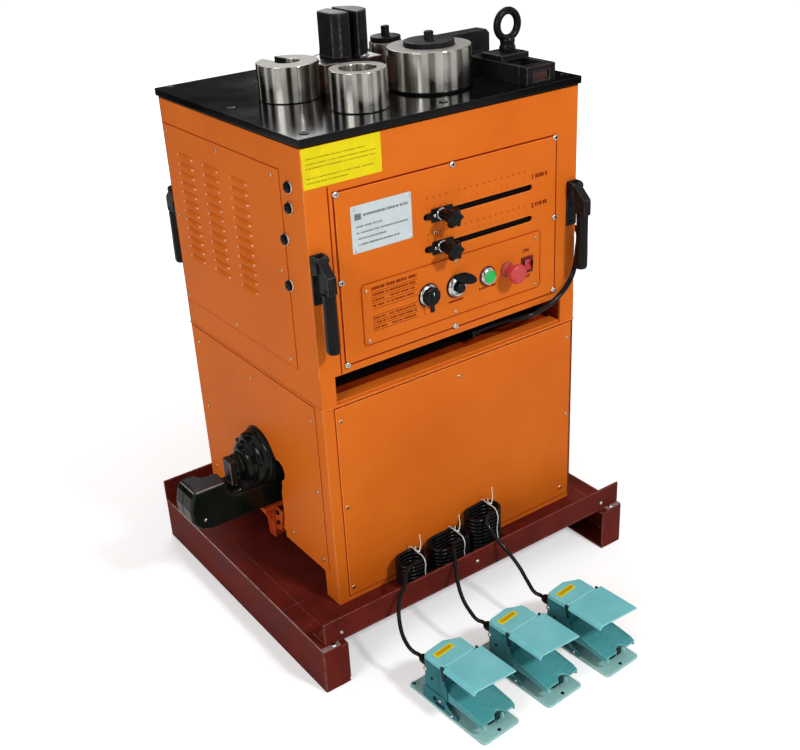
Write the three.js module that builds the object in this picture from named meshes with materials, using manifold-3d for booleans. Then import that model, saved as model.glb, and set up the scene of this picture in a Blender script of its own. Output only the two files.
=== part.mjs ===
// A floor-standing rebar bender and cutter: a sheet-metal cabinet on a steel skid, with a bending
// table on top, a cutter head on the left side and three foot pedals on cords in front.
// Millimetres, +Z up, +X to the right, +Y to the back.
import * as THREE from 'three';
import * as BufferGeometryUtils from 'three/addons/utils/BufferGeometryUtils.js';
import Module from 'manifold-3d';

const wasm = await Module();
wasm.setup();

// Fits shared by all pieces
const clearance = 0.3;
const runningGap = 0.4;
const overrun = 5;
const weld = 1;

// Roundness of the faceted cylinders
const roundSides = 32;
const middleSides = 20;
const smallSides = 12;

// Cabinet
const cabinetWidth = 547;
const cabinetDepth = 471;
const cabinetWall = 4;
const seamHeight = 391;
const upperHeight = 429;
const coverSheet = 2;
const coverLap = 14;
const flangeWidth = 50;
const topFlangeWidth = 25;

// Skid
const floorDrop = 87;
const skidLeftReach = 90.3;
const skidRightReach = 60;
const skidFrontReach = 87;
const skidBackReach = 47;
const runnerWidth = 50;
const runnerSheet = 4;
const runnerLedge = 35;
const deckSheet = 3;
const railHeight = 44;
const railSheet = 4;
const railFootWidth = 40;
const railSetback = 12;

// Lower covers
const frontCoverLeft = 22.5;
const frontCoverRightMargin = 6;
const frontCoverBottom = 12;
const coverTopMargin = 6;
const leftCoverFront = 47.6;
const leftCoverBackMargin = 6;
const leftCoverBottom = 55;

// Opening round the cutter in the lower left cover
const cutterAxisY = 239;
const cutterAxisZ = 200;
const cutterHoleRadius = 57;
const lobeRadius = 20;
const lobeY = 173;
const lobeZ = 198;
const cutterSlotHalfWidth = 67;
const cutterSlotTop = 176;

// Cutter bracket
const bracketPlate = 8;
const bracketFront = 204;
const bracketBack = 275;
const bracketLip = 30;
const bracketGussetReach = 10;
const bracketGussetBottom = 38;
const shelfTop = 105.7;
const shelfSheet = 5.7;
const shelfEnd = 150;
const beamBottom = 61;
const beamHeight = 29;
const beamWidth = 20;

// Slot between the cabinets
const mouthLeft = 28;
const mouthRightMargin = 32.6;
const mouthHeight = 46;

// Upper left cover
const sideCoverFront = 68;
const sideCoverBackMargin = 5;
const sideCoverRise = 50;
const sideCoverTopMargin = 47;

// Control panel
const panelLeft = 51.5;
const panelRightMargin = 50;
const panelRise = 66;
const panelTopMargin = 80;
const switchPlateMargin = 39;
const switchPlateBottomShare = 0.1007;
const switchPlateTopShare = 0.4859;
const switchPlateSheet = 1.5;
const slotLeftShare = 0.3648;
const slotRightShare = 0.8826;
const slotHeight = 9;
const upperSlotShare = 0.7279;
const pointerPlateGap = 1.5;

// Pointers and star knobs
const pointerOffset = 35.5;
const pointerHalfWidth = 22.5;
const pointerHalfHeight = 12;
const pointerSheet = 3;
const pointerStemHalfWidth = 12;
const pointerBackHalfHeight = 10;
const studRadius = 3;
const starKnobRadius = 15;
const starKnobLobe = 4.5;
const starKnobFront = 41;
const starKnobDepth = 13;
const starKnobCollarRadius = 8;
const starLobes = 6;

// Switches on the switch plate
const switchRowShare = 0.413;
const selectorShare = 0.3438;
const leverShare = 0.4972;
const startShare = 0.6804;
const stopShare = 0.7862;
const rockerShare = 0.9281;
const switchPocketDepth = 25;
const bezelDepth = 5;
const selectorBezelRadius = 18;
const selectorRadius = 12.5;
const selectorDepth = 12;
const selectorGripWidth = 7;
const selectorGripDepth = 9;
const leverBezelRadius = 17.5;
const leverHubRadius = 11.5;
const leverHubDepth = 11;
const leverTipX = 23;
const leverTipZ = 21;
const leverTipDepth = 30;
const leverRadius = 4;
const startBezelRadius = 14.5;
const startRadius = 10.5;
const startDepth = 10;
const stopBezelRadius = 15;
const stopStemRadius = 8;
const stopHeadRadius = 18;
const stopHeadFront = 38;
const stopHeadDepth = 12;
const stopBezelDepth = 12;
const rockerHalfWidth = 12.3;
const rockerHoleHalfHeight = 13.5;
const rockerHalfHeight = 11.5;
const rockerRim = 3;
const rockerRise = 7;
const rockerDip = 4;
const rockerTail = 4;

// Carry handles
const handleInset = 12;
const handleBracketHalfWidth = 11.25;
const handleRise = 183;
const handleBracketHeight = 81;
const handleSheet = 3;
const handleEarDepth = 17;
const handleEarHeight = 30;
const handlePivotDepth = 12;
const handlePivotDrop = 8;
const handlePinRadius = 4;
const handleHeadRadius = 7;
const handleElbowDepth = 42;
const handleElbowDrop = 28;
const handleShoulder = 5;
const handleNeckDepth = 18;
const gripDrop = 55;
const gripLength = 100;
const gripRadius = 12;
const gripDepth = 30;

// Bending table
const tableThickness = 12;
const tableSideLap = 3.5;
const tableEndLap = 5;
const bossReach = 58;
const bossFront = 207;
const bossBack = 297;
const bossHeight = 46;
const gearboxMargin = 32;
const gearboxBackMargin = 41;
const gearboxDepth = 180;
const gearboxDrop = 49;

// Bending head
const headShare = 0.4351;
const headY = 250;
const headRadius = 40;
const headHeight = 77;
const headSlotWidth = 10;
const headSlotDepth = 52;
const headFlatReach = 32;
const spindleRadius = 20;
const spindleDepth = 28;

// Rollers
const bigRollerShare = 0.6069;
const bigRollerY = 126;
const bigRollerRadius = 70;
const bigRollerHeight = 64;
const bigRollerWasherRadius = 66;
const bigRollerWasher = 2.4;
const bigShaftRadius = 20;
const bigCapRadius = 42;
const bigCapHeight = 8;
const bigBoltRadius = 8;
const bigBoltHeight = 14;
const smallRollerShare = 0.6307;
const smallRollerY = 268;
const smallRollerRadius = 29;
const smallRollerHeight = 52;
const smallRollerWasherRadius = 27;
const smallRollerWasher = 1.6;
const smallShaftRadius = 10;
const smallCapRadius = 26.5;
const smallCapHeight = 9;
const smallBoltRadius = 7.5;
const smallBoltHeight = 17;
const spigotRadius = 9;

// Loose sleeves
const slottedSleeveReach = 111;
const slottedSleeveY = 234;
const slottedSleeveRadius = 51;
const slottedSleeveHeight = 58;
const slottedSleeveBore = 19.5;
const slottedSleeveSlot = 24;
const slottedSleeveDegrees = 8;
const ringSleeveOffset = 41;
const ringSleeveY = 91;
const ringSleeveRadius = 46;
const ringSleeveHeight = 61;
const ringSleeveBore = 28.5;

// Fence and stop
const fenceLeftShare = 0.7349;
const fenceRightMargin = 4;
const fenceFront = 225;
const fenceThickness = 28;
const fenceHeight = 52;
const guideShare = 0.8556;
const guideHalfWidth = 31;
const guideFront = 5;
const guideBack = 155;
const guideHeight = 29;
const guideRim = 10;
const guideRimFront = 20;
const guideSlotDepth = 16;
const guideWindowLip = 19;
const guideWindowHeight = 6;
const guideWindowSill = 4;
const guideWindowDepth = 12;
const sliderFront = 67;
const sliderLength = 54;
const sliderHeight = 10;
const sliderMargin = 2;
const sliderTongueInset = 5;
const sliderTongueDepth = 11;
const eyeOffset = 4;
const eyeY = 94;
const eyeCollarRadius = 12;
const eyeCollarHeight = 12;
const eyeShankRadius = 8;
const eyeShankDepth = 18;
const eyeRingHeight = 43;
const eyeRingRadius = 22.2;
const eyeRingThickness = 6.3;

// Cutter
const cutterFront = 211;
const cutterBack = 272;
const cutterEnd = 149;
const cutterBulge = 163;
const cutterBlockInner = 88;
const cutterBlockTop = 191;
const cutterBlockHeight = 85;
const cutterBeamHeight = 54;
const cutterLipHeight = 64;
const cutterLipReach = 70;
const barrelRadius = 54.5;
const barrelReach = 28;
const noseRadius = 36;
const noseReach = 45.2;
const noseNotchBottom = 212;
const ramRadius = 22;
const ramBack = 61;
const ramRunout = 20;
const pumpHalfWidth = 61;
const pumpTop = 255;
const pumpStart = 24;
const pumpEnd = 159.7;
const holderBottom = 215;
const holderTop = 229;
const holderBack = 46;
const holderHalfWidth = 22;
const movingBladeFace = 76;
const movingBladeThickness = 13;
const movingBladeBottom = 172;
const movingBladeTop = 230;
const movingBladeHalfWidth = 25;
const fixedBladeFace = 87;
const fixedBladeThickness = 9;
const fixedBladeBottom = 165;
const fixedBladeTop = 188;
const fixedBladeHalfWidth = 20;

// Motors inside
const bendingMotorRadius = 75;
const bendingMotorLength = 209;
const pumpMotorRadius = 70;
const pumpMotorLength = 240;
const pumpMotorZ = 150;
const pumpMotorFootHalfWidth = 40;
const pumpMotorFootInset = 40;
const pumpMotorFootTop = 91;

// Foot pedals, each in its own frame: u across, v from the front edge back, w up from the floor
const pedalTurnDegrees = 3.5;
const pedalWidth = 78;
const pedalLength = 186;
const pedalBase = 5;
const pedalCorner = 10;
const pedalHousingHalfWidth = 37;
const pedalHousingFront = 98;
const pedalHousingSide = 148;
const pedalHousingBack = 152;
const pedalHousingChamferLeft = 8;
const pedalHousingChamferRight = 24;
const pedalHousingChamferBack = 143;
const pedalHousingHeight = 92;
const pedalWall = 3;
const pedalMouthTop = 60;
const pedalGuardFront = 18;
const pedalGuardLap = 8;
const pedalGuardBottom = 96;
const pedalGuardSheet = 3.5;
const pedalGuardHalfWidth = 38.5;
const pedalGuardLip = 10;
const pedalPivotV = 104;
const pedalPivotW = 24;
const pedalPinRadius = 4;
const treadleHalfWidth = 33;
const treadleFront = 12;
const treadleFrontTop = 35;
const treadleRearTop = 47;
const treadleRear = 112;
const treadleSheet = 4;
const treadleSkirt = 3;
const treadleSkirtDrop = 9;
const treadleNotchHalfWidth = 9;
const treadleNotchDepth = 7;
const treadleLatchWidth = 10;
const treadleLatchBottom = 19;
const glandU = -28;
const glandW = 72;
const glandRadius = 8;
const glandLength = 12;

// Pedals' places: the middle of the front edge of each
const pedalPlaces = {
  left: { x: 80, y: -343 },
  middle: { x: 215.5, y: -346 },
  right: { x: 341.5, y: -355 },
};

// Pedal cords and their hanks
const cordDiameter = 7;
const cordSides = 8;
const cordSteps = 24;
const hankSides = 6;
const hankStepsPerLoop = 16;
const hankPitch = 7.8;
const grommetRadius = 5.4;
const grommetDepth = 6;
const grommetZ = 6.5;
const grommetReach = 11;
const hankHalfDepth = 21;

// Each hank: its middle, half its length, its lowest run, its loops and where its cord leaves it
const hanks = {
  left: { x: 138, y: -28, z: 10, halfLength: 27, loops: 6, exitX: 132 },
  middle: { x: 223, y: -26, z: 12, halfLength: 40, loops: 6, exitX: 228 },
  right: { x: 304, y: -25, z: 14, halfLength: 34, loops: 9, exitX: 312 },
};

// Free stretches of the pedal cords, from the hank over the rail and down to the pedal
const pedalCordRoutes = {
  left: [[104, -60, 56], [90, -74, 50], [62, -94, 33], [44, -120, 10], [36, -146, -4], [37, -166, -12]],
  middle: [[208, -60, 60], [200, -74, 51], [186, -96, 31], [175, -124, 7], [172, -150, -7], [173, -170, -14]],
  right: [[290, -52, 83], [287, -63, 74], [291, -77, 57], [299, -99, 36], [303, -128, 15], [300, -156, -2], [299, -176, -13]],
};

// Mains lead
const mainsDiameter = 9;
const mainsSides = 8;
const mainsSteps = 48;
const mainsGlandMargin = 207;
const mainsGlandY = 34;
const mainsGlandRise = 22;
const mainsGlandRadius = 9;
const mainsGlandLength = 20;
const mainsBracketSheet = 10;

// The mains lead's way out of the slot and round the corner, from the cabinet's right side and the seam
const mainsRouteOut = [
  [-185, 34, 22], [-155, 20, 31], [-117, -4, 38], [-77, -9, 46], [-42, -10, 61], [-19, -10, 82],
  [-7, -10, 109], [-2, -9, 139], [5, -3, 165], [11, 20, 169], [13, 60, 129],
];

// Its way down the right side, from that side and the deck
const mainsRouteSide = [[14, 120, 400], [15, 200, 260], [17, 300, 140]];

// Its way over the back lip and down, from the right side, the skid's back and the deck
const mainsRouteBack = [
  [19, -118, 70], [15, -50, 58], [-17, 0, 53], [-47, 18, 40], [-79, 34, 5], [-104, 50, -35],
];

// The coil on the floor and the plug beside it
const coilX = 360;
const coilBehind = 106;
const coilRadius = 66;
const coilTurnPitch = 11;
const coilLayerPitch = 9.8;
const coilTurns = 3;
const coilStepsPerTurn = 20;
const plugBendRadius = 38;
const plugBendSteps = 6;
const plugLead = 12;
const plugWidth = 34;
const plugHeight = 22;
const plugLength = 42;
const plugReliefRadius = 7;
const plugReliefLength = 18;
const plugPinRadius = 2.4;
const plugPinLength = 19;
const plugPinSpread = 9.5;

// Places that follow from the sizes above
const panelRight = cabinetWidth - panelRightMargin;
const panelWidth = panelRight - panelLeft;
const tableUnderside = seamHeight + upperHeight;
const mouthTop = seamHeight + mouthHeight;
const sideCoverBottom = seamHeight + sideCoverRise;
const sideCoverTop = tableUnderside - sideCoverTopMargin;
const panelBottom = seamHeight + panelRise;
const panelTop = tableUnderside - panelTopMargin;
const panelHeight = panelTop - panelBottom;
const switchPlateLeft = panelLeft + switchPlateMargin;
const switchPlateRight = panelRight - switchPlateMargin;
const switchPlateWidth = switchPlateRight - switchPlateLeft;
const switchPlateBottom = panelBottom + switchPlateBottomShare * panelHeight;
const switchPlateTop = panelBottom + switchPlateTopShare * panelHeight;
const switchRowZ = switchPlateBottom + switchRowShare * (switchPlateTop - switchPlateBottom);
const selectorX = switchPlateLeft + selectorShare * switchPlateWidth;
const leverX = switchPlateLeft + leverShare * switchPlateWidth;
const startX = switchPlateLeft + startShare * switchPlateWidth;
const stopX = switchPlateLeft + stopShare * switchPlateWidth;
const rockerX = switchPlateLeft + rockerShare * switchPlateWidth;
const slotLeft = panelLeft + slotLeftShare * panelWidth;
const slotRight = panelLeft + slotRightShare * panelWidth;
const lowerSlotZ = switchPlateTop + pointerHalfHeight + pointerPlateGap;
const upperSlotZ = panelBottom + upperSlotShare * panelHeight;
const pointerX = slotLeft + pointerOffset;
const handleBracketBottom = seamHeight + handleRise;
const handleBracketTop = handleBracketBottom + handleBracketHeight;
const handleEarBottom = handleBracketTop - handleEarHeight;
const handlePivotZ = handleBracketTop - handlePivotDrop;
const handleElbowTop = handleBracketTop - handleElbowDrop;
const gripTop = handleBracketTop - gripDrop;
const gripBottom = gripTop - gripLength;
const headX = headShare * cabinetWidth;
const bossLeft = headX - bossReach;
const bossRight = headX + bossReach;
const bigRollerX = bigRollerShare * cabinetWidth;
const smallRollerX = smallRollerShare * cabinetWidth;
const slottedSleeveX = headX - slottedSleeveReach;
const ringSleeveX = slottedSleeveX + ringSleeveOffset;
const fenceLeft = fenceLeftShare * cabinetWidth;
const fenceRight = cabinetWidth - fenceRightMargin;
const guideMiddle = guideShare * cabinetWidth;
const guideLeft = guideMiddle - guideHalfWidth;
const guideRight = guideMiddle + guideHalfWidth;
const eyeX = guideMiddle + eyeOffset;
const mainsGlandX = cabinetWidth - mainsGlandMargin;

// Joins and cuts

function solid(geometry) {
  const plain = geometry.clone();
  plain.deleteAttribute('normal');
  plain.deleteAttribute('uv');
  const merged = BufferGeometryUtils.mergeVertices(plain);
  return new wasm.Manifold(new wasm.Mesh({
    numProp: 3,
    vertProperties: new Float32Array(merged.attributes.position.array),
    triVerts: new Uint32Array(merged.index.array),
  }));
}

function join(first, ...others) {
  return others.reduce((whole, piece) => whole.add(piece), first);
}

function cut(whole, ...tools) {
  return tools.reduce((rest, tool) => rest.subtract(tool), whole);
}

// Basic solids

// A block between two corners, given as pairs of x, y and z
function box(x0, x1, y0, y1, z0, z1) {
  const geometry = new THREE.BoxGeometry(Math.abs(x1 - x0), Math.abs(y1 - y0), Math.abs(z1 - z0));
  geometry.translate((x0 + x1) / 2, (y0 + y1) / 2, (z0 + z1) / 2);
  return solid(geometry);
}

// Turns a shape drawn along +Z so that it runs along the named axis, its plane's two directions
// being y and z for x, x and z for y, and x and y for z
function alongAxis(geometry, axis) {
  const matrices = {
    x: new THREE.Matrix4().set(0, 0, 1, 0, 1, 0, 0, 0, 0, 1, 0, 0, 0, 0, 0, 1),
    y: new THREE.Matrix4().set(1, 0, 0, 0, 0, 0, -1, 0, 0, 1, 0, 0, 0, 0, 0, 1),
    z: new THREE.Matrix4(),
  };
  return geometry.applyMatrix4(matrices[axis]);
}

// A flat outline pulled between two places on an axis
function prism(axis, from, to, outline) {
  const shape = outline instanceof THREE.Shape ? outline
    : new THREE.Shape(outline.map(([a, b]) => new THREE.Vector2(a, b)));
  const depth = to - from;
  const geometry = new THREE.ExtrudeGeometry(shape, { depth, bevelEnabled: false, curveSegments: 4 });
  geometry.translate(0, 0, axis === 'y' ? -to : from);
  return solid(alongAxis(geometry, axis));
}

// A cylinder between two places on an axis, round the point (a, b) of the plane across it
function rod(axis, from, to, a, b, radius, sides = middleSides, endRadius = radius) {
  const geometry = new THREE.CylinderGeometry(endRadius, radius, to - from, sides);
  geometry.rotateX(Math.PI / 2);
  geometry.translate(0, 0, (from + to) / 2);
  if (axis === 'y') geometry.scale(1, 1, -1);
  const placed = alongAxis(geometry, axis);
  const place = { x: [0, a, b], y: [a, 0, b], z: [a, b, 0] }[axis];
  placed.translate(...place);
  return axis === 'y' ? solid(flipped(placed)) : solid(placed);
}

// The same geometry with every triangle's corners in the opposite order
function flipped(geometry) {
  const index = geometry.index.array;
  for (let i = 0; i < index.length; i += 3) {
    [index[i], index[i + 1]] = [index[i + 1], index[i]];
  }
  return geometry;
}

// A round bar between two points
function bar(start, end, radius, sides = smallSides) {
  const from = new THREE.Vector3(...start);
  const along = new THREE.Vector3(...end).sub(from);
  const geometry = new THREE.CylinderGeometry(radius, radius, along.length(), sides);
  geometry.translate(0, along.length() / 2, 0);
  const up = new THREE.Vector3(0, 1, 0);
  geometry.applyQuaternion(new THREE.Quaternion().setFromUnitVectors(up, along.normalize()));
  geometry.translate(from.x, from.y, from.z);
  return solid(geometry);
}

// A rounded rectangle's outline
function roundedOutline(a0, a1, b0, b1, radius) {
  const shape = new THREE.Shape();
  shape.moveTo(a0 + radius, b0);
  shape.lineTo(a1 - radius, b0);
  shape.absarc(a1 - radius, b0 + radius, radius, -Math.PI / 2, 0);
  shape.lineTo(a1, b1 - radius);
  shape.absarc(a1 - radius, b1 - radius, radius, 0, Math.PI / 2);
  shape.lineTo(a0 + radius, b1);
  shape.absarc(a0 + radius, b1 - radius, radius, Math.PI / 2, Math.PI);
  shape.lineTo(a0, b0 + radius);
  shape.absarc(a0 + radius, b0 + radius, radius, Math.PI, 3 * Math.PI / 2);
  return shape;
}

// Cords

// A tube of one diameter along a curve, with flat ends
function tube(curve, diameter, sides, steps) {
  const section = new THREE.Shape();
  for (let i = 0; i < sides; i += 1) {
    const angle = 2 * Math.PI * i / sides;
    const point = [Math.cos(angle) * diameter / 2, Math.sin(angle) * diameter / 2];
    if (i === 0) section.moveTo(...point);
    else section.lineTo(...point);
  }
  const geometry = new THREE.ExtrudeGeometry(section, { steps, extrudePath: curve, bevelEnabled: false });
  return solid(geometry);
}

function smoothCurve(points) {
  return new THREE.CatmullRomCurve3(points.map((point) => new THREE.Vector3(...point)), false, 'centripetal');
}

// The least distance between far apart stretches of a wound cord, less its diameter
function leastGap(points, diameter) {
  const lengths = [0];
  for (let i = 1; i < points.length; i += 1) {
    lengths.push(lengths[i - 1] + points[i].distanceTo(points[i - 1]));
  }
  let least = Infinity;
  for (let i = 0; i < points.length; i += 1) {
    for (let j = i + 1; j < points.length; j += 1) {
      if (lengths[j] - lengths[i] < 3 * diameter) continue;
      least = Math.min(least, points[i].distanceTo(points[j]));
    }
  }
  return least - diameter;
}

function printGap(name, points, diameter) {
  const curve = new THREE.CatmullRomCurve3(points, false, 'centripetal');
  const gap = leastGap(curve.getSpacedPoints(points.length * 4), diameter);
  console.log(`${name}: least gap between loops ${gap.toFixed(2)} mm, length ${curve.getLength().toFixed(0)} mm`);
}

// Assembly

const bender = new THREE.Group();
const cordNames = [];

const finishes = {
  orange: { color: 0xe0762a, roughness: 0.4, metalness: 0 },
  skidRed: { color: 0x5a2c28, roughness: 0.55, metalness: 0 },
  blackPaint: { color: 0x17181a, roughness: 0.3, metalness: 0 },
  blackSteel: { color: 0x2b2b2c, roughness: 0.5, metalness: 0.7 },
  brightSteel: { color: 0xc9c9c6, roughness: 0.2, metalness: 1 },
  blackPlastic: { color: 0x1a1a1b, roughness: 0.45, metalness: 0 },
  teal: { color: 0x5fa9a6, roughness: 0.45, metalness: 0 },
  green: { color: 0x1c9a4e, roughness: 0.3, metalness: 0 },
  red: { color: 0xc9352c, roughness: 0.4, metalness: 0 },
  motorGrey: { color: 0x5d6366, roughness: 0.6, metalness: 0.2 },
  cordBlack: { color: 0x121212, roughness: 0.5, metalness: 0 },
};

function addPart(name, body, finish, parent = bender) {
  const { vertProperties, triVerts } = body.getMesh();
  const geometry = new THREE.BufferGeometry();
  geometry.setAttribute('position', new THREE.BufferAttribute(new Float32Array(vertProperties), 3));
  geometry.setIndex(new THREE.BufferAttribute(new Uint32Array(triVerts), 1));
  geometry.computeVertexNormals();
  const mesh = new THREE.Mesh(geometry, new THREE.MeshStandardMaterial({ ...finishes[finish], flatShading: true }));
  mesh.name = name;
  parent.add(mesh);
  return mesh;
}

// Skid

const skidLeft = -skidLeftReach;
const skidRight = cabinetWidth + skidRightReach;
const skidBack = cabinetDepth + skidBackReach;
const skidFront = -skidFrontReach;
const deckLeft = skidLeft + runnerLedge;
const deckRight = skidRight - runnerLedge;

function runner(outer, inward) {
  const block = box(outer, outer + inward * runnerWidth, skidFront, skidBack, -floorDrop, 0);
  const channel = box(
    outer + inward * runnerSheet, outer + inward * (runnerWidth + overrun),
    skidFront + runnerSheet, skidBack - runnerSheet,
    -floorDrop + runnerSheet, -deckSheet - clearance - runnerSheet,
  );
  const rebate = box(
    outer + inward * runnerLedge, outer + inward * (runnerWidth + overrun),
    skidFront - overrun, skidBack + overrun, -deckSheet - clearance, overrun,
  );
  return cut(block, channel, rebate);
}

function skidDeck() {
  const railFront = skidFront + railSetback;
  const left = deckLeft + clearance;
  const right = deckRight - clearance;
  const deck = box(left, right, railFront, skidBack, -deckSheet, 0);
  const railLeg = box(skidLeft + railSetback, skidRight, railFront, railFront + railSheet, clearance, railHeight);
  const railFoot = box(skidLeft + railSetback, skidRight, railFront, railFront + railFootWidth, clearance, railSheet);
  const railWeld = box(left, right, railFront, railFront + railFootWidth, -deckSheet, railSheet);
  const lip = box(skidLeft, skidRight, skidBack - railSheet, skidBack, clearance, railHeight);
  const lipWeld = box(left, right, skidBack - railSheet, skidBack, -deckSheet, railSheet);
  return join(deck, railLeg, railFoot, railWeld, lip, lipWeld);
}

function buildSkid() {
  addPart('left_runner', runner(skidLeft, 1), 'skidRed');
  addPart('right_runner', runner(skidRight, -1), 'skidRed');
  addPart('skid_deck', skidDeck(), 'skidRed');
}

// Lower cabinet

const lowerTop = seamHeight - clearance;
const coverTop = lowerTop - coverTopMargin;
const frontCoverRight = cabinetWidth - frontCoverRightMargin;
const leftCoverBack = cabinetDepth - leftCoverBackMargin;

function cutterBracket() {
  const shelfBottom = shelfTop - shelfSheet;
  const shelf = box(-bracketLip, shelfEnd, bracketFront, bracketBack, shelfBottom, shelfTop);
  const gussets = [bracketFront, bracketBack - bracketPlate].map((front) => box(
    -bracketGussetReach, cabinetWall + beamWidth, front, front + bracketPlate, bracketGussetBottom, shelfTop,
  ));
  const beam = box(
    cabinetWall + clearance, cabinetWall + beamWidth, cabinetWall - weld, cabinetDepth - cabinetWall + weld,
    beamBottom, beamBottom + beamHeight,
  );
  return join(shelf, ...gussets, beam);
}

function mainsBracket() {
  const foot = lowerTop - weld;
  const axisZ = lowerTop + mainsGlandRise;
  const post = box(
    mainsGlandX - mainsBracketSheet, mainsGlandX, mainsGlandY - mainsGlandRadius, mainsGlandY + mainsGlandRadius,
    foot, axisZ,
  );
  const barrel = rod(
    'x', mainsGlandX - mainsBracketSheet, mainsGlandX - mainsBracketSheet + mainsGlandLength,
    mainsGlandY, axisZ, mainsGlandRadius, smallSides,
  );
  return join(post, barrel);
}

function lowerCabinet() {
  const shell = box(0, cabinetWidth, 0, cabinetDepth, clearance, lowerTop);
  const inside = box(
    cabinetWall, cabinetWidth - cabinetWall, cabinetWall, cabinetDepth - cabinetWall,
    -overrun, lowerTop - cabinetWall,
  );
  const topOpening = box(
    flangeWidth, cabinetWidth - flangeWidth, flangeWidth, cabinetDepth - flangeWidth,
    lowerTop - cabinetWall - overrun, lowerTop + overrun,
  );
  const pocket = coverSheet + clearance;
  const frontPocket = box(frontCoverLeft, frontCoverRight, -overrun, pocket, frontCoverBottom, coverTop);
  const frontWindow = box(
    frontCoverLeft + coverLap, frontCoverRight - coverLap, -overrun, cabinetWall + overrun,
    frontCoverBottom + coverLap, coverTop - coverLap,
  );
  const leftPocket = box(-overrun, pocket, leftCoverFront, leftCoverBack, leftCoverBottom, coverTop);
  const leftWindow = box(
    -overrun, cabinetWall + overrun, leftCoverFront + coverLap, leftCoverBack - coverLap,
    -overrun, coverTop - coverLap,
  );
  const open = cut(shell, inside, topOpening, frontPocket, frontWindow, leftPocket, leftWindow);
  const grommets = Object.values(hanks).map((hank) => rod(
    'y', -grommetDepth, weld, hank.x + hank.halfLength + grommetReach, grommetZ, grommetRadius, smallSides,
  ));
  return join(open, cutterBracket(), mainsBracket(), ...grommets);
}

function lowerFrontPanel() {
  return box(
    frontCoverLeft + clearance, frontCoverRight - clearance, 0, coverSheet,
    frontCoverBottom + clearance, coverTop - clearance,
  );
}

function lowerLeftPanel() {
  const sheet = box(
    0, coverSheet, leftCoverFront + clearance, leftCoverBack - clearance,
    leftCoverBottom + clearance, coverTop - clearance,
  );
  const hole = rod('x', -overrun, overrun, cutterAxisY, cutterAxisZ, cutterHoleRadius, roundSides);
  const lobe = rod('x', -overrun, overrun, lobeY, lobeZ, lobeRadius);
  const slot = box(
    -overrun, overrun, cutterAxisY - cutterSlotHalfWidth, cutterAxisY + cutterSlotHalfWidth,
    leftCoverBottom - overrun, cutterSlotTop,
  );
  return cut(sheet, hole, lobe, slot);
}

function buildLowerCabinet() {
  addPart('lower_cabinet', lowerCabinet(), 'orange');
  addPart('lower_front_panel', lowerFrontPanel(), 'orange');
  addPart('lower_left_panel', lowerLeftPanel(), 'orange');
}

// Upper cabinet

const upperTop = tableUnderside - clearance;
const sideCoverBack = cabinetDepth - sideCoverBackMargin;

function upperCabinet() {
  const shell = box(0, cabinetWidth, 0, cabinetDepth, seamHeight, upperTop);
  const inside = box(
    cabinetWall, cabinetWidth - cabinetWall, cabinetWall, cabinetDepth - cabinetWall,
    seamHeight - overrun, upperTop - cabinetWall,
  );
  const topOpening = box(
    topFlangeWidth, cabinetWidth - topFlangeWidth, topFlangeWidth, cabinetDepth - topFlangeWidth,
    upperTop - cabinetWall - overrun, upperTop + overrun,
  );
  const mouth = box(
    mouthLeft, cabinetWidth - mouthRightMargin, -overrun, cabinetWall + overrun, seamHeight - overrun, mouthTop,
  );
  const pocket = coverSheet + clearance;
  const sidePocket = box(-overrun, pocket, sideCoverFront, sideCoverBack, sideCoverBottom, sideCoverTop);
  const sideWindow = box(
    -overrun, cabinetWall + overrun, sideCoverFront + coverLap, sideCoverBack - coverLap,
    sideCoverBottom + coverLap, sideCoverTop - coverLap,
  );
  const panelPocket = box(panelLeft, panelRight, -overrun, pocket, panelBottom, panelTop);
  const panelWindow = box(
    panelLeft + coverLap, panelRight - coverLap, -overrun, cabinetWall + overrun,
    panelBottom + coverLap, panelTop - coverLap,
  );
  return cut(shell, inside, topOpening, mouth, sidePocket, sideWindow, panelPocket, panelWindow);
}

function upperLeftPanel() {
  return box(
    0, coverSheet, sideCoverFront + clearance, sideCoverBack - clearance,
    sideCoverBottom + clearance, sideCoverTop - clearance,
  );
}

function controlPanel() {
  const sheet = box(
    panelLeft + clearance, panelRight - clearance, 0, coverSheet,
    panelBottom + clearance, panelTop - clearance,
  );
  const plate = prism('y', -switchPlateSheet, weld, roundedOutline(
    switchPlateLeft, switchPlateRight, switchPlateBottom, switchPlateTop, overrun,
  ));
  const bezels = [
    [selectorX, selectorBezelRadius, bezelDepth],
    [leverX, leverBezelRadius, bezelDepth],
    [startX, startBezelRadius, bezelDepth],
    [stopX, stopBezelRadius, stopBezelDepth],
  ].map(([x, radius, depth]) => rod('y', -depth, weld, x, switchRowZ, radius));
  const rockerFrame = box(
    rockerX - rockerHalfWidth - rockerRim, rockerX + rockerHalfWidth + rockerRim, -rockerRim, weld,
    switchRowZ - rockerHoleHalfHeight - rockerRim, switchRowZ + rockerHoleHalfHeight + rockerRim,
  );
  const holes = [
    [selectorX, selectorRadius], [leverX, leverHubRadius], [startX, startRadius], [stopX, stopStemRadius],
  ].map(([x, radius]) => rod('y', -stopBezelDepth - overrun, overrun, x, switchRowZ, radius + runningGap));
  const rockerHole = box(
    rockerX - rockerHalfWidth, rockerX + rockerHalfWidth, -overrun, overrun,
    switchRowZ - rockerHoleHalfHeight, switchRowZ + rockerHoleHalfHeight,
  );
  const slots = [upperSlotZ, lowerSlotZ].map((z) => prism('y', -overrun, overrun, roundedOutline(
    slotLeft, slotRight, z - slotHeight / 2, z + slotHeight / 2, slotHeight / 2 - clearance,
  )));
  return cut(join(sheet, plate, ...bezels, rockerFrame), ...holes, rockerHole, ...slots);
}

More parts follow.
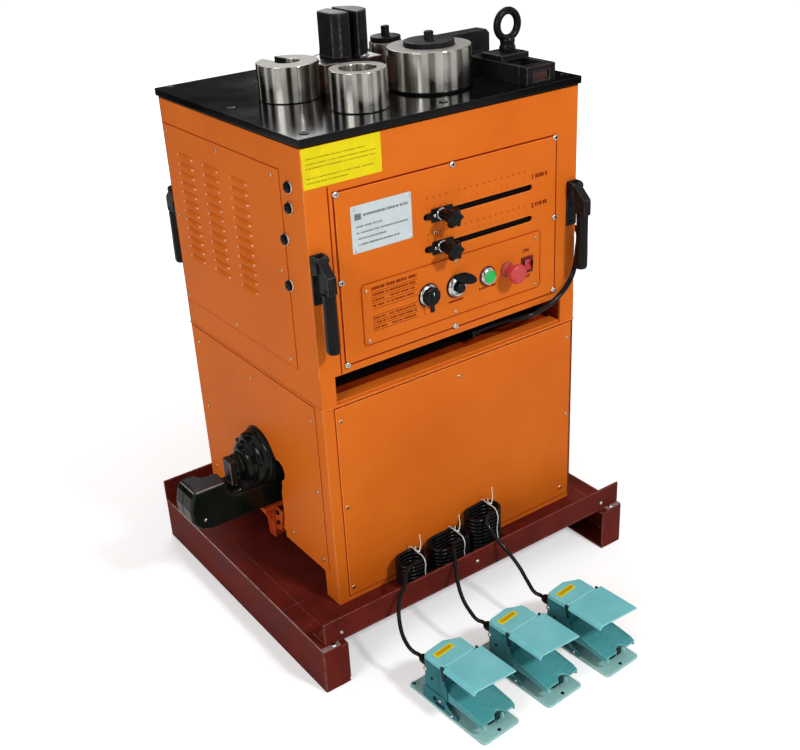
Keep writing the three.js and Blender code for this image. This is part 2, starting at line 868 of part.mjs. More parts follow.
function pointer(z) {
  const front = box(
    pointerX - pointerHalfWidth, pointerX + pointerHalfWidth, -clearance - pointerSheet, -clearance,
    z - pointerHalfHeight, z + pointerHalfHeight,
  );
  const stem = box(
    pointerX - pointerStemHalfWidth, pointerX + pointerStemHalfWidth, -clearance - weld,
    coverSheet + clearance + weld, z - slotHeight / 2 + clearance, z + slotHeight / 2 - clearance,
  );
  const back = box(
    pointerX - pointerHalfWidth, pointerX + pointerHalfWidth, coverSheet + clearance,
    coverSheet + clearance + pointerSheet, z - pointerBackHalfHeight, z + pointerBackHalfHeight,
  );
  const bore = rod('y', -overrun, 2 * overrun, pointerX, z, studRadius + clearance, smallSides);
  return cut(join(front, stem, back), bore);
}

function starKnob(z) {
  const back = starKnobFront - starKnobDepth;
  const hub = rod('y', -starKnobFront, -back, pointerX, z, starKnobRadius - starKnobLobe);
  const lobes = Array.from({ length: starLobes }, (_, i) => {
    const angle = 2 * Math.PI * i / starLobes;
    const reach = starKnobRadius - starKnobLobe;
    return rod(
      'y', -starKnobFront, -back, pointerX + reach * Math.cos(angle), z + reach * Math.sin(angle),
      starKnobLobe, smallSides,
    );
  });
  const collar = rod('y', -back - weld, -2 * clearance - pointerSheet, pointerX, z, starKnobCollarRadius, smallSides);
  const stud = rod('y', -back - weld, coverSheet, pointerX, z, studRadius, smallSides);
  return join(hub, ...lobes, collar, stud);
}

function selectorKnob() {
  const cap = rod('y', -selectorDepth, switchPocketDepth, selectorX, switchRowZ, selectorRadius);
  const grip = box(
    selectorX - selectorGripWidth / 2, selectorX + selectorGripWidth / 2, -selectorDepth - selectorGripDepth,
    -selectorDepth + weld, switchRowZ - selectorRadius, switchRowZ + selectorRadius,
  );
  return join(cap, grip);
}

function leverSwitch() {
  const hub = rod('y', -leverHubDepth, switchPocketDepth, leverX, switchRowZ, leverHubRadius);
  const lever = bar(
    [leverX, -leverHubDepth + leverRadius, switchRowZ],
    [leverX + leverTipX, -leverTipDepth, switchRowZ + leverTipZ], leverRadius,
  );
  return join(hub, lever);
}

function startButton() {
  return rod('y', -startDepth, switchPocketDepth, startX, switchRowZ, startRadius);
}

function stopButton() {
  const head = rod(
    'y', -stopHeadFront, -stopHeadFront + stopHeadDepth, stopX, switchRowZ, stopHeadRadius, roundSides,
  );
  const stem = rod(
    'y', -stopHeadFront + stopHeadDepth - weld, switchPocketDepth, stopX, switchRowZ, stopStemRadius,
  );
  return join(head, stem);
}

function rockerSwitch() {
  const outline = [
    [-rockerRise, switchRowZ - rockerHalfHeight], [-rockerDip, switchRowZ],
    [-rockerRise, switchRowZ + rockerHalfHeight], [rockerTail, switchRowZ + rockerHalfHeight],
    [rockerTail, switchRowZ - rockerHalfHeight],
  ];
  const left = rockerX - rockerHalfWidth + clearance;
  return prism('x', left, rockerX + rockerHalfWidth - clearance, outline);
}

function buildUpperCabinet() {
  addPart('upper_cabinet', upperCabinet(), 'orange');
  addPart('upper_left_panel', upperLeftPanel(), 'orange');
  addPart('control_panel', controlPanel(), 'orange');
  addPart('upper_pointer', pointer(upperSlotZ), 'blackSteel');
  addPart('upper_clamp_knob', starKnob(upperSlotZ), 'blackPlastic');
  addPart('lower_pointer', pointer(lowerSlotZ), 'blackSteel');
  addPart('lower_clamp_knob', starKnob(lowerSlotZ), 'blackPlastic');
  addPart('selector_knob', selectorKnob(), 'blackPlastic');
  addPart('lever_switch', leverSwitch(), 'blackPlastic');
  addPart('start_button', startButton(), 'green');
  addPart('stop_button', stopButton(), 'red');
  addPart('rocker_switch', rockerSwitch(), 'red');
}

// Carry handles

// A bracket on the wall at the given y, its handle hanging on the side that points away from it
function handleBracket(x, wall, outward) {
  const face = wall + outward * clearance;
  const left = x - handleBracketHalfWidth;
  const right = x + handleBracketHalfWidth;
  const plate = box(left, right, face, face + outward * handleSheet, handleBracketBottom, handleBracketTop);
  const ears = [left, right - handleSheet].map((start) => box(
    start, start + handleSheet, face, face + outward * handleEarDepth, handleEarBottom, handleBracketTop,
  ));
  const pin = rod(
    'x', left + weld, right - weld, wall + outward * handlePivotDepth, handlePivotZ, handlePinRadius, smallSides,
  );
  return join(plate, ...ears, pin);
}

function carryHandle(x, wall, outward) {
  const halfWidth = handleBracketHalfWidth - handleSheet - clearance;
  const pivotY = wall + outward * handlePivotDepth;
  const head = rod('x', x - halfWidth, x + halfWidth, pivotY, handlePivotZ, handleHeadRadius);
  const armOutline = [
    [handlePivotDepth + handleShoulder, handlePivotZ + handleShoulder],
    [handleElbowDepth, handleElbowTop],
    [handleElbowDepth, gripTop],
    [handleNeckDepth, gripTop],
    [handlePivotDepth - handleShoulder, handlePivotZ - handleHeadRadius],
  ].map(([depth, z]) => [wall + outward * depth, z]);
  const arm = prism('x', x - halfWidth, x + halfWidth, armOutline);
  const grip = rod('z', gripBottom, gripTop + weld, x, wall + outward * gripDepth, gripRadius);
  const bore = rod(
    'x', x - halfWidth - overrun, x + halfWidth + overrun, pivotY, handlePivotZ,
    handlePinRadius + clearance, smallSides,
  );
  return cut(join(head, arm, grip), bore);
}

function buildHandles() {
  const places = [
    ['front_left', handleInset, 0, -1],
    ['front_right', cabinetWidth - handleInset, 0, -1],
    ['back_left', handleInset, cabinetDepth, 1],
    ['back_right', cabinetWidth - handleInset, cabinetDepth, 1],
  ];
  for (const [side, x, wall, outward] of places) {
    addPart(`${side}_handle_bracket`, handleBracket(x, wall, outward), 'blackSteel');
    addPart(`${side}_carry_handle`, carryHandle(x, wall, outward), 'blackPlastic');
  }
}

// Bending table

const tableTop = tableUnderside + tableThickness;
const onTable = tableTop + clearance;

function topTable() {
  const plate = box(
    -tableSideLap, cabinetWidth + tableSideLap, -tableEndLap, cabinetDepth + tableEndLap,
    tableUnderside, tableTop,
  );
  const bossHole = box(
    bossLeft - clearance, bossRight + clearance, bossFront - clearance, bossBack + clearance,
    tableUnderside - overrun, tableTop + overrun,
  );
  const pinHoles = [[bigRollerX, bigRollerY], [smallRollerX, smallRollerY]].map(([x, y]) => rod(
    'z', tableUnderside - overrun, tableTop + overrun, x, y, spigotRadius + clearance,
  ));
  return cut(plate, bossHole, ...pinHoles);
}

function bendingGearbox() {
  const left = bossLeft - gearboxMargin;
  const front = bossFront - gearboxDrop;
  const box1 = box(
    left, bossRight + gearboxMargin, front, bossBack + gearboxBackMargin,
    upperTop - gearboxDepth, upperTop,
  );
  const boss = box(bossLeft, bossRight, bossFront, bossBack, upperTop - weld, tableTop + bossHeight);
  const bore = rod(
    'z', tableTop + bossHeight - spindleDepth - clearance, tableTop + bossHeight + overrun,
    headX, headY, spindleRadius + clearance,
  );
  return cut(join(box1, boss), bore);
}

function bendingHead() {
  const bottom = tableTop + bossHeight + clearance;
  const top = bottom + headHeight;
  const block = rod('z', bottom, top, headX, headY, headRadius, roundSides);
  const flat = box(
    headX - headRadius - overrun, headX - headFlatReach, headY - headRadius - overrun,
    headY + headRadius + overrun, bottom - overrun, top + overrun,
  );
  const slot = box(
    headX - headSlotWidth / 2, headX + headSlotWidth / 2, headY - headRadius - overrun,
    headY + headRadius + overrun, top - headSlotDepth, top + overrun,
  );
  const spindle = rod('z', bottom - spindleDepth, bottom + weld, headX, headY, spindleRadius);
  return join(cut(block, flat, slot), spindle);
}

// A roller and the fixed pin that carries it, with its washer, cap and bolt
function roller(name, x, y, radius, height, washerRadius, washer, shaft, cap, capHeight, bolt, boltHeight) {
  const bottom = onTable + washer + clearance;
  const top = bottom + height;
  const ring = rod('z', bottom, top, x, y, radius, roundSides);
  const bore = rod('z', bottom - overrun, top + overrun, x, y, shaft + runningGap);
  const spigot = rod('z', tableUnderside, onTable + weld, x, y, spigotRadius);
  const base = rod('z', onTable, onTable + washer, x, y, washerRadius);
  const core = rod('z', onTable + washer - weld, top + 2 * clearance + weld, x, y, shaft);
  const cover = rod('z', top + clearance, top + clearance + capHeight, x, y, cap);
  const stud = rod('z', top + capHeight, top + capHeight + boltHeight, x, y, bolt, smallSides);
  addPart(`${name}_roller`, cut(ring, bore), 'brightSteel');
  addPart(`${name}_roller_pin`, join(spigot, base, core, cover, stud), 'blackSteel');
}

function slottedSleeve() {
  const top = onTable + slottedSleeveHeight;
  const ring = rod('z', onTable, top, 0, 0, slottedSleeveRadius, roundSides);
  const bore = rod('z', onTable - overrun, top + overrun, 0, 0, slottedSleeveBore);
  const slot = box(
    -slottedSleeveSlot / 2, slottedSleeveSlot / 2, 0, slottedSleeveRadius + overrun,
    onTable - overrun, top + overrun,
  );
  return cut(ring, bore, slot).rotate([0, 0, slottedSleeveDegrees]).translate([slottedSleeveX, slottedSleeveY, 0]);
}

function ringSleeve() {
  const top = onTable + ringSleeveHeight;
  const ring = rod('z', onTable, top, ringSleeveX, ringSleeveY, ringSleeveRadius, roundSides);
  const bore = rod('z', onTable - overrun, top + overrun, ringSleeveX, ringSleeveY, ringSleeveBore);
  return cut(ring, bore);
}

function stopGuide() {
  const top = onTable + guideHeight;
  const block = box(guideLeft, guideRight, guideFront, guideBack, onTable, top);
  const slot = box(
    guideLeft + guideRim, guideRight - guideRim, guideFront + guideRimFront, guideBack - guideRim,
    top - guideSlotDepth, top + overrun,
  );
  const window = box(
    guideLeft + guideWindowLip, guideRight - guideWindowLip, guideFront - overrun, guideFront + guideWindowDepth,
    onTable + guideWindowSill, onTable + guideWindowSill + guideWindowHeight,
  );
  return cut(block, slot, window);
}

function stopSlider() {
  const bottom = onTable + guideHeight + clearance;
  const plate = box(
    guideLeft, guideRight - sliderMargin, sliderFront, sliderFront + sliderLength, bottom, bottom + sliderHeight,
  );
  const tongue = box(
    guideLeft + guideRim + clearance, guideRight - guideRim - clearance,
    sliderFront + sliderTongueInset, sliderFront + sliderLength - sliderTongueInset,
    bottom - sliderTongueDepth, bottom + weld,
  );
  const bore = rod(
    'z', bottom - sliderTongueDepth - overrun, bottom + sliderHeight + overrun, eyeX, eyeY,
    eyeShankRadius + clearance,
  );
  return cut(join(plate, tongue), bore);
}

function stopEyebolt() {
  const seat = onTable + guideHeight + 2 * clearance + sliderHeight;
  const shank = rod('z', seat - eyeShankDepth, seat + weld, eyeX, eyeY, eyeShankRadius);
  const collar = rod('z', seat, seat + eyeCollarHeight, eyeX, eyeY, eyeCollarRadius);
  const torus = new THREE.TorusGeometry(eyeRingRadius, eyeRingThickness, smallSides, middleSides);
  torus.rotateX(Math.PI / 2);
  torus.translate(eyeX, eyeY, seat + eyeRingHeight);
  const neck = rod(
    'z', seat + eyeCollarHeight - weld, seat + eyeRingHeight - eyeRingRadius, eyeX, eyeY,
    eyeCollarRadius, smallSides, eyeRingThickness,
  );
  return join(solid(torus), shank, collar, neck);
}

function fenceBar() {
  return box(fenceLeft, fenceRight, fenceFront, fenceFront + fenceThickness, onTable, onTable + fenceHeight);
}

function buildTable() {
  addPart('top_table', topTable(), 'blackPaint');
  addPart('bending_gearbox', bendingGearbox(), 'blackSteel');
  addPart('bending_head', bendingHead(), 'blackSteel');
  roller(
    'small', smallRollerX, smallRollerY, smallRollerRadius, smallRollerHeight, smallRollerWasherRadius,
    smallRollerWasher, smallShaftRadius, smallCapRadius, smallCapHeight, smallBoltRadius, smallBoltHeight,
  );
  roller(
    'big', bigRollerX, bigRollerY, bigRollerRadius, bigRollerHeight, bigRollerWasherRadius,
    bigRollerWasher, bigShaftRadius, bigCapRadius, bigCapHeight, bigBoltRadius, bigBoltHeight,
  );
  addPart('fence_bar', fenceBar(), 'blackSteel');
  addPart('stop_guide', stopGuide(), 'blackSteel');
  addPart('stop_slider', stopSlider(), 'blackSteel');
  addPart('stop_eyebolt', stopEyebolt(), 'blackSteel');
  addPart('slotted_sleeve', slottedSleeve(), 'brightSteel');
  addPart('ring_sleeve', ringSleeve(), 'brightSteel');
}

// Cutter

function cutterBody() {
  const bottom = shelfTop + clearance;
  const middle = bottom + cutterBlockHeight / 2;
  const lean = cutterBulge - cutterEnd;
  const frame = prism('y', cutterFront, cutterBack, [
    [pumpStart + weld, bottom],
    [-cutterEnd + lean, bottom],
    [-cutterEnd - lean / 2, bottom + lean],
    [-cutterBulge, middle],
    [-cutterEnd - lean / 2, cutterBlockTop - lean],
    [-cutterEnd, cutterBlockTop],
    [-cutterBlockInner, cutterBlockTop],
    [-cutterBlockInner, bottom + cutterLipHeight],
    [-cutterLipReach, bottom + cutterBeamHeight],
    [pumpStart + weld, bottom + cutterBeamHeight],
  ].reverse());
  const bladePocket = box(
    -fixedBladeFace - fixedBladeThickness - clearance, -fixedBladeFace + overrun,
    cutterAxisY - fixedBladeHalfWidth - clearance, cutterAxisY + fixedBladeHalfWidth + clearance,
    fixedBladeBottom - clearance, fixedBladeTop + clearance,
  );
  const barrel = rod('x', -barrelReach, pumpStart + weld, cutterAxisY, cutterAxisZ, barrelRadius, roundSides);
  const nose = rod('x', -noseReach, -barrelReach + weld, cutterAxisY, cutterAxisZ, noseRadius, roundSides);
  const pump = box(
    pumpStart, pumpEnd, cutterAxisY - pumpHalfWidth, cutterAxisY + pumpHalfWidth, bottom, pumpTop,
  );
  const bore = rod(
    'x', -cutterLipReach - overrun, ramBack + ramRunout, cutterAxisY, cutterAxisZ, ramRadius + clearance,
  );
  const notch = box(
    -noseReach - overrun, -barrelReach - weld, cutterAxisY - holderHalfWidth - clearance,
    cutterAxisY + holderHalfWidth + clearance, noseNotchBottom, cutterAxisZ + noseRadius + overrun,
  );
  return cut(join(frame, barrel, nose, pump), bladePocket, bore, notch);
}

function cutterRam() {
  const face = -movingBladeFace + movingBladeThickness + clearance;
  const core = rod('x', face, ramBack, cutterAxisY, cutterAxisZ, ramRadius);
  const holder = box(
    face, -holderBack, cutterAxisY - holderHalfWidth, cutterAxisY + holderHalfWidth, holderBottom, holderTop,
  );
  return join(core, holder);
}

function buildCutter() {
  addPart('cutter_body', cutterBody(), 'blackSteel');
  addPart('cutter_ram', cutterRam(), 'blackSteel');
  addPart('moving_blade', box(
    -movingBladeFace, -movingBladeFace + movingBladeThickness, cutterAxisY - movingBladeHalfWidth,
    cutterAxisY + movingBladeHalfWidth, movingBladeBottom, movingBladeTop,
  ), 'blackSteel');
  addPart('fixed_blade', box(
    -fixedBladeFace - fixedBladeThickness, -fixedBladeFace, cutterAxisY - fixedBladeHalfWidth,
    cutterAxisY + fixedBladeHalfWidth, fixedBladeBottom, fixedBladeTop,
  ), 'brightSteel');
}

function buildMotors() {
  const motorTop = upperTop - gearboxDepth - clearance;
  addPart('bending_motor', rod(
    'z', motorTop - bendingMotorLength, motorTop, headX, headY, bendingMotorRadius,
  ), 'motorGrey');
  const start = pumpEnd + clearance;
  const barrel = rod('x', start, start + pumpMotorLength, cutterAxisY, pumpMotorZ, pumpMotorRadius);
  const foot = box(
    start + pumpMotorFootInset, start + pumpMotorLength - pumpMotorFootInset,
    cutterAxisY - pumpMotorFootHalfWidth, cutterAxisY + pumpMotorFootHalfWidth, clearance, pumpMotorFootTop,
  );
  addPart('pump_motor', join(barrel, foot), 'motorGrey');
}

// Foot pedals

function pedalBody() {
  const half = pedalWidth / 2;
  const base = prism('z', 0, pedalBase, roundedOutline(-half, half, 0, pedalLength, pedalCorner));
  const side = pedalHousingHalfWidth;
  const housing = prism('z', pedalBase - weld, pedalHousingHeight, [
    [-side, pedalHousingFront], [side, pedalHousingFront], [side, pedalHousingChamferBack - overrun],
    [pedalHousingChamferRight, pedalHousingChamferBack], [pedalHousingChamferLeft, pedalHousingBack],
    [-side, pedalHousingSide],
  ]);
  const insideWidth = side - pedalWall;
  const mouth = box(
    -insideWidth, insideWidth, pedalHousingFront - overrun, pedalHousingFront + pedalWall + weld,
    pedalBase, pedalMouthTop,
  );
  const hollow = box(
    -insideWidth, pedalHousingChamferRight - pedalWall, pedalHousingFront + pedalWall,
    pedalHousingChamferBack - pedalWall, pedalBase, pedalHousingHeight - pedalWall,
  );
  const rightHollow = box(
    0, insideWidth, pedalHousingFront + pedalWall, treadleRear + overrun, pedalBase, pedalHousingHeight - pedalWall,
  );
  const guardTop = pedalGuardBottom + pedalGuardSheet;
  const guardBack = pedalHousingFront + pedalGuardLap;
  const guard = box(
    -pedalGuardHalfWidth, pedalGuardHalfWidth, pedalGuardFront, guardBack, pedalGuardBottom, guardTop,
  );
  const riser = box(
    -side, side, pedalHousingFront, guardBack, pedalHousingHeight - weld, pedalGuardBottom + weld,
  );
  const lips = [-pedalGuardHalfWidth, pedalGuardHalfWidth - pedalWall].map((start) => box(
    start, start + pedalWall, pedalGuardFront, pedalHousingFront - clearance,
    pedalGuardBottom - pedalGuardLip, guardTop,
  ));
  const gland = rod('y', pedalHousingBack - overrun, pedalHousingBack + glandLength, glandU, glandW, glandRadius);
  const shell = cut(join(base, housing, riser, guard, ...lips, gland), mouth, hollow, rightHollow);
  const pin = rod('x', -side + weld, side - weld, pedalPivotV, pedalPivotW, pedalPinRadius, smallSides);
  return join(shell, pin);
}

function pedalTreadle() {
  const plateOutline = [
    [treadleFront, treadleFrontTop - treadleSheet], [treadleRear, treadleRearTop - treadleSheet],
    [treadleRear, treadleRearTop], [treadleFront, treadleFrontTop],
  ];
  const plate = prism('x', -treadleHalfWidth, treadleHalfWidth, plateOutline);
  const notch = box(
    -treadleNotchHalfWidth, treadleNotchHalfWidth, treadleFront - overrun, treadleFront + treadleNotchDepth,
    treadleFrontTop - treadleSheet - overrun, treadleFrontTop + overrun,
  );
  const skirtOutline = [
    [treadleFront, treadleFrontTop - treadleSkirtDrop],
    [pedalPivotV - 2 * pedalPinRadius, pedalPivotW - pedalPinRadius],
    [pedalPivotV + pedalPinRadius, pedalPivotW - 2 * pedalPinRadius],
    [pedalPivotV + 2 * pedalPinRadius, pedalPivotW + pedalPinRadius],
    [treadleRear, treadleRearTop - weld],
    [treadleFront, treadleFrontTop - weld],
  ];
  const skirts = [-treadleHalfWidth, treadleHalfWidth - treadleSkirt].map(
    (start) => prism('x', start, start + treadleSkirt, skirtOutline),
  );
  const latchBack = treadleFront + treadleNotchDepth + treadleSkirt;
  const latch = box(
    -treadleLatchWidth / 2, treadleLatchWidth / 2, treadleFront + treadleNotchDepth, latchBack,
    treadleLatchBottom, treadleFrontTop - weld,
  );
  const bore = rod(
    'x', -treadleHalfWidth - overrun, treadleHalfWidth + overrun, pedalPivotV, pedalPivotW,
    pedalPinRadius + clearance, smallSides,
  );
  return cut(join(cut(plate, notch), ...skirts, latch), bore);
}

function buildPedals() {
  for (const [side, place] of Object.entries(pedalPlaces)) {
    const frame = new THREE.Group();
    frame.position.set(place.x, place.y, -floorDrop);
    frame.rotation.z = THREE.MathUtils.degToRad(pedalTurnDegrees);
    bender.add(frame);
    addPart(`${side}_pedal_base`, pedalBody(), 'teal', frame);
    addPart(`${side}_pedal_treadle`, pedalTreadle(), 'teal', frame);
  }
}

// Pedal cords and hanks

// The middle line of a hank: in from the cabinet, then oval loops that climb, out at the front run
function hankPoints({ x, y, z, halfLength, loops, exitX }) {
  const radius = hankHalfDepth;
  const straight = 2 * (halfLength - radius);
  const bend = Math.PI * radius;
  const loopLength = 2 * (straight + bend);
  const start = bend;
  const exitAt = bend + (x + halfLength - radius - exitX);
  const total = loops * loopLength + exitAt - start;
  const count = Math.round(hankStepsPerLoop * total / loopLength);
  const entryX = x + halfLength + grommetReach;
  const entryY = -grommetDepth - clearance;
  const points = [
    new THREE.Vector3(entryX, entryY, grommetZ),
    new THREE.Vector3(entryX, entryY - cordDiameter, grommetZ),
    new THREE.Vector3(entryX - grommetReach / 3, y - radius / 2, (grommetZ + z) / 2),
    new THREE.Vector3(x + halfLength - radius / 3, y - radius, z - clearance),
  ];
  for (let i = 0; i <= count; i += 1) {
    const along = start + total * i / count;
    const turn = along % loopLength;
    const height = z + hankPitch * (along - start) / loopLength;
    const point = new THREE.Vector3(0, 0, height);
    if (turn < bend) {
      const angle = Math.PI / 2 - turn / radius;
      point.x = x + halfLength - radius + radius * Math.cos(angle);
      point.y = y + radius * Math.sin(angle);
    } else if (turn < bend + straight) {
      point.x = x + halfLength - radius - (turn - bend);
      point.y = y - radius;
    } else if (turn < 2 * bend + straight) {
      const angle = -Math.PI / 2 - (turn - bend - straight) / radius;
      point.x = x - halfLength + radius + radius * Math.cos(angle);
      point.y = y + radius * Math.sin(angle);
    } else {
      point.x = x - halfLength + radius + (turn - 2 * bend - straight);
      point.y = y + radius;
    }
    points.push(point);
  }
  const last = points[points.length - 1];
  points.push(new THREE.Vector3(last.x - cordDiameter, last.y, last.z));
  return points;
}

function buildPedalCords() {
  for (const [side, hank] of Object.entries(hanks)) {
    const points = hankPoints(hank);
    const curve = new THREE.CatmullRomCurve3(points, false, 'centripetal');
    printGap(`${side}_pedal_hank`, points, cordDiameter);
    addPart(`${side}_pedal_hank`, tube(curve, cordDiameter, hankSides, points.length), 'cordBlack');
    const end = points[points.length - 1];
    const place = pedalPlaces[side];
    const turn = THREE.MathUtils.degToRad(pedalTurnDegrees);
    const mouth = new THREE.Vector3(glandU, pedalHousingBack + glandLength + clearance, glandW - floorDrop);
    const lead = new THREE.Vector3(0, cordDiameter, 0);
    const zAxis = new THREE.Vector3(0, 0, 1);
    mouth.applyAxisAngle(zAxis, turn).add(new THREE.Vector3(place.x, place.y, 0));
    lead.applyAxisAngle(zAxis, turn);
    const route = smoothCurve([
      [end.x - clearance, end.y, end.z],
      [end.x - clearance - cordDiameter, end.y, end.z],
      ...pedalCordRoutes[side],
      mouth.clone().add(lead).toArray(),
      mouth.toArray(),
    ]);
    addPart(`${side}_pedal_cord`, tube(route, cordDiameter, cordSides, cordSteps), 'cordBlack');
    console.log(`${side}_pedal_cord: length ${route.getLength().toFixed(0)} mm`);
    cordNames.push(`${side}_pedal_hank`, `${side}_pedal_cord`);
  }
}

// Mains lead

const coilY = skidBack + coilBehind;
const coilBottom = -floorDrop + mainsDiameter / 2;
const coilTop = coilBottom + coilLayerPitch;
const plugAxisZ = -floorDrop + plugHeight / 2;
const plugBendX = coilX - coilRadius - plugBendRadius;
const plugStart = plugBendX - plugLead;
const plugY = coilY - plugBendRadius;

// The middle line of the coil: the upper layer winds inwards, the line goes down a layer in half a
// turn, the lower layer winds outwards and bends away to the plug
function coilPoints() {
  const layer = 2 * Math.PI * coilTurns;
  const total = 2 * layer + Math.PI;
  const count = Math.round(coilStepsPerTurn * total / (2 * Math.PI));
  const points = [new THREE.Vector3(coilX + coilRadius, coilY - mainsDiameter, coilTop)];
  for (let i = 0; i <= count; i += 1) {
    const angle = total * i / count;
    const half = THREE.MathUtils.clamp((angle - layer) / Math.PI, 0, 1);
    const inwards = Math.min(angle, layer) - Math.max(angle - layer - Math.PI, 0);
    const radius = coilRadius - coilTurnPitch * inwards / (2 * Math.PI);
    points.push(new THREE.Vector3(
      coilX + radius * Math.cos(angle), coilY + radius * Math.sin(angle), coilTop - coilLayerPitch * half,
    ));
  }
  for (let i = 1; i <= plugBendSteps; i += 1) {
    const angle = -Math.PI / 2 * i / plugBendSteps;
    points.push(new THREE.Vector3(
      plugBendX + plugBendRadius * Math.cos(angle), coilY + plugBendRadius * Math.sin(angle),
      THREE.MathUtils.lerp(coilBottom, plugAxisZ, i / plugBendSteps),
    ));
  }
  points.push(new THREE.Vector3(plugStart + clearance, plugY, plugAxisZ));
  return points;
}

function mainsPlug() {
  const bodyStart = plugStart - plugReliefLength;
  const bodyEnd = bodyStart - plugLength;
  const relief = rod('x', bodyStart - weld, plugStart, plugY, plugAxisZ, plugReliefRadius, smallSides);
  const body = box(
    bodyEnd, bodyStart, plugY - plugWidth / 2, plugY + plugWidth / 2, -floorDrop, -floorDrop + plugHeight,
  );
  const pins = [-plugPinSpread, plugPinSpread].map((offset) => rod(
    'x', bodyEnd - plugPinLength, bodyEnd + weld, plugY + offset, plugAxisZ, plugPinRadius, smallSides,
  ));
  return join(relief, body, ...pins);
}

function buildMainsLead() {
  const points = coilPoints();
  printGap('mains_coil', points, mainsDiameter);
  const coil = new THREE.CatmullRomCurve3(points, false, 'centripetal');
  addPart('mains_coil', tube(coil, mainsDiameter, hankSides, points.length), 'cordBlack');
  const glandFace = mainsGlandX - mainsBracketSheet + mainsGlandLength + clearance;
  const glandZ = lowerTop + mainsGlandRise;
  const coilEnd = coilY - mainsDiameter - clearance;
  const coilSide = coilX + coilRadius;
  const route = smoothCurve([
    [glandFace, mainsGlandY, glandZ],
    [glandFace + mainsDiameter, mainsGlandY, glandZ],
    ...mainsRouteOut.map(([x, y, z]) => [cabinetWidth + x, y, seamHeight + z]),
    ...mainsRouteSide.map(([x, y, z]) => [cabinetWidth + x, y, z]),
    ...mainsRouteBack.map(([x, y, z]) => [cabinetWidth + x, skidBack + y, z]),
    [coilSide, coilEnd - mainsDiameter, coilTop],
    [coilSide, coilEnd, coilTop],
  ]);
  addPart('mains_cord', tube(route, mainsDiameter, mainsSides, mainsSteps), 'cordBlack');
  console.log(`mains_cord: length ${route.getLength().toFixed(0)} mm`);
  addPart('mains_plug', mainsPlug(), 'blackPlastic');
  cordNames.push('mains_coil', 'mains_cord', 'mains_plug');
}

buildSkid();
buildLowerCabinet();
buildUpperCabinet();
buildHandles();
buildTable();
buildCutter();
buildMotors();
buildPedals();
buildPedalCords();
buildMainsLead();

// The origin is under the middle of the machine and its pedals, cords left out, on the floor
const extent = new THREE.Box3();
bender.updateMatrixWorld(true);
bender.traverse((piece) => {
  if (piece.isMesh && !cordNames.includes(piece.name)) extent.expandByObject(piece);
});
const middle = extent.getCenter(new THREE.Vector3());
bender.position.set(-middle.x, -middle.y, -extent.min.z);

export default bender;
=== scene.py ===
"""Looks of a floor-standing rebar bender and cutter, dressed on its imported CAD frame.

Sizes are in millimetres in the machine's own frame: x runs to the right from the cabinet's left
wall, y to the back from its front wall and z up from the skid's deck. Each finished mesh is moved
into the row frame, in metres, with its object left at the origin.
"""

import logging
import math
import random
from dataclasses import dataclass
from enum import Enum
from typing import Any, Callable, Iterable, Sequence

import bmesh
import bpy
from mathutils import Matrix, Vector

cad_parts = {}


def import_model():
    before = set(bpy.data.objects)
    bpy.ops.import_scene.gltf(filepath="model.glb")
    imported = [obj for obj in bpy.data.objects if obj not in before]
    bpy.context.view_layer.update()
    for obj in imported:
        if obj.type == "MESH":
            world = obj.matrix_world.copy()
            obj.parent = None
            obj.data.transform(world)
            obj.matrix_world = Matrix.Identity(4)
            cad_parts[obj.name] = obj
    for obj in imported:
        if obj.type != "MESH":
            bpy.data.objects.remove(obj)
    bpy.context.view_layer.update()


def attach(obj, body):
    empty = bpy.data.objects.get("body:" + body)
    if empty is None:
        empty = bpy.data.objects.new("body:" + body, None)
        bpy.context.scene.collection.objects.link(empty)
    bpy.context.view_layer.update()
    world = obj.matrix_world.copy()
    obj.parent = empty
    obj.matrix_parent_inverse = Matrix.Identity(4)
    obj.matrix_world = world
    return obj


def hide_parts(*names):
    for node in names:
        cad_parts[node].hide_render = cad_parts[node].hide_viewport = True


LOG = logging.getLogger("bender")

MILLIMETRE = 0.001
ROW_SHIFT = Vector((-222.0, -80.31, 87.0))
FLOOR = -87.0
SHARP_TURN = math.radians(33)
WORN_TURN = math.radians(58)
SEAM_PROUD = 0.25
SEAM_DEEP = 0.4
TIE_RADIUS = 0.9
PEDAL_TURN = 3.5

Pair = tuple[float, float]
Triple = tuple[float, float, float]
Colour = tuple[float, float, float]


class Axis(Enum):
    """The direction that a part is drawn or turned along."""

    X = 0
    Y = 1
    Z = 2


class Texture(Enum):
    """The fine relief of a finish."""

    SMOOTH = "smooth"
    POWDER = "powder"
    CAST = "cast"
    MOULDED = "moulded"
    TURNED = "turned"
    BRUSHED = "brushed"


def tone(red: int, green: int, blue: int) -> Colour:
    """Turns a display colour into the linear one that a shader takes.

    Args:
        red: Red from 0 to 255.
        green: Green from 0 to 255.
        blue: Blue from 0 to 255.

    Returns:
        The linear colour.
    """
    parts = (channel / 255 for channel in (red, green, blue))
    return tuple(c / 12.92 if c <= 0.04045 else ((c + 0.055) / 1.055) ** 2.4 for c in parts)


def to_row(point: Sequence[float]) -> Vector:
    """Moves a point from the machine's frame in millimetres to the row frame in metres."""
    return (Vector(point) + ROW_SHIFT) * MILLIMETRE


# Shader building


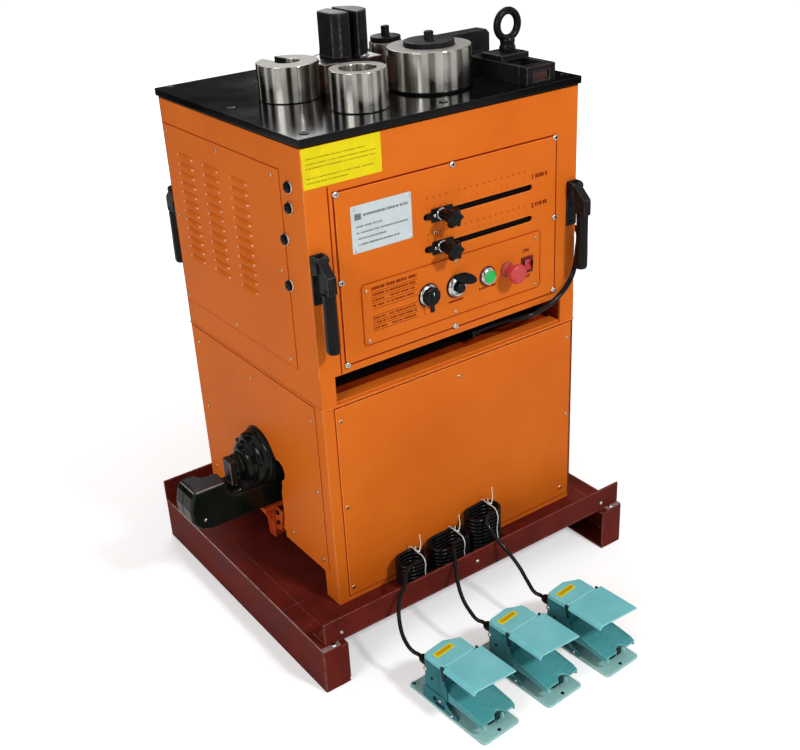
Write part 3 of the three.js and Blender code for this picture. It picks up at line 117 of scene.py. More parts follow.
class Wiring:
    """Adds nodes to one node tree and joins them up."""

    def __init__(self, tree: bpy.types.NodeTree) -> None:
        """Takes the tree that is built."""
        self.tree = tree

    def add(self, kind: str, inputs: dict[Any, Any] | None = None, **settings: Any) -> bpy.types.Node:
        """Adds one node.

        Args:
            kind: The node's type.
            inputs: What goes in, by the socket's name or number: a socket to join or a value.
            **settings: The node's own settings.

        Returns:
            The node.
        """
        node = self.tree.nodes.new(kind)
        for key, value in settings.items():
            setattr(node, key, value)
        for key, value in (inputs or {}).items():
            if isinstance(value, bpy.types.NodeSocket):
                self.tree.links.new(value, node.inputs[key])
            else:
                node.inputs[key].default_value = value
        return node

    def mixed(self, share: Any, first: Any, second: Any) -> bpy.types.NodeSocket:
        """Mixes two colours by a share.

        Args:
            share: How much of the second colour there is.
            first: The colour at none.
            second: The colour at all.

        Returns:
            The mixed colour's socket.
        """
        colours = [c if isinstance(c, bpy.types.NodeSocket) else (*c, 1.0) for c in (first, second)]
        node = self.add("ShaderNodeMix", {0: share, 6: colours[0], 7: colours[1]}, data_type="RGBA")
        return node.outputs[2]

    def ranged(self, value: bpy.types.NodeSocket, span: Pair, result: Pair) -> bpy.types.NodeSocket:
        """Maps a value from one range to another, held inside it.

        Args:
            value: The value's socket.
            span: The range that goes in.
            result: The range that comes out.

        Returns:
            The result's socket.
        """
        limits = {"From Min": span[0], "From Max": span[1], "To Min": result[0], "To Max": result[1]}
        return self.add("ShaderNodeMapRange", {"Value": value, **limits}).outputs["Result"]


class Effects:
    """The effects that the finishes share, each a node group that is built once."""

    built: dict[str, bpy.types.NodeTree] = {}

    @classmethod
    def group(cls, name: str, numbers: dict[str, float], result: str,
              wire: Callable[[Wiring, bpy.types.Node], bpy.types.NodeSocket]) -> bpy.types.NodeTree:
        """Gives a shared group, and builds it the first time.

        Args:
            name: The group's name.
            numbers: Its number inputs beside the vector, with their defaults.
            result: The name of its output.
            wire: Builds the inside from the group's input node and gives the output's socket.

        Returns:
            The group.
        """
        if name in cls.built:
            return cls.built[name]
        tree = bpy.data.node_groups.new(name, "ShaderNodeTree")
        tree.interface.new_socket(name="Vector", in_out="INPUT", socket_type="NodeSocketVector")
        for key, value in numbers.items():
            socket = tree.interface.new_socket(name=key, in_out="INPUT", socket_type="NodeSocketFloat")
            socket.default_value = value
        tree.interface.new_socket(name=result, in_out="OUTPUT", socket_type="NodeSocketFloat")
        wiring = Wiring(tree)
        start = wiring.add("NodeGroupInput")
        wiring.add("NodeGroupOutput", {result: wire(wiring, start)})
        cls.built[name] = tree
        return tree

    @classmethod
    def mottle(cls) -> bpy.types.NodeTree:
        """Soft clouds, for colour that isn't quite even."""

        def wire(wiring: Wiring, start: bpy.types.Node) -> bpy.types.NodeSocket:
            """Builds the clouds."""
            noise = wiring.add("ShaderNodeTexNoise", {
                "Vector": start.outputs["Vector"], "Scale": start.outputs["Scale"], "Detail": 4.0,
                "Roughness": 0.6,
            })
            return wiring.ranged(noise.outputs["Fac"], (0.3, 0.7), (0.0, 1.0))

        return cls.group("soft_mottle", {"Scale": 12.0}, "Value", wire)

    @classmethod
    def relief(cls, texture: Texture) -> bpy.types.NodeTree:
        """The height of a finish's fine relief.

        Args:
            texture: Which relief it is.

        Returns:
            The group, with the height as its output.
        """
        stretches = {Texture.TURNED: (0.0, 0.0, 1.0), Texture.BRUSHED: (0.04, 1.0, 1.0)}
        stretch = stretches.get(texture, (1.0, 1.0, 1.0))
        detail = {Texture.CAST: 6.0, Texture.MOULDED: 2.0}.get(texture, 1.0)

        def wire(wiring: Wiring, start: bpy.types.Node) -> bpy.types.NodeSocket:
            """Builds the relief."""
            place = wiring.add("ShaderNodeMapping", {"Vector": start.outputs["Vector"], "Scale": stretch})
            noise = wiring.add("ShaderNodeTexNoise", {
                "Vector": place.outputs["Vector"], "Scale": start.outputs["Scale"], "Detail": detail,
            })
            if texture is not Texture.CAST:
                return noise.outputs["Fac"]
            pits = wiring.add("ShaderNodeTexVoronoi", {
                "Vector": place.outputs["Vector"], "Scale": start.outputs["Scale"],
            })
            hollow = wiring.ranged(pits.outputs["Distance"], (0.0, 0.35), (0.0, 0.6))
            return wiring.add("ShaderNodeMath", {0: noise.outputs["Fac"], 1: hollow},
                              operation="ADD").outputs[0]

        return cls.group(f"{texture.value}_relief", {"Scale": 600.0}, "Height", wire)

    @classmethod
    def edge_wear_and_painted_highlight(cls) -> bpy.types.NodeTree:
        """Where the finish is rubbed through along the edges that the mesh marks as worn; on the paints and
        plastics, whose worn colour is a paler shade of their own, it is partly a painted highlight along
        those edges.
        """

        def wire(wiring: Wiring, start: bpy.types.Node) -> bpy.types.NodeSocket:
            """Builds the broken edge."""
            noise = wiring.add("ShaderNodeTexNoise", {
                "Vector": start.outputs["Vector"], "Scale": 160.0, "Detail": 3.0,
            })
            broken = wiring.ranged(noise.outputs["Fac"], (0.35, 0.6), (0.25, 1.0))
            edge = wiring.add("ShaderNodeMath", {0: start.outputs["Edge"], 1: broken}, operation="MULTIPLY")
            amount = {0: edge.outputs[0], 1: start.outputs["Amount"]}
            return wiring.add("ShaderNodeMath", amount, operation="MULTIPLY").outputs[0]

        return cls.group("edge_wear_and_painted_highlight", {"Edge": 0.0, "Amount": 0.5}, "Mask", wire)

    @classmethod
    def scratches(cls) -> bpy.types.NodeTree:
        """Fine scratches in two directions."""

        def wire(wiring: Wiring, start: bpy.types.Node) -> bpy.types.NodeSocket:
            """Builds the scratches."""
            masks = []
            for turn, scale in ((0.5, (9.0, 240.0, 260.0)), (-0.9, (240.0, 12.0, 200.0))):
                place = wiring.add("ShaderNodeMapping", {
                    "Vector": start.outputs["Vector"], "Rotation": (turn, turn / 2, turn), "Scale": scale,
                })
                noise = wiring.add("ShaderNodeTexNoise", {"Vector": place.outputs["Vector"], "Scale": 1.0})
                masks.append(wiring.ranged(noise.outputs["Fac"], (0.68, 0.76), (0.0, 1.0)))
            both = wiring.add("ShaderNodeMath", {0: masks[0], 1: masks[1]}, operation="MAXIMUM")
            amount = {0: both.outputs[0], 1: start.outputs["Amount"]}
            return wiring.add("ShaderNodeMath", amount, operation="MULTIPLY").outputs[0]

        return cls.group("fine_scratches", {"Amount": 0.3}, "Mask", wire)


@dataclass(frozen=True)
class Finish:
    """A surface finish: its colours, its gloss, its fine relief and its wear, which on the paints and
    plastics is partly a painted highlight along the edges.
    """

    name: str
    slot: str
    colour: Colour
    shade: Colour
    roughness: Pair = (0.35, 0.45)
    metallic: float = 0.0
    texture: Texture = Texture.SMOOTH
    grain: float = 700.0
    depth: float = 0.02
    mottle: float = 9.0
    # worn: the colour of rubbed edges and scratches; on the paints and plastics a paler shade of the paint,
    # so partly a painted highlight on the edges
    worn: Colour = (0.6, 0.6, 0.6)
    wear: float = 0.0
    scratched: float = 0.0
    streak: float = 0.0
    gleam: float = 0.5

    def material(self) -> bpy.types.Material:
        """The finish's material, built the first time that it is asked for."""
        found = bpy.data.materials.get(self.name)
        if found is not None:
            return found
        material = bpy.data.materials.new(self.name)
        material.use_nodes = True
        material.node_tree.nodes.clear()
        wiring = Wiring(material.node_tree)
        place = wiring.add("ShaderNodeTexCoord").outputs["Object"]
        cloud = self.effect(wiring, Effects.mottle(), {"Vector": place, "Scale": self.mottle})
        colour = wiring.mixed(cloud, self.shade, self.colour)
        gloss = wiring.ranged(cloud, (0.0, 1.0), self.roughness)
        # Lighter bevelled edges: wear on the steels, and partly a painted highlight on the paints and
        # plastics, whose worn colour is a paler shade of their own
        if self.wear > 0:
            edge = wiring.add("ShaderNodeAttribute", attribute_name="worn").outputs["Fac"]
            inputs = {"Vector": place, "Edge": edge, "Amount": self.wear}
            rubbed = self.effect(wiring, Effects.edge_wear_and_painted_highlight(), inputs)
            colour = wiring.mixed(rubbed, colour, self.worn)
        if self.scratched > 0:
            marks = self.effect(wiring, Effects.scratches(), {"Vector": place, "Amount": self.scratched})
            colour = wiring.mixed(marks, colour, self.worn)
            rough = wiring.add("ShaderNodeMath", {0: marks, 1: 0.25, 2: gloss}, operation="MULTIPLY_ADD")
            gloss = rough.outputs[0]
        inputs = {
            "Base Color": colour, "Roughness": gloss, "Metallic": self.metallic, "Anisotropic": self.streak,
            "Anisotropic Rotation": 0.25, "Specular IOR Level": self.gleam, "Emission Strength": 0.0,
        }
        if self.texture is not Texture.SMOOTH:
            height = self.effect(wiring, Effects.relief(self.texture), {"Vector": place, "Scale": self.grain})
            bump = {"Height": height, "Strength": 1.0, "Distance": self.depth * MILLIMETRE}
            inputs["Normal"] = wiring.add("ShaderNodeBump", bump).outputs["Normal"]
        shader = wiring.add("ShaderNodeBsdfPrincipled", inputs)
        wiring.add("ShaderNodeOutputMaterial", {"Surface": shader.outputs["BSDF"]})
        return material

    @staticmethod
    def effect(wiring: Wiring, tree: bpy.types.NodeTree, inputs: dict[str, Any]) -> bpy.types.NodeSocket:
        """Places a shared group in a material.

        Args:
            wiring: The material's wiring.
            tree: The group.
            inputs: The group's inputs in this material.

        Returns:
            The group's output.
        """
        return wiring.add("ShaderNodeGroup", inputs, node_tree=tree).outputs[0]


# The paints' and plastics' worn colours are paler shades of their own colours: on the bevels they are partly
# painted highlight, partly wear
ORANGE = Finish(
    "orange_powder_coat", "orange_paint", tone(214, 108, 31), tone(202, 96, 23), (0.34, 0.44),
    texture=Texture.POWDER, grain=520.0, depth=0.03, mottle=4.0, worn=tone(244, 160, 92), wear=0.55,
    scratched=0.03, gleam=0.05,
)
SKID_RED = Finish(
    "red_oxide_primer", "skid_red", tone(106, 34, 26), tone(78, 24, 19), (0.42, 0.6), texture=Texture.POWDER,
    grain=400.0, depth=0.06, mottle=14.0, worn=tone(150, 100, 92), wear=0.5, scratched=0.2, gleam=0.05,
)
BARE_EDGE = Finish(
    "bare_steel_edge", "skid_red", tone(176, 158, 152), tone(120, 84, 76), (0.4, 0.6), metallic=0.3,
    texture=Texture.BRUSHED, grain=900.0, depth=0.03, mottle=60.0,
)
TABLE_BLACK = Finish(
    "black_table_gloss", "black_paint", tone(11, 10, 11), tone(7, 6, 7), (0.09, 0.18), texture=Texture.POWDER,
    grain=160.0, depth=0.012, mottle=7.0, worn=tone(70, 66, 68), wear=0.3, scratched=0.05, gleam=0.2,
)
BLACKENED = Finish(
    "blackened_steel", "black_steel", tone(36, 34, 35), tone(20, 19, 20), (0.26, 0.42), metallic=0.2,
    texture=Texture.BRUSHED, depth=0.03, mottle=26.0, worn=tone(112, 106, 102), wear=0.4, scratched=0.1,
    gleam=0.12,
)
BLACK_PAINTED = Finish(
    "black_painted_steel", "black_steel", tone(22, 21, 22), tone(14, 14, 15), (0.24, 0.36),
    texture=Texture.POWDER, grain=500.0, depth=0.03, mottle=20.0, worn=tone(76, 72, 70), wear=0.25,
    scratched=0.06, gleam=0.12,
)
CASTING = Finish(
    "oily_black_casting", "black_steel", tone(17, 24, 19), tone(9, 13, 10), (0.08, 0.2), texture=Texture.CAST,
    grain=300.0, depth=0.035, mottle=24.0, worn=tone(60, 64, 60), wear=0.2, scratched=0.03, gleam=0.16,
)
RUSTY = Finish(
    "rusty_black_steel", "black_steel", tone(84, 52, 42), tone(28, 23, 23), (0.5, 0.7), metallic=0.2,
    texture=Texture.CAST, grain=500.0, depth=0.12, mottle=70.0, worn=tone(140, 130, 122), wear=0.4,
    scratched=0.15, gleam=0.3,
)
TURNED_STEEL = Finish(
    "turned_bright_steel", "bright_steel", tone(214, 211, 202), tone(196, 193, 184), (0.16, 0.24),
    metallic=1.0, texture=Texture.TURNED, grain=900.0, depth=0.003, mottle=22.0, worn=tone(120, 116, 110),
    wear=0.5, scratched=0.08, streak=0.85,
)
FACED_STEEL = Finish(
    "faced_bright_steel", "bright_steel", tone(190, 188, 184), tone(150, 148, 144), (0.3, 0.42), metallic=1.0,
    texture=Texture.BRUSHED, grain=800.0, depth=0.01, mottle=40.0, worn=tone(210, 210, 208), wear=0.5,
    scratched=0.3,
)
CHROME = Finish(
    "zinc_plated_screw", "bright_steel", tone(222, 222, 220), tone(190, 188, 182), (0.14, 0.26), metallic=1.0,
    mottle=120.0,
)
BRASSY = Finish(
    "yellow_plated_screw", "bright_steel", tone(226, 184, 140), tone(190, 140, 96), (0.2, 0.34), metallic=0.8,
    mottle=150.0,
)
BLACK_PLASTIC = Finish(
    "moulded_black_plastic", "black_plastic", tone(17, 17, 18), tone(11, 11, 12), (0.2, 0.32),
    texture=Texture.MOULDED, grain=1500.0, mottle=30.0, worn=tone(54, 54, 56), wear=0.25, scratched=0.05,
    gleam=0.14,
)
TEAL = Finish(
    "teal_hammer_paint", "teal_paint", tone(80, 158, 162), tone(66, 144, 148), (0.3, 0.42),
    texture=Texture.POWDER, grain=300.0, depth=0.04, mottle=18.0, worn=tone(150, 206, 206), wear=0.5,
    scratched=0.05, gleam=0.25,
)
# A lighter copy of the teal paint: painted light on the lit tops, the lid, the guard, its pin and the
# treadle's catch
TEAL_PAINTED_LIGHT = Finish(
    "teal_paint_painted_light", "teal_paint", tone(122, 200, 206), tone(106, 188, 194), (0.3, 0.42),
    texture=Texture.POWDER, grain=300.0, depth=0.04, mottle=18.0, worn=tone(196, 232, 232), wear=0.6,
    scratched=0.05, gleam=0.25,
)
TEAL_PLATE = Finish(
    "greyish_teal_base", "teal_paint", tone(156, 200, 196), tone(134, 182, 180), (0.36, 0.5),
    texture=Texture.POWDER, grain=300.0, depth=0.05, mottle=22.0, worn=tone(190, 214, 212), wear=0.6,
    scratched=0.12, gleam=0.25,
)
# A very dark copy of the teal paint: painted shade on the hooks in the slit beside the guard, the latch in
# the treadle's notch and the links on the shaded sides
TEAL_PAINTED_DEEP_SHADE = Finish(
    "teal_painted_deep_shade", "teal_paint", tone(16, 52, 56), tone(10, 38, 42), (0.4, 0.5), texture=Texture.POWDER,
    grain=300.0, mottle=18.0, worn=tone(60, 110, 112), wear=0.4, scratched=0.05, gleam=0.1,
)
# A darker copy of the teal paint: painted shade for the pedals' side faces, the housing's walls and the
# base's side walls
TEAL_PAINTED_SHADE = Finish(
    "teal_sides_painted_shade", "teal_paint", tone(48, 122, 128), tone(36, 100, 108), (0.34, 0.46),
    texture=Texture.POWDER, grain=300.0, depth=0.04, mottle=18.0, worn=tone(130, 176, 178), wear=0.5,
    scratched=0.05, gleam=0.12,
)
GREEN = Finish(
    "green_push_button", "green_plastic", tone(14, 184, 84), tone(10, 168, 72), (0.2, 0.3),
    texture=Texture.MOULDED, grain=1200.0, depth=0.01, mottle=60.0, worn=tone(140, 226, 170), wear=0.4,
)
STOP_RED = Finish(
    "red_mushroom_head", "red_plastic", tone(198, 66, 66), tone(184, 56, 58), (0.3, 0.4),
    texture=Texture.MOULDED, grain=1200.0, mottle=60.0, worn=tone(226, 130, 126), wear=0.6, gleam=0.35,
)
ROCKER_RED = Finish(
    "red_rocker", "red_plastic", tone(190, 44, 50), tone(168, 32, 38), (0.14, 0.24), texture=Texture.MOULDED,
    grain=900.0, depth=0.01, mottle=60.0, worn=tone(240, 140, 136), wear=0.4,
)
RIM_RED = Finish(
    "dark_red_rim", "black_plastic", tone(84, 14, 14), tone(62, 9, 10), (0.3, 0.42), texture=Texture.MOULDED,
    grain=1200.0, depth=0.01, mottle=60.0, worn=tone(160, 74, 64), wear=0.4, gleam=0.3,
)
RUBBER = Finish(
    "cord_jacket", "cord_black", tone(15, 15, 16), tone(9, 9, 10), (0.12, 0.24), texture=Texture.MOULDED,
    grain=900.0, mottle=60.0, gleam=0.16,
)
TIE_WIRE = Finish(
    "white_wire_tie", "cord_black", tone(226, 224, 218), tone(204, 200, 192), (0.4, 0.5),
    texture=Texture.MOULDED, grain=1200.0, depth=0.01, mottle=90.0,
)
YELLOW_LABEL = Finish(
    "yellow_label_vinyl", "orange_paint", tone(226, 208, 6), tone(214, 194, 4), (0.34, 0.44),
    texture=Texture.MOULDED, depth=0.01, mottle=30.0, gleam=0.2,
)
OCHRE_LABEL = Finish(
    "ochre_label_print", "orange_paint", tone(196, 164, 26), tone(168, 134, 14), (0.34, 0.44),
    texture=Texture.MOULDED, depth=0.01, mottle=220.0, gleam=0.2,
)
PALE_PLATE = Finish(
    "pale_rating_plate", "orange_paint", tone(202, 211, 211), tone(186, 197, 199), (0.3, 0.42), metallic=0.1,
    texture=Texture.BRUSHED, grain=900.0, depth=0.006, mottle=24.0, gleam=0.3,
)
PRINT = Finish(
    "dark_print", "orange_paint", tone(118, 28, 6), tone(98, 20, 5), (0.4, 0.5), mottle=80.0, gleam=0.04,
)
PLATE_LINE = Finish(
    "plate_edge_print", "orange_paint", tone(160, 62, 8), tone(136, 46, 6), (0.4, 0.5), mottle=80.0,
    gleam=0.04,
)
FAINT_PRINT = Finish(
    "faint_print", "orange_paint", tone(182, 82, 22), tone(158, 66, 14), (0.4, 0.5), mottle=80.0, gleam=0.04,
)
GREY_PRINT = Finish(
    "grey_print", "orange_paint", tone(92, 98, 96), tone(120, 124, 118), (0.4, 0.5), mottle=300.0, gleam=0.15,
)
OLIVE_PRINT = Finish(
    "olive_print", "orange_paint", tone(150, 136, 8), tone(128, 114, 6), (0.4, 0.5), mottle=200.0, gleam=0.15,
)
SEAM = Finish(
    "seam_shadow", "orange_paint", tone(138, 32, 4), tone(110, 22, 4), (0.5, 0.6), mottle=60.0, gleam=0.04,
)
FAINT_SEAM = Finish(
    "faint_seam_shadow", "orange_paint", tone(172, 62, 20), tone(146, 48, 14), (0.5, 0.6), mottle=60.0,
    gleam=0.04,
)
# A darker copy of the orange powder coat: painted shade on the lower cabinet's flange inside the mouth, under
# the upper cabinet
FLANGE_PAINTED_SHADE = Finish(
    "flange_orange_painted_shade", "orange_paint", tone(160, 54, 12), tone(126, 38, 8), (0.5, 0.6), mottle=20.0,
    gleam=0.04,
)
# Pale orange for the dots at the louvres' ends: painted highlights on the hoods' rounded ends
LOUVRE_PAINTED_HIGHLIGHT = Finish(
    "painted_highlight_at_louvre_corners", "orange_paint", tone(246, 190, 150), tone(226, 150, 104), (0.22, 0.3),
    texture=Texture.POWDER, grain=520.0, depth=0.03, gleam=0.4,
)
# A darker copy of the orange powder coat: painted shade on the bracket under the cutter
BRACKET_ORANGE_PAINTED_SHADE = Finish(
    "orange_bracket_painted_shade", "orange_paint", tone(190, 72, 26), tone(160, 52, 18), (0.36, 0.46),
    texture=Texture.POWDER, grain=520.0, depth=0.03, mottle=10.0, worn=tone(228, 120, 66), wear=0.55,
    scratched=0.03, gleam=0.08,
)
# A dark copy of the orange powder coat: painted shade on the mouth's inner walls
INNER_ORANGE_PAINTED_SHADE = Finish(
    "inner_orange_painted_shade", "orange_paint", tone(116, 36, 10), tone(88, 24, 8), (0.5, 0.6), mottle=30.0,
    gleam=0.04,
)
STOP_STEM = Finish(
    "stop_button_collar", "red_plastic", tone(168, 70, 52), tone(146, 52, 42), (0.34, 0.44),
    texture=Texture.MOULDED, grain=1200.0, mottle=60.0, worn=tone(236, 160, 130), wear=0.6, gleam=0.3,
)
GROUND_FACE = Finish(
    "ground_end_face", "bright_steel", tone(158, 155, 149), tone(128, 125, 120), (0.46, 0.6), metallic=0.55,
    texture=Texture.BRUSHED, grain=900.0, depth=0.006, mottle=40.0, worn=tone(90, 86, 82), wear=0.5,
    scratched=0.15, gleam=0.2,
)
# Flat black for the dark cards that the studio's gloss mirrors, and painted shade: the black sheets behind
# the vent slots, the panel's slots and the mouth, and the dark discs in the pedals' holes stand in for the
# shade inside
BLACK_CARD_AND_PAINTED_SHADE = Finish(
    "black_card_and_painted_shade", "black_plastic", tone(10, 8, 8), tone(6, 5, 5), (0.6, 0.8), mottle=40.0, gleam=0.1,
)
MOTOR_GREY = Finish(
    "motor_grey_paint", "motor_grey", tone(104, 110, 114), tone(88, 94, 98), (0.4, 0.52),
    texture=Texture.CAST, grain=300.0, depth=0.05, mottle=18.0, worn=tone(160, 164, 168), wear=0.5,
)


# Mesh building


AXIS_TURN = {
    Axis.X: Matrix.Rotation(math.radians(90), 4, "Y"),
    Axis.Y: Matrix.Rotation(math.radians(-90), 4, "X"),
    Axis.Z: Matrix.Identity(4),
}


def raised(axis: Axis, along: float, across: Pair) -> Vector:
    """Puts a point that is given in the plane across an axis at a height along it.

    Args:
        axis: The axis.
        along: The height along it.
        across: The other two coordinates, in the order x, y, z.

    Returns:
        The point.
    """
    point = list(across)
    point.insert(axis.value, along)
    return Vector(point)


def rounded(outline: Sequence[Pair], radius: float, steps: int = 5) -> list[Pair]:
    """Rounds the corners of a flat outline.

    Args:
        outline: The corners, in order.
        radius: The radius, made less where a side is short.
        steps: How many points each corner gets.

    Returns:
        The rounded outline.
    """
    result = []
    for index, corner in enumerate(outline):
        here = Vector(corner)
        before = Vector(outline[index - 1]) - here
        after = Vector(outline[(index + 1) % len(outline)]) - here
        angle = before.angle(after)
        reach = min(radius / math.tan(angle / 2), before.length * 0.49, after.length * 0.49)
        start, end = here + before.normalized() * reach, here + after.normalized() * reach
        for step in range(steps + 1):
            share = step / steps
            result.append(tuple(start * (1 - share) ** 2 + here * 2 * share * (1 - share) + end * share**2))
    return result


def rectangle(first: Pair, second: Pair) -> list[Pair]:
    """The corners of a rectangle over two ranges, anticlockwise."""
    return [(first[0], second[0]), (first[1], second[0]), (first[1], second[1]), (first[0], second[1])]


def polar(centre: Pair, radius: float, angle: float) -> Pair:
    """The point at a distance and an angle, in radians, from a centre."""
    return (centre[0] + radius * math.cos(angle), centre[1] + radius * math.sin(angle))


def circle(centre: Pair, radius: float, count: int = 32, turn: float = 0.0) -> list[Pair]:
    """The points of a circle, or of a regular polygon, anticlockwise.

    Args:
        centre: The centre.
        radius: The radius.
        count: How many points there are.
        turn: The angle of the first point, in degrees.

    Returns:
        The points.
    """
    angles = (math.radians(turn) + 2 * math.pi * index / count for index in range(count))
    return [polar(centre, radius, angle) for angle in angles]


class Form:
    """One piece while it is modelled, in millimetres in the machine's frame."""

    def __init__(self, place: Matrix | None = None) -> None:
        """Starts an empty piece.

        Args:
            place: Moves the shapes to the machine's frame, where they are drawn in their own.
        """
        self.place = place
        self.mesh = self.blank()

    @staticmethod
    def blank() -> bmesh.types.BMesh:
        """An empty mesh with the mark for worn faces."""
        mesh = bmesh.new()
        mesh.faces.layers.float.new("worn")
        return mesh

    def take(self, shape: bmesh.types.BMesh, soft: float = 0.0, segments: int = 2) -> "Form":
        """Softens a shape's sharp edges and adds it to the piece.

        Args:
            shape: The shape, which is used up.
            soft: The width of the softened edges.
            segments: How many faces go round an edge.

        Returns:
            The piece.
        """
        bmesh.ops.recalc_face_normals(shape, faces=shape.faces)
        if soft > 0:
            sharp = [edge for edge in shape.edges if edge.calc_face_angle(0.0) > SHARP_TURN]
            made = bmesh.ops.bevel(
                shape, geom=sharp, offset=soft, offset_type="OFFSET", affect="EDGES", segments=segments,
                profile=0.5, clamp_overlap=True, material=-1,
            )
            worn = shape.faces.layers.float["worn"]
            for face in made["faces"]:
                face[worn] = 1.0
        mesh = bpy.data.meshes.new("shape")
        shape.to_mesh(mesh)
        shape.free()
        self.mesh.from_mesh(mesh)
        bpy.data.meshes.remove(mesh)
        return self

    def block(self, x: Pair, y: Pair, z: Pair, soft: float = 0.8, segments: int = 2) -> "Form":
        """Adds a rectangular block over three ranges."""
        shape = self.blank()
        size = Vector((x[1] - x[0], y[1] - y[0], z[1] - z[0]))
        middle = Vector((x[0] + x[1], y[0] + y[1], z[0] + z[1])) / 2
        place = Matrix.Translation(middle) @ Matrix.Diagonal((*size, 1.0))
        bmesh.ops.create_cube(shape, size=1.0, matrix=place)
        return self.take(shape, soft, segments)

    def rod(self, axis: Axis, span: Pair, centre: Pair, radius: float, end_radius: float | None = None,
            soft: float = 0.5, sides: int = 48, segments: int = 2) -> "Form":
        """Adds a round bar or a cone.

        Args:
            axis: The axis that it runs along.
            span: Where it starts and ends along the axis.
            centre: Its centre across the axis.
            radius: The radius at the start.
            end_radius: The radius at the end, where it differs.
            soft: The width of the softened edges.
            sides: How many faces go round.
            segments: How many faces go round an edge.

        Returns:
            The piece.
        """
        shape = self.blank()
        bmesh.ops.create_cone(
            shape, cap_ends=True, segments=sides, radius1=radius,
            radius2=radius if end_radius is None else end_radius, depth=span[1] - span[0],
            matrix=Matrix.Translation(raised(axis, sum(span) / 2, centre)) @ AXIS_TURN[axis],
        )
        return self.take(shape, soft, segments)

    def turned(self, axis: Axis, centre: Pair, profile: Sequence[Pair], soft: float = 0.0, sides: int = 64,
               segments: int = 2) -> "Form":
        """Adds a turned shape.

        Args:
            axis: The axis that it is turned about.
            centre: Its centre across the axis.
            profile: Pairs of place along the axis and radius. It starts and ends on the axis, or is a
                closed ring's section.
            soft: The width of the softened edges.
            sides: How many faces go round.
            segments: How many faces go round an edge.

        Returns:
            The piece.
        """
        shape = self.blank()
        points = [shape.verts.new((radius, 0.0, along)) for along, radius in profile]
        pairs = list(zip(points, points[1:]))
        if profile[0][1] > 0:
            pairs.append((points[-1], points[0]))
        edges = [shape.edges.new(pair) for pair in pairs]
        bmesh.ops.spin(
            shape, geom=points + edges, cent=(0, 0, 0), axis=(0, 0, 1), dvec=(0, 0, 0), angle=2 * math.pi,
            steps=sides, use_merge=True, use_duplicate=False,
        )
        bmesh.ops.remove_doubles(shape, verts=shape.verts, dist=0.0005)
        bmesh.ops.transform(
            shape, matrix=Matrix.Translation(raised(axis, 0.0, centre)) @ AXIS_TURN[axis], verts=shape.verts,
        )
        return self.take(shape, soft, segments)

    def plate(self, axis: Axis, span: Pair, outline: Sequence[Pair], soft: float = 0.4,
              segments: int = 2) -> "Form":
        """Adds a flat outline drawn out along an axis.

        Args:
            axis: The axis that it is drawn out along.
            span: Where it starts and ends along the axis.
            outline: The outline's points, in the other two coordinates.
            soft: The width of the softened edges.
            segments: How many faces go round an edge.

        Returns:
            The piece.
        """
        shape = self.blank()
        face = shape.faces.new([shape.verts.new(raised(axis, span[0], point)) for point in outline])
        self.draw_out(shape, [face], axis, span[1] - span[0])
        return self.take(shape, soft, segments)

    @staticmethod
    def draw_out(shape: bmesh.types.BMesh, faces: list[bmesh.types.BMFace], axis: Axis, depth: float) -> None:
        """Extrudes faces of a flat shape along an axis, to make it solid."""
        made = bmesh.ops.extrude_face_region(shape, geom=faces)["geom"]
        moved = [part for part in made if isinstance(part, bmesh.types.BMVert)]
        bmesh.ops.translate(shape, vec=raised(axis, depth, (0.0, 0.0)), verts=moved)

    def pierced(self, axis: Axis, span: Pair, outer: tuple[Pair, Pair], windows: Iterable[tuple[Pair, Pair]],
                soft: float = 0.3, segments: int = 1) -> "Form":
        """Adds a rectangular sheet with rectangular windows.

        Args:
            axis: The axis across the sheet.
            span: Its thickness along the axis.
            outer: Its two ranges in the other two coordinates.
            windows: The same two ranges for each window.
            soft: The width of the softened edges.
            segments: How many faces go round an edge.

        Returns:
            The piece.
        """
        shape = self.blank()
        holes = list(windows)
        shape.faces.new([shape.verts.new(raised(axis, span[0], point)) for point in rectangle(*outer)])
        for side in (0, 1):
            cuts = sorted({limit for hole in holes for limit in hole[side]})
            across = (1.0, 0.0) if side == 0 else (0.0, 1.0)
            for cut in cuts:
                bmesh.ops.bisect_plane(
                    shape, geom=[*shape.verts, *shape.edges, *shape.faces], dist=0.0001,
                    plane_co=raised(axis, 0.0, (across[0] * cut, across[1] * cut)),
                    plane_no=raised(axis, 0.0, across),
                )
        others = [index for index in range(3) if index != axis.value]
        inside = []
        for face in shape.faces:
            middle = face.calc_center_median()
            spot = (middle[others[0]], middle[others[1]])
            if any(all(low < s < high for s, (low, high) in zip(spot, hole)) for hole in holes):
                inside.append(face)
        bmesh.ops.delete(shape, geom=inside, context="FACES")
        self.draw_out(shape, list(shape.faces), axis, span[1] - span[0])
        return self.take(shape, soft, segments)

    def corners(self, axis: Axis, span: Pair, window: tuple[Pair, Pair], radius: float) -> "Form":
        """Fills the four corners of a window of a sheet, to round them.

        Args:
            axis: The axis across the sheet.
            span: The sheet's thickness along the axis.
            window: The window's two ranges.
            radius: The corners' radius.

        Returns:
            The piece.
        """
        for u, to_u in zip(window[0], (1, -1)):
            for v, to_v in zip(window[1], (1, -1)):
                angles = [math.radians(15 * step) for step in range(7)]
                arc = [(u + to_u * radius * (1 - math.sin(a)), v + to_v * radius * (1 - math.cos(a)))
                       for a in angles]
                self.plate(axis, span, [(u - to_u * 0.1, v - to_v * 0.1), *arc], 0.0)
        return self

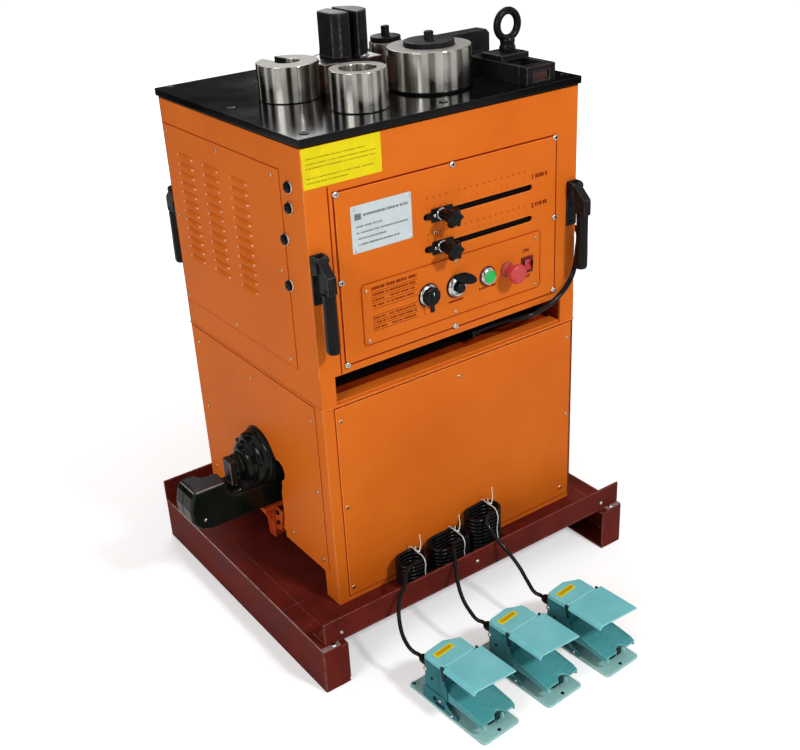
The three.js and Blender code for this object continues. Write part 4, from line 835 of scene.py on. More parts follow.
    def seam(self, axis: Axis, level: float, box: tuple[Pair, Pair], width: float = 2.2) -> "Form":
        """Draws the dark gap round a cover as a thin frame just outside its edge.

        Args:
            axis: The axis across the cover.
            level: The face that the cover lies on.
            box: The cover's two ranges.
            width: How wide the gap is.

        Returns:
            The piece.
        """
        (u0, u1), (v0, v1) = box
        outer = ((u0 - width, u1 + width), (v0 - width, v1 + width))
        inner = ((u0 - 0.2, u1 + 0.2), (v0 - 0.2, v1 + 0.2))
        return self.pierced(axis, (level - SEAM_PROUD, level + SEAM_DEEP), outer, [inner], 0.0)

    def dashes(self, level: float, span: Pair, z: float, height: float, seed: int) -> "Form":
        """Adds a broken bar that faces the front, in place of a printed line.

        Args:
            level: The face that it lies on.
            span: Its range from left to right.
            z: The height of its middle.
            height: How tall it is.
            seed: The number that the breaks follow from.

        Returns:
            The piece.
        """
        chance = random.Random(seed)
        x = span[0]
        while x < span[1] - 0.6:
            end = min(x + chance.uniform(0.9, 3.4), span[1])
            self.block((x, end), (level - 0.08, level + 0.2), (z - height / 2, z + height / 2), 0.0)
            x = end + (chance.uniform(1.6, 3.2) if chance.random() < 0.2 else 0.8)
        return self

    def lofted(self, loops: Sequence[Sequence[Sequence[float]]], soft: float = 0.0,
               segments: int = 2) -> "Form":
        """Adds a shape whose skin runs through closed loops and is shut at both ends.

        Args:
            loops: The loops, each a list of points.
            soft: The width of the softened edges.
            segments: How many faces go round an edge.

        Returns:
            The piece.
        """
        shape = self.blank()
        rings = []
        for loop in loops:
            points = [shape.verts.new(point) for point in loop]
            rings.append([shape.edges.new((a, b)) for a, b in zip(points, points[1:] + points[:1])])
        for near, far in zip(rings, rings[1:]):
            bmesh.ops.bridge_loops(shape, edges=near + far)
        for ring in (rings[0], rings[-1]):
            bmesh.ops.contextual_create(shape, geom=ring)
        return self.take(shape, soft, segments)

    def tube(self, points: Sequence[Sequence[float]], radius: float, closed: bool = False,
             sides: int = 4) -> "Form":
        """Adds a round wire along a smooth curve through some points.

        Args:
            points: The points.
            radius: The wire's radius.
            closed: Whether it joins up into a ring.
            sides: How fine the round section is.

        Returns:
            The piece.
        """
        curve = smooth_curve("wire", points, radius, sides, closed)
        curve.use_fill_caps = not closed
        holder = bpy.data.objects.new("wire", curve)
        mesh = bpy.data.meshes.new_from_object(holder)
        shape = self.blank()
        shape.from_mesh(mesh)
        bpy.data.objects.remove(holder)
        bpy.data.curves.remove(curve)
        bpy.data.meshes.remove(mesh)
        return self.take(shape)

    def words(self, body: str, size: float, corner: Triple, thick: float = 0.15) -> "Form":
        """Adds raised plain characters that face the front.

        Args:
            body: The characters.
            size: Their size.
            corner: Their lower left corner, on the surface that they lie on.
            thick: How far they stand out.

        Returns:
            The piece.
        """
        text = bpy.data.curves.new("characters", "FONT")
        text.body = body
        text.size = size
        text.extrude = thick
        text.resolution_u = 3
        text.offset = size * 0.035
        holder = bpy.data.objects.new("characters", text)
        mesh = bpy.data.meshes.new_from_object(holder)
        shape = self.blank()
        shape.from_mesh(mesh)
        upright = Matrix.Translation(corner) @ Matrix.Rotation(math.radians(90), 4, "X")
        bmesh.ops.transform(shape, matrix=upright, verts=shape.verts)
        bpy.data.objects.remove(holder)
        bpy.data.curves.remove(text)
        bpy.data.meshes.remove(mesh)
        return self.take(shape)

    def screw(self, axis: Axis, at: Sequence[float], outward: float, radius: float = 4.2,
              height: float = 2.4) -> "Form":
        """Adds a pan head with a cross recess.

        Args:
            axis: The screw's axis.
            at: Where it meets the sheet.
            outward: 1 where the head stands out along the axis and -1 against it.
            radius: The head's radius.
            height: The head's height.

        Returns:
            The piece.
        """
        arm, waist = radius * 0.52, radius * 0.13
        cross = [
            (arm, -waist), (arm, waist), (waist, waist), (waist, arm), (-waist, arm), (-waist, waist),
            (-arm, waist), (-arm, -waist), (-waist, -waist), (-waist, -arm), (waist, -arm), (waist, -waist),
        ]
        steps = [(1.0, 0.0), (1.0, 0.3), (0.93, 0.62), (0.78, 0.86), (0.6, 1.0)]
        loops = [[(r * radius * math.cos(a), r * radius * math.sin(a), h * height) for a in self.twelfths()]
                 for r, h in steps]
        loops.append([(u, v, height) for u, v in cross])
        loops.append([(u * 0.7, v * 0.7, height * 0.45) for u, v in cross])
        turn = AXIS_TURN[axis] if outward > 0 else AXIS_TURN[axis] @ Matrix.Rotation(math.pi, 4, "X")
        lift = Matrix.Translation(at) @ turn @ Matrix.Rotation((sum(at) * 0.7) % math.pi, 4, "Z")
        return self.lofted([[tuple(lift @ Vector(point)) for point in loop] for loop in loops])

    @staticmethod
    def twelfths() -> list[float]:
        """Angles of twelve points that pair with the corners of a cross."""
        return [math.radians(30 * index - 15) for index in range(12)]

    def screws(self, axis: Axis, level: float, spots: Iterable[Pair], outward: float, radius: float = 4.2,
               height: float = 2.4) -> "Form":
        """Adds a pan head at each spot of a sheet's face.

        Args:
            axis: The axis across the sheet.
            level: The face's place along the axis.
            spots: The screws' places in the other two coordinates.
            outward: 1 where the heads stand out along the axis and -1 against it.
            radius: The heads' radius.
            height: The heads' height.

        Returns:
            The piece.
        """
        for spot in spots:
            self.screw(axis, tuple(raised(axis, level, spot)), outward, radius, height)
        return self

    def finish(self, name: str, finish: Finish, body: str = "machine",
               replaces: Sequence[str] = ()) -> bpy.types.Object:
        """Makes the piece an object of the scene.

        Args:
            name: The piece's name.
            finish: Its finish.
            body: The body that it rides on.
            replaces: The CAD nodes that it stands for.

        Returns:
            The object.
        """
        move = Matrix.Scale(MILLIMETRE, 4) @ Matrix.Translation(ROW_SHIFT)
        bmesh.ops.transform(self.mesh, matrix=move @ (self.place or Matrix.Identity(4)),
                            verts=self.mesh.verts)
        worn = self.mesh.faces.layers.float["worn"]
        for face in self.mesh.faces:
            face.smooth = True
        for edge in self.mesh.edges:
            rubbed = any(face[worn] > 0 for face in edge.link_faces)
            edge.smooth = edge.calc_face_angle(0.0) < (WORN_TURN if rubbed else SHARP_TURN)
        mesh = bpy.data.meshes.new(name)
        self.mesh.to_mesh(mesh)
        self.mesh.free()
        mesh.materials.append(finish.material())
        piece = bpy.data.objects.new(name, mesh)
        bpy.context.scene.collection.objects.link(piece)
        shading = piece.modifiers.new("corner_shading", "WEIGHTED_NORMAL")
        shading.keep_sharp, shading.weight = True, 70
        settle(piece, finish.slot, body, replaces)
        return piece


def settle(piece: bpy.types.Object, slot: str, body: str, replaces: Sequence[str] = ()) -> None:
    """Joins a piece to its CAD body.

    Args:
        piece: The piece.
        slot: The record's material slot of its finish; not used.
        body: The body that it rides on.
        replaces: The CAD nodes that it stands for.
    """
    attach(piece, body)
    if replaces:
        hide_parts(*replaces)


def smooth_curve(name: str, points: Sequence[Sequence[float]], radius: float, fineness: int,
                 closed: bool = False) -> bpy.types.Curve:
    """Makes a round wire that passes smoothly through some points.

    Args:
        name: The curve's name.
        points: The points.
        radius: The wire's radius.
        fineness: How fine the round section is.
        closed: Whether it joins up into a ring.

    Returns:
        The curve.
    """
    curve = bpy.data.curves.new(name, "CURVE")
    curve.dimensions = "3D"
    curve.bevel_depth, curve.bevel_resolution, curve.resolution_u = radius, fineness, 4
    spline = curve.splines.new("BEZIER")
    spline.bezier_points.add(len(points) - 1)
    spline.use_cyclic_u = closed
    for knot, point in zip(spline.bezier_points, points):
        knot.co = point
        knot.handle_left_type = knot.handle_right_type = "AUTO"
    return curve


# The scene round the machine


@dataclass
class Studio:
    """The floor, the light and the camera of the photograph."""

    eye: Triple = (-1.00425, -1.44355, 1.33128)
    heading: float = -34.47
    tilt: float = 26.94
    roll: float = -3.08
    lens: float = 50.185
    floor_half: float = 9.0
    sky: float = 0.34
    flags: tuple[tuple[float, float, float], ...] = (
        (-78.0, 1.5, 5.0), (-38.0, 1.3, 5.0), (8.0, 1.0, 5.0), (40.0, 2.2, 5.2), (84.0, 2.6, 5.2),
        (128.0, 2.2, 5.2), (168.0, 1.2, 5.0), (200.0, 1.6, 5.0), (240.0, 1.2, 5.0),
    )
    flag_reach: float = 3.6
    lamps: tuple[tuple[str, Triple, float, float], ...] = (
        ("key_lamp", (0.5, -2.7, 2.65), 0.4, 66.0),
        ("side_lamp", (-3.2, -1.1, 2.1), 1.4, 52.0),
        ("back_lamp", (1.2, 3.2, 3.0), 2.2, 56.0),
    )

    def build(self) -> None:
        """Builds the studio."""
        self.build_camera()
        self.build_floor()
        self.build_world()
        for index, (direction, width, height) in enumerate(self.flags):
            self.build_flag(f"dark_card_{index}", direction, width, height)
        for name, place, size, power in self.lamps:
            self.build_lamp(name, Vector(place), size, power)
        bpy.context.scene.view_settings.view_transform = "Standard"

    def build_camera(self) -> None:
        """Puts the camera where the photograph was taken from."""
        turn, rise, lean = (math.radians(angle) for angle in (self.heading, self.tilt, self.roll))
        right = Vector((math.cos(turn), math.sin(turn), 0.0))
        up = Vector((-math.sin(turn) * math.sin(rise), math.cos(turn) * math.sin(rise), math.cos(rise)))
        back = Vector((math.sin(turn) * math.cos(rise), -math.cos(turn) * math.cos(rise), math.sin(rise)))
        leaning_right = right * math.cos(lean) + up * math.sin(lean)
        leaning_up = up * math.cos(lean) - right * math.sin(lean)
        matrix = Matrix((leaning_right, leaning_up, back)).transposed().to_4x4()
        matrix.translation = self.eye
        lens = bpy.data.cameras.new("camera")
        lens.lens, lens.sensor_width, lens.sensor_fit = self.lens, 36.0, "HORIZONTAL"
        camera = bpy.data.objects.new("camera", lens)
        camera.matrix_world = matrix
        bpy.context.scene.collection.objects.link(camera)
        bpy.context.scene.camera = camera

    def build_floor(self) -> None:
        """Lays a plain pale floor, whose far parts melt into the backdrop."""
        shape = bmesh.new()
        bmesh.ops.create_grid(shape, x_segments=1, y_segments=1, size=self.floor_half)
        mesh = bpy.data.meshes.new("floor")
        shape.to_mesh(mesh)
        shape.free()
        floor = bpy.data.objects.new("floor", mesh)
        bpy.context.scene.collection.objects.link(floor)
        material = bpy.data.materials.new("pale_floor")
        material.use_nodes = True
        material.node_tree.nodes.clear()
        wiring = Wiring(material.node_tree)
        place = wiring.add("ShaderNodeTexCoord").outputs["Object"]
        cloud = Finish.effect(wiring, Effects.mottle(), {"Vector": place, "Scale": 1.5})
        colour = wiring.mixed(cloud, (0.86, 0.86, 0.86), (0.89, 0.89, 0.89))
        shader = wiring.add("ShaderNodeBsdfPrincipled", {
            "Base Color": colour, "Roughness": 0.9, "Emission Color": (1.0, 1.0, 1.0, 1.0),
            "Emission Strength": 0.0, "Specular IOR Level": 0.2,
        })
        rays = wiring.add("ShaderNodeLightPath")
        away = wiring.add("ShaderNodeVectorMath", {0: place}, operation="LENGTH").outputs["Value"]
        lift = wiring.ranged(away, (0.6, 2.6), (0.34, 0.7))
        seen = wiring.add("ShaderNodeMath", {0: rays.outputs["Is Camera Ray"], 1: lift}, operation="MULTIPLY")
        wiring.tree.links.new(seen.outputs[0], shader.inputs["Emission Strength"])
        wiring.add("ShaderNodeOutputMaterial", {"Surface": shader.outputs["BSDF"]})
        mesh.materials.append(material)

    def build_flag(self, name: str, direction: float, width: float, height: float) -> None:
        """Stands a dark card round the machine that only its polished steel and gloss mirror.

        Args:
            name: The card's name.
            direction: Where it stands, in degrees round the machine from the right.
            width: Its width in metres.
            height: Its height in metres.
        """
        angle = math.radians(direction)
        shape = bmesh.new()
        bmesh.ops.create_grid(shape, x_segments=1, y_segments=1, size=0.5)
        stand = Matrix.Translation((self.flag_reach * math.cos(angle), self.flag_reach * math.sin(angle),
                                    height / 2))
        turn = Matrix.Rotation(angle + math.pi / 2, 4, "Z") @ Matrix.Rotation(math.pi / 2, 4, "X")
        size = Matrix.Diagonal((width, height, 1.0, 1.0))
        bmesh.ops.transform(shape, matrix=stand @ turn @ size, verts=shape.verts)
        mesh = bpy.data.meshes.new(name)
        shape.to_mesh(mesh)
        shape.free()
        mesh.materials.append(BLACK_CARD_AND_PAINTED_SHADE.material())
        card = bpy.data.objects.new(name, mesh)
        bpy.context.scene.collection.objects.link(card)
        card.visible_camera = card.visible_diffuse = card.visible_shadow = card.visible_transmission = False

    def build_world(self) -> None:
        """Fills the room with even light that looks white where it is seen or mirrored."""
        world = bpy.data.worlds.new("studio")
        bpy.context.scene.world = world
        world.use_nodes = True
        world.node_tree.nodes.clear()
        wiring = Wiring(world.node_tree)
        rays = wiring.add("ShaderNodeLightPath")
        seen = wiring.add("ShaderNodeMath", {
            0: rays.outputs["Is Camera Ray"], 1: rays.outputs["Is Glossy Ray"],
        }, operation="MAXIMUM")
        seen = wiring.add("ShaderNodeMath", {
            0: seen.outputs[0], 1: rays.outputs["Is Transmission Ray"],
        }, operation="MAXIMUM")
        strength = wiring.ranged(seen.outputs[0], (0.0, 1.0), (self.sky, 1.0))
        light = wiring.add("ShaderNodeBackground", {"Color": (1.0, 1.0, 1.0, 1.0), "Strength": strength})
        wiring.add("ShaderNodeOutputWorld", {"Surface": light.outputs["Background"]})

    @staticmethod
    def build_lamp(name: str, place: Vector, size: float, power: float) -> None:
        """Hangs a square soft lamp that faces the machine.

        Args:
            name: The lamp's name.
            place: Where it hangs, in metres.
            size: Its side.
            power: Its power in watts.
        """
        light = bpy.data.lights.new(name, "AREA")
        light.size, light.energy = size, power
        lamp = bpy.data.objects.new(name, light)
        lamp.matrix_world = (place - Vector((0.0, -0.05, 0.5))).to_track_quat("Z", "Y").to_matrix().to_4x4()
        lamp.location = place
        bpy.context.scene.collection.objects.link(lamp)


# Cords


@dataclass(frozen=True)
class Hank:
    """One pedal cord: a hank wound on the deck and a free stretch down to its pedal."""

    side: str
    x: float
    y: float
    z: float
    half_length: float
    loops: int
    exit_x: float
    route: tuple[Triple, ...]
    pedal: Triple
    diameter: float = 7.0
    half_depth: float = 21.0
    pitch: float = 7.8
    steps: int = 16
    hole_gap: float = 11.0
    gland: Triple = (-28.0, 164.3, 72.0)

    def hole(self) -> Triple:
        """Where the cord leaves the cabinet's front."""
        return (self.x + self.half_length + self.hole_gap, -6.3, 6.5)

    def wound(self) -> list[Triple]:
        """The points of the hank, from the cabinet to where the free stretch starts."""
        bend_radius = self.half_depth
        straight = 2 * (self.half_length - bend_radius)
        bend = math.pi * bend_radius
        loop = 2 * (straight + bend)
        end_at = bend + (self.x + self.half_length - bend_radius - self.exit_x)
        total = self.loops * loop + end_at - bend
        count = round(self.steps * total / loop)
        low = self.x - self.half_length + bend_radius
        high = self.x + self.half_length - bend_radius
        entry = self.hole()
        points = [
            entry,
            (entry[0], entry[1] - self.diameter, entry[2]),
            (entry[0] - self.hole_gap / 3, self.y - bend_radius / 2, (entry[2] + self.z) / 2),
            (high + bend_radius * 2 / 3, self.y - bend_radius, self.z - 0.3),
        ]
        for index in range(count + 1):
            along = bend + total * index / count
            turn = along % loop
            height = self.z + self.pitch * (along - bend) / loop
            if turn < bend:
                angle = math.pi / 2 - turn / bend_radius
                spot = (high + bend_radius * math.cos(angle), self.y + bend_radius * math.sin(angle))
            elif turn < bend + straight:
                spot = (high - (turn - bend), self.y - bend_radius)
            elif turn < 2 * bend + straight:
                angle = -math.pi / 2 - (turn - bend - straight) / bend_radius
                spot = (low + bend_radius * math.cos(angle), self.y + bend_radius * math.sin(angle))
            else:
                spot = (low + (turn - 2 * bend - straight), self.y + bend_radius)
            points.append((*spot, height))
        last = points[-1]
        points.append((last[0] - self.diameter, last[1], last[2]))
        return points

    def at_pedal(self, inner: Triple) -> Triple:
        """Moves a point of the pedal's own frame to the machine's."""
        spot = Matrix.Rotation(math.radians(PEDAL_TURN), 4, "Z") @ Vector(inner) + Vector(self.pedal)
        return tuple(spot)

    def points(self) -> list[Triple]:
        """The whole cord's points, down to the pedal's gland."""
        before = (self.gland[0], self.gland[1] + self.diameter, self.gland[2])
        return [*self.wound(), *self.route, self.at_pedal(before), self.at_pedal(self.gland)]

    def build(self) -> None:
        """Builds the cord with its wire tie."""
        lay_cord(
            f"{self.side}_pedal_lead", self.points(), self.diameter,
            [f"{self.side}_pedal_hank", f"{self.side}_pedal_cord"],
        )
        self.build_tie()

    def build_tie(self) -> None:
        """Twists a white wire round the hank's right part, with one long end and one short end."""
        top = self.z + self.pitch * self.loops + 5.0
        bottom = self.z - 5.0
        middle = self.x + self.half_length * 0.42
        near, far = self.y - self.half_depth - 4.6, self.y + self.half_depth + 4.6
        ring = [
            (middle, near + 1, bottom + 4), (middle - 1, self.y, bottom + 0.2), (middle, far, bottom + 4),
            (middle + 1, far + 0.4, (top + bottom) / 2), (middle + 2, far - 2, top - 2),
            (middle + 1, self.y, top + 0.4), (middle, near + 2, top - 2),
            (middle - 1, near - 0.3, (top + bottom) / 2),
        ]
        tie = Form().tube(ring, TIE_RADIUS, closed=True, sides=2)
        for lean, rise in ((-1.0, 9.0), (1.0, 30.0)):
            tie.tube([
                (middle + 1, self.y - 4, top + 0.4), (middle + 1 + lean * 2, self.y - 5, top + 3),
                (middle - lean * 2, self.y - 8, top + 5), (middle + lean * 4, self.y - 6, top + 8),
                (middle + lean * 5, self.y - 5, top + 8 + rise),
            ], TIE_RADIUS, sides=2)
        tie.finish(f"{self.side}_hank_tie", TIE_WIRE)


def lay_cord(name: str, points: Sequence[Triple], diameter: float,
             nodes: Sequence[str]) -> bpy.types.Object:
    """Args:
        name: The cord's name.
        points: Its points in millimetres, from where it leaves the machine.
        diameter: Its diameter in millimetres.
        nodes: The CAD nodes that it stands for.

    Returns:
        The cord.
    """
    row = [to_row(point) for point in points]
    curve = smooth_curve(name, row, diameter * MILLIMETRE / 2, 4)
    curve.use_fill_caps = True
    curve.materials.append(RUBBER.material())
    cord = bpy.data.objects.new(name, curve)
    bpy.context.scene.collection.objects.link(cord)
    settle(cord, RUBBER.slot, "machine", nodes)
    return cord


@dataclass
class MainsLead:
    """The mains cord from the slot, behind the right handle, to its coil and plug at the back."""

    diameter: float = 9.0
    start: tuple[Triple, ...] = (
        (350.3, 34, 412.7), (359.3, 34, 412.7), (362, 34, 413), (392, 20, 422), (430, -4, 429),
        (470, -9, 437), (505, -10, 452), (528, -10, 473), (540, -10, 500), (545, -9, 530), (552, -3, 556),
        (558, 20, 560), (560, 60, 520), (561, 120, 400), (562, 200, 260), (564, 300, 140), (566, 400, 70),
        (562, 468, 58), (530, 518, 53), (500, 536, 40), (468, 552, 5), (443, 568, -35), (426, 605.7, -72.7),
        (426, 614.7, -72.7),
    )
    centre: Pair = (360.0, 624.0)
    radius: float = 66.0
    turns: int = 3
    turn_pitch: float = 11.0
    top: float = -72.7
    bottom: float = -82.5
    steps: int = 20
    bend: float = 38.0
    plug_level: float = -76.0
    plug_at: float = 244.0

    def coil(self) -> list[Triple]:
        """The points of the two flat layers of the coil and the bend to the plug."""
        layer = 2 * math.pi * self.turns
        total = 2 * layer + math.pi
        count = round(self.steps * total / (2 * math.pi))
        x, y = self.centre
        points = []
        for index in range(1, count + 1):
            angle = total * index / count
            half = min(max((angle - layer) / math.pi, 0.0), 1.0)
            inwards = min(angle, layer) - max(angle - layer - math.pi, 0.0)
            reach = self.radius - self.turn_pitch * inwards / (2 * math.pi)
            height = self.top + (self.bottom - self.top) * half
            points.append((x + reach * math.cos(angle), y + reach * math.sin(angle), height))
        bend_x = x - self.radius - self.bend
        for index in range(1, 7):
            angle = -math.pi / 2 * index / 6
            height = self.bottom + (self.plug_level - self.bottom) * index / 6
            points.append((bend_x + self.bend * math.cos(angle), y + self.bend * math.sin(angle), height))
        points.append((self.plug_at + 0.3, y - self.bend, self.plug_level))
        return points

    def build(self) -> None:
        """Builds the lead, its tie and its plug."""
        pieces = [self.build_plug(), self.build_pins(), self.build_tie()]
        lay_cord(
            "mains_lead", [*self.start, *self.coil()], self.diameter,
            ["mains_cord", "mains_coil"],
        )

    def build_plug(self) -> bpy.types.Object:
        """A flat two-pin plug with a ribbed, tapered relief."""
        y, z, end = self.centre[1] - self.bend, self.plug_level, self.plug_at
        sections = (
            (end - 60, 15.5, 9.0), (end - 58, 17.0, 10.6), (end - 34, 17.0, 10.9), (end - 24, 12.5, 9.0),
            (end - 18, 9.5, 8.0), (end - 17.5, 7.5, 7.0),
        )
        plug = Form().lofted([
            [(x, y + u, z + v) for u, v in rounded(rectangle((-w, w), (-h, h)), 4.5, 4)]
            for x, w, h in sections
        ])
        profile = [(end - 20, 0.0), (end - 20, 6.8)]
        for rib in range(5):
            at, reach = end - 17 + rib * 4.2, 6.9 - rib * 0.35
            profile += [(at, reach - 1.2), (at + 0.6, reach), (at + 2.4, reach), (at + 3.0, reach - 1.2)]
        profile += [(end + 6, 5.1), (end + 6, 0.0)]
        plug.turned(Axis.X, (y, z), profile, sides=32)
        for rise in (-1.0, 1.0):
            level = z + rise * 10.4
            plug.block((end - 52, end - 38), (y - 9, y + 9), (level - 0.6, level + 0.6), 0.5)
        return plug.finish("mains_plug_body", BLACK_PLASTIC, replaces=["mains_plug"])

    def build_pins(self) -> bpy.types.Object:
        """The plug's two round pins."""
        y, z, end = self.centre[1] - self.bend, self.plug_level, self.plug_at
        pins = Form()
        for side in (-9.5, 9.5):
            pins.turned(Axis.X, (y + side, z), [
                (end - 79, 0.0), (end - 79, 1.5), (end - 77.5, 2.4), (end - 58, 2.4), (end - 58, 0.0),
            ], sides=24)
        return pins.finish("mains_plug_pins", CHROME)

    def build_tie(self) -> bpy.types.Object:
        """The white wire tie round the coil."""
        x, y = self.centre[0] + self.radius - 16, self.centre[1] + 3
        low, high = self.bottom - 2.4, self.top + 5.6
        ring = [
            (x - 26, y, (low + high) / 2), (x - 22, y, high - 0.6), (x, y + 1, high), (x + 18, y, high - 0.6),
            (x + 23, y, (low + high) / 2), (x + 19, y, low + 1.5), (x, y - 1, low + 0.2),
            (x - 22, y, low + 1.5),
        ]
        tie = Form().tube(ring, TIE_RADIUS, closed=True, sides=2)
        for lean in (-1.0, 1.0):
            tie.tube([
                (x, y + 1, high), (x + lean * 3, y + lean, high + 3), (x + lean * 8, y + lean * 6, high + 7),
                (x + lean * 15, y + lean * 8, high + 6),
            ], TIE_RADIUS, sides=2)
        return tie.finish("mains_coil_tie", TIE_WIRE)


HANKS = (
    Hank("left", 138, -28, 10, 27, 6, 132, (
        (104, -60, 56), (90, -74, 50), (62, -94, 33), (44, -120, 10), (36, -146, -4), (37, -166, -12),
    ), (80, -343, FLOOR)),
    Hank("middle", 223, -26, 12, 40, 6, 228, (
        (208, -60, 60), (200, -74, 51), (186, -96, 31), (175, -124, 7), (172, -150, -7), (173, -170, -14),
    ), (215.5, -346, FLOOR)),
    Hank("right", 304, -25, 14, 34, 9, 312, (
        (290, -52, 83), (287, -63, 74), (291, -77, 57), (299, -99, 36), (303, -128, 15), (300, -156, -2),
        (299, -176, -13),
    ), (341.5, -355, FLOOR)),
)


# Skid


@dataclass
class Skid:
    """The red skid: two channels, the deck with its rail and the lip at the back."""

    left: float = -90.3
    right: float = 607.0
    front: float = -87.0
    back: float = 518.0
    width: float = 50.0
    ledge: float = 35.0
    sheet: float = 4.0
    rebate: float = 3.3
    rail_setback: float = 12.0
    rail_height: float = 44.0
    rail_foot: float = 40.0

    def build(self) -> None:
        """Builds the skid."""
        self.build_runner("left", self.left, 1.0)
        self.build_runner("right", self.right, -1.0)
        self.build_deck()
        self.build_bare_steel()

    def build_runner(self, side: str, outer: float, inward: float) -> None:
        """A channel that opens inwards, with shut ends.

        Args:
            side: Its name.
            outer: The place of its outer face.
            inward: 1 where it opens to the right and -1 to the left.
        """
        def across(reach: float) -> float:
            """The place at a reach from the outer face."""
            return outer + inward * reach

        low, thick = FLOOR, self.sheet
        outline = [
            (across(self.width), low), (across(self.width), low + thick), (across(thick), low + thick),
            (across(thick), -self.rebate - thick), (across(self.width), -self.rebate - thick),
            (across(self.width), -self.rebate), (across(self.ledge), -self.rebate), (across(self.ledge), 0.0),
            (across(0.0), 0.0), (across(0.0), low),
        ]
        runner = Form().plate(Axis.Y, (self.front + 1, self.back - 1), outline, 1.4, 3)
        end = [
            (across(1.5), low + 1), (across(self.width - 9), low + 1), (across(self.width), low + 10),
            (across(self.width), -self.rebate), (across(self.ledge), -self.rebate),
            (across(self.ledge), -0.3), (across(1.5), -0.3),
        ]
        for start in (self.front, self.back - thick):
            runner.plate(Axis.Y, (start, start + thick), end, 1.0)
        runner.finish(f"{side}_skid_channel", SKID_RED, replaces=[f"{side}_runner"])

    def build_deck(self) -> None:
        """The deck sheet, the angle rail in front, its gusset and the lip behind."""
        rail = self.front + self.rail_setback
        inner = (self.left + self.ledge + 0.3, self.right - self.ledge - 0.3)
        deck = Form().block(inner, (rail, self.back), (-3.0, 0.0), 0.5)
        angle = [(rail, 0.3), (rail + self.rail_foot, 0.3), (rail + self.rail_foot, 4.3), (rail + 4, 4.3),
                 (rail + 4, self.rail_height), (rail, self.rail_height)]
        deck.plate(Axis.X, (self.left + self.rail_setback, self.right), angle, 1.0, 3)
        deck.block((self.left, self.right), (self.back - 4, self.back), (-2.0, self.rail_height), 1.0)
        for x in (self.left + self.rail_setback + 3, self.right - 7):
            deck.plate(Axis.X, (x, x + 4), [(rail + 3, 2), (rail + 34, 2), (rail + 3, 38)], 0.6)
        for x in (self.left + 42, 240.0, self.right - 42):
            weld = [(x + step * 4, rail + 41.5, 1.6 + (step % 2) * 0.6) for step in range(8)]
            deck.tube(weld, 1.7, sides=2)
        deck.finish("skid_deck_sheet", SKID_RED, replaces=["skid_deck"])

    def build_bare_steel(self) -> None:
        """The rubbed edge of each channel, the bare ends in front of the rail and their screws."""
        bare = Form()
        for outer, inward in ((self.left, 1.0), (self.right, -1.0)):
            ends = sorted((outer + inward * 1.6, outer + inward * 36))
            bare.block(tuple(ends), (self.front + 1.2, self.front + 11.0), (-0.6, 0.35), 0.2)
            rim = sorted((outer + inward * 0.5, outer + inward * 2.6))
            bare.block(tuple(rim), (self.front + 2, self.back - 3), (-0.8, 0.25), 0.3)
        bare.finish("rubbed_skid_edges", BARE_EDGE)
        spots = [(self.left + 25, self.front + 6), (self.right - 25, self.front + 6)]
        screws = Form().screws(Axis.Z, 0.35, spots, 1, 5, 3)
        rail = self.front + self.rail_setback
        screws.screws(Axis.Y, rail, [(-45.0, 14.0), (250.0, 22.0), (562.0, 14.0)], -1, 3.6, 2)
        screws.finish("skid_screws", CHROME)


# Cabinets


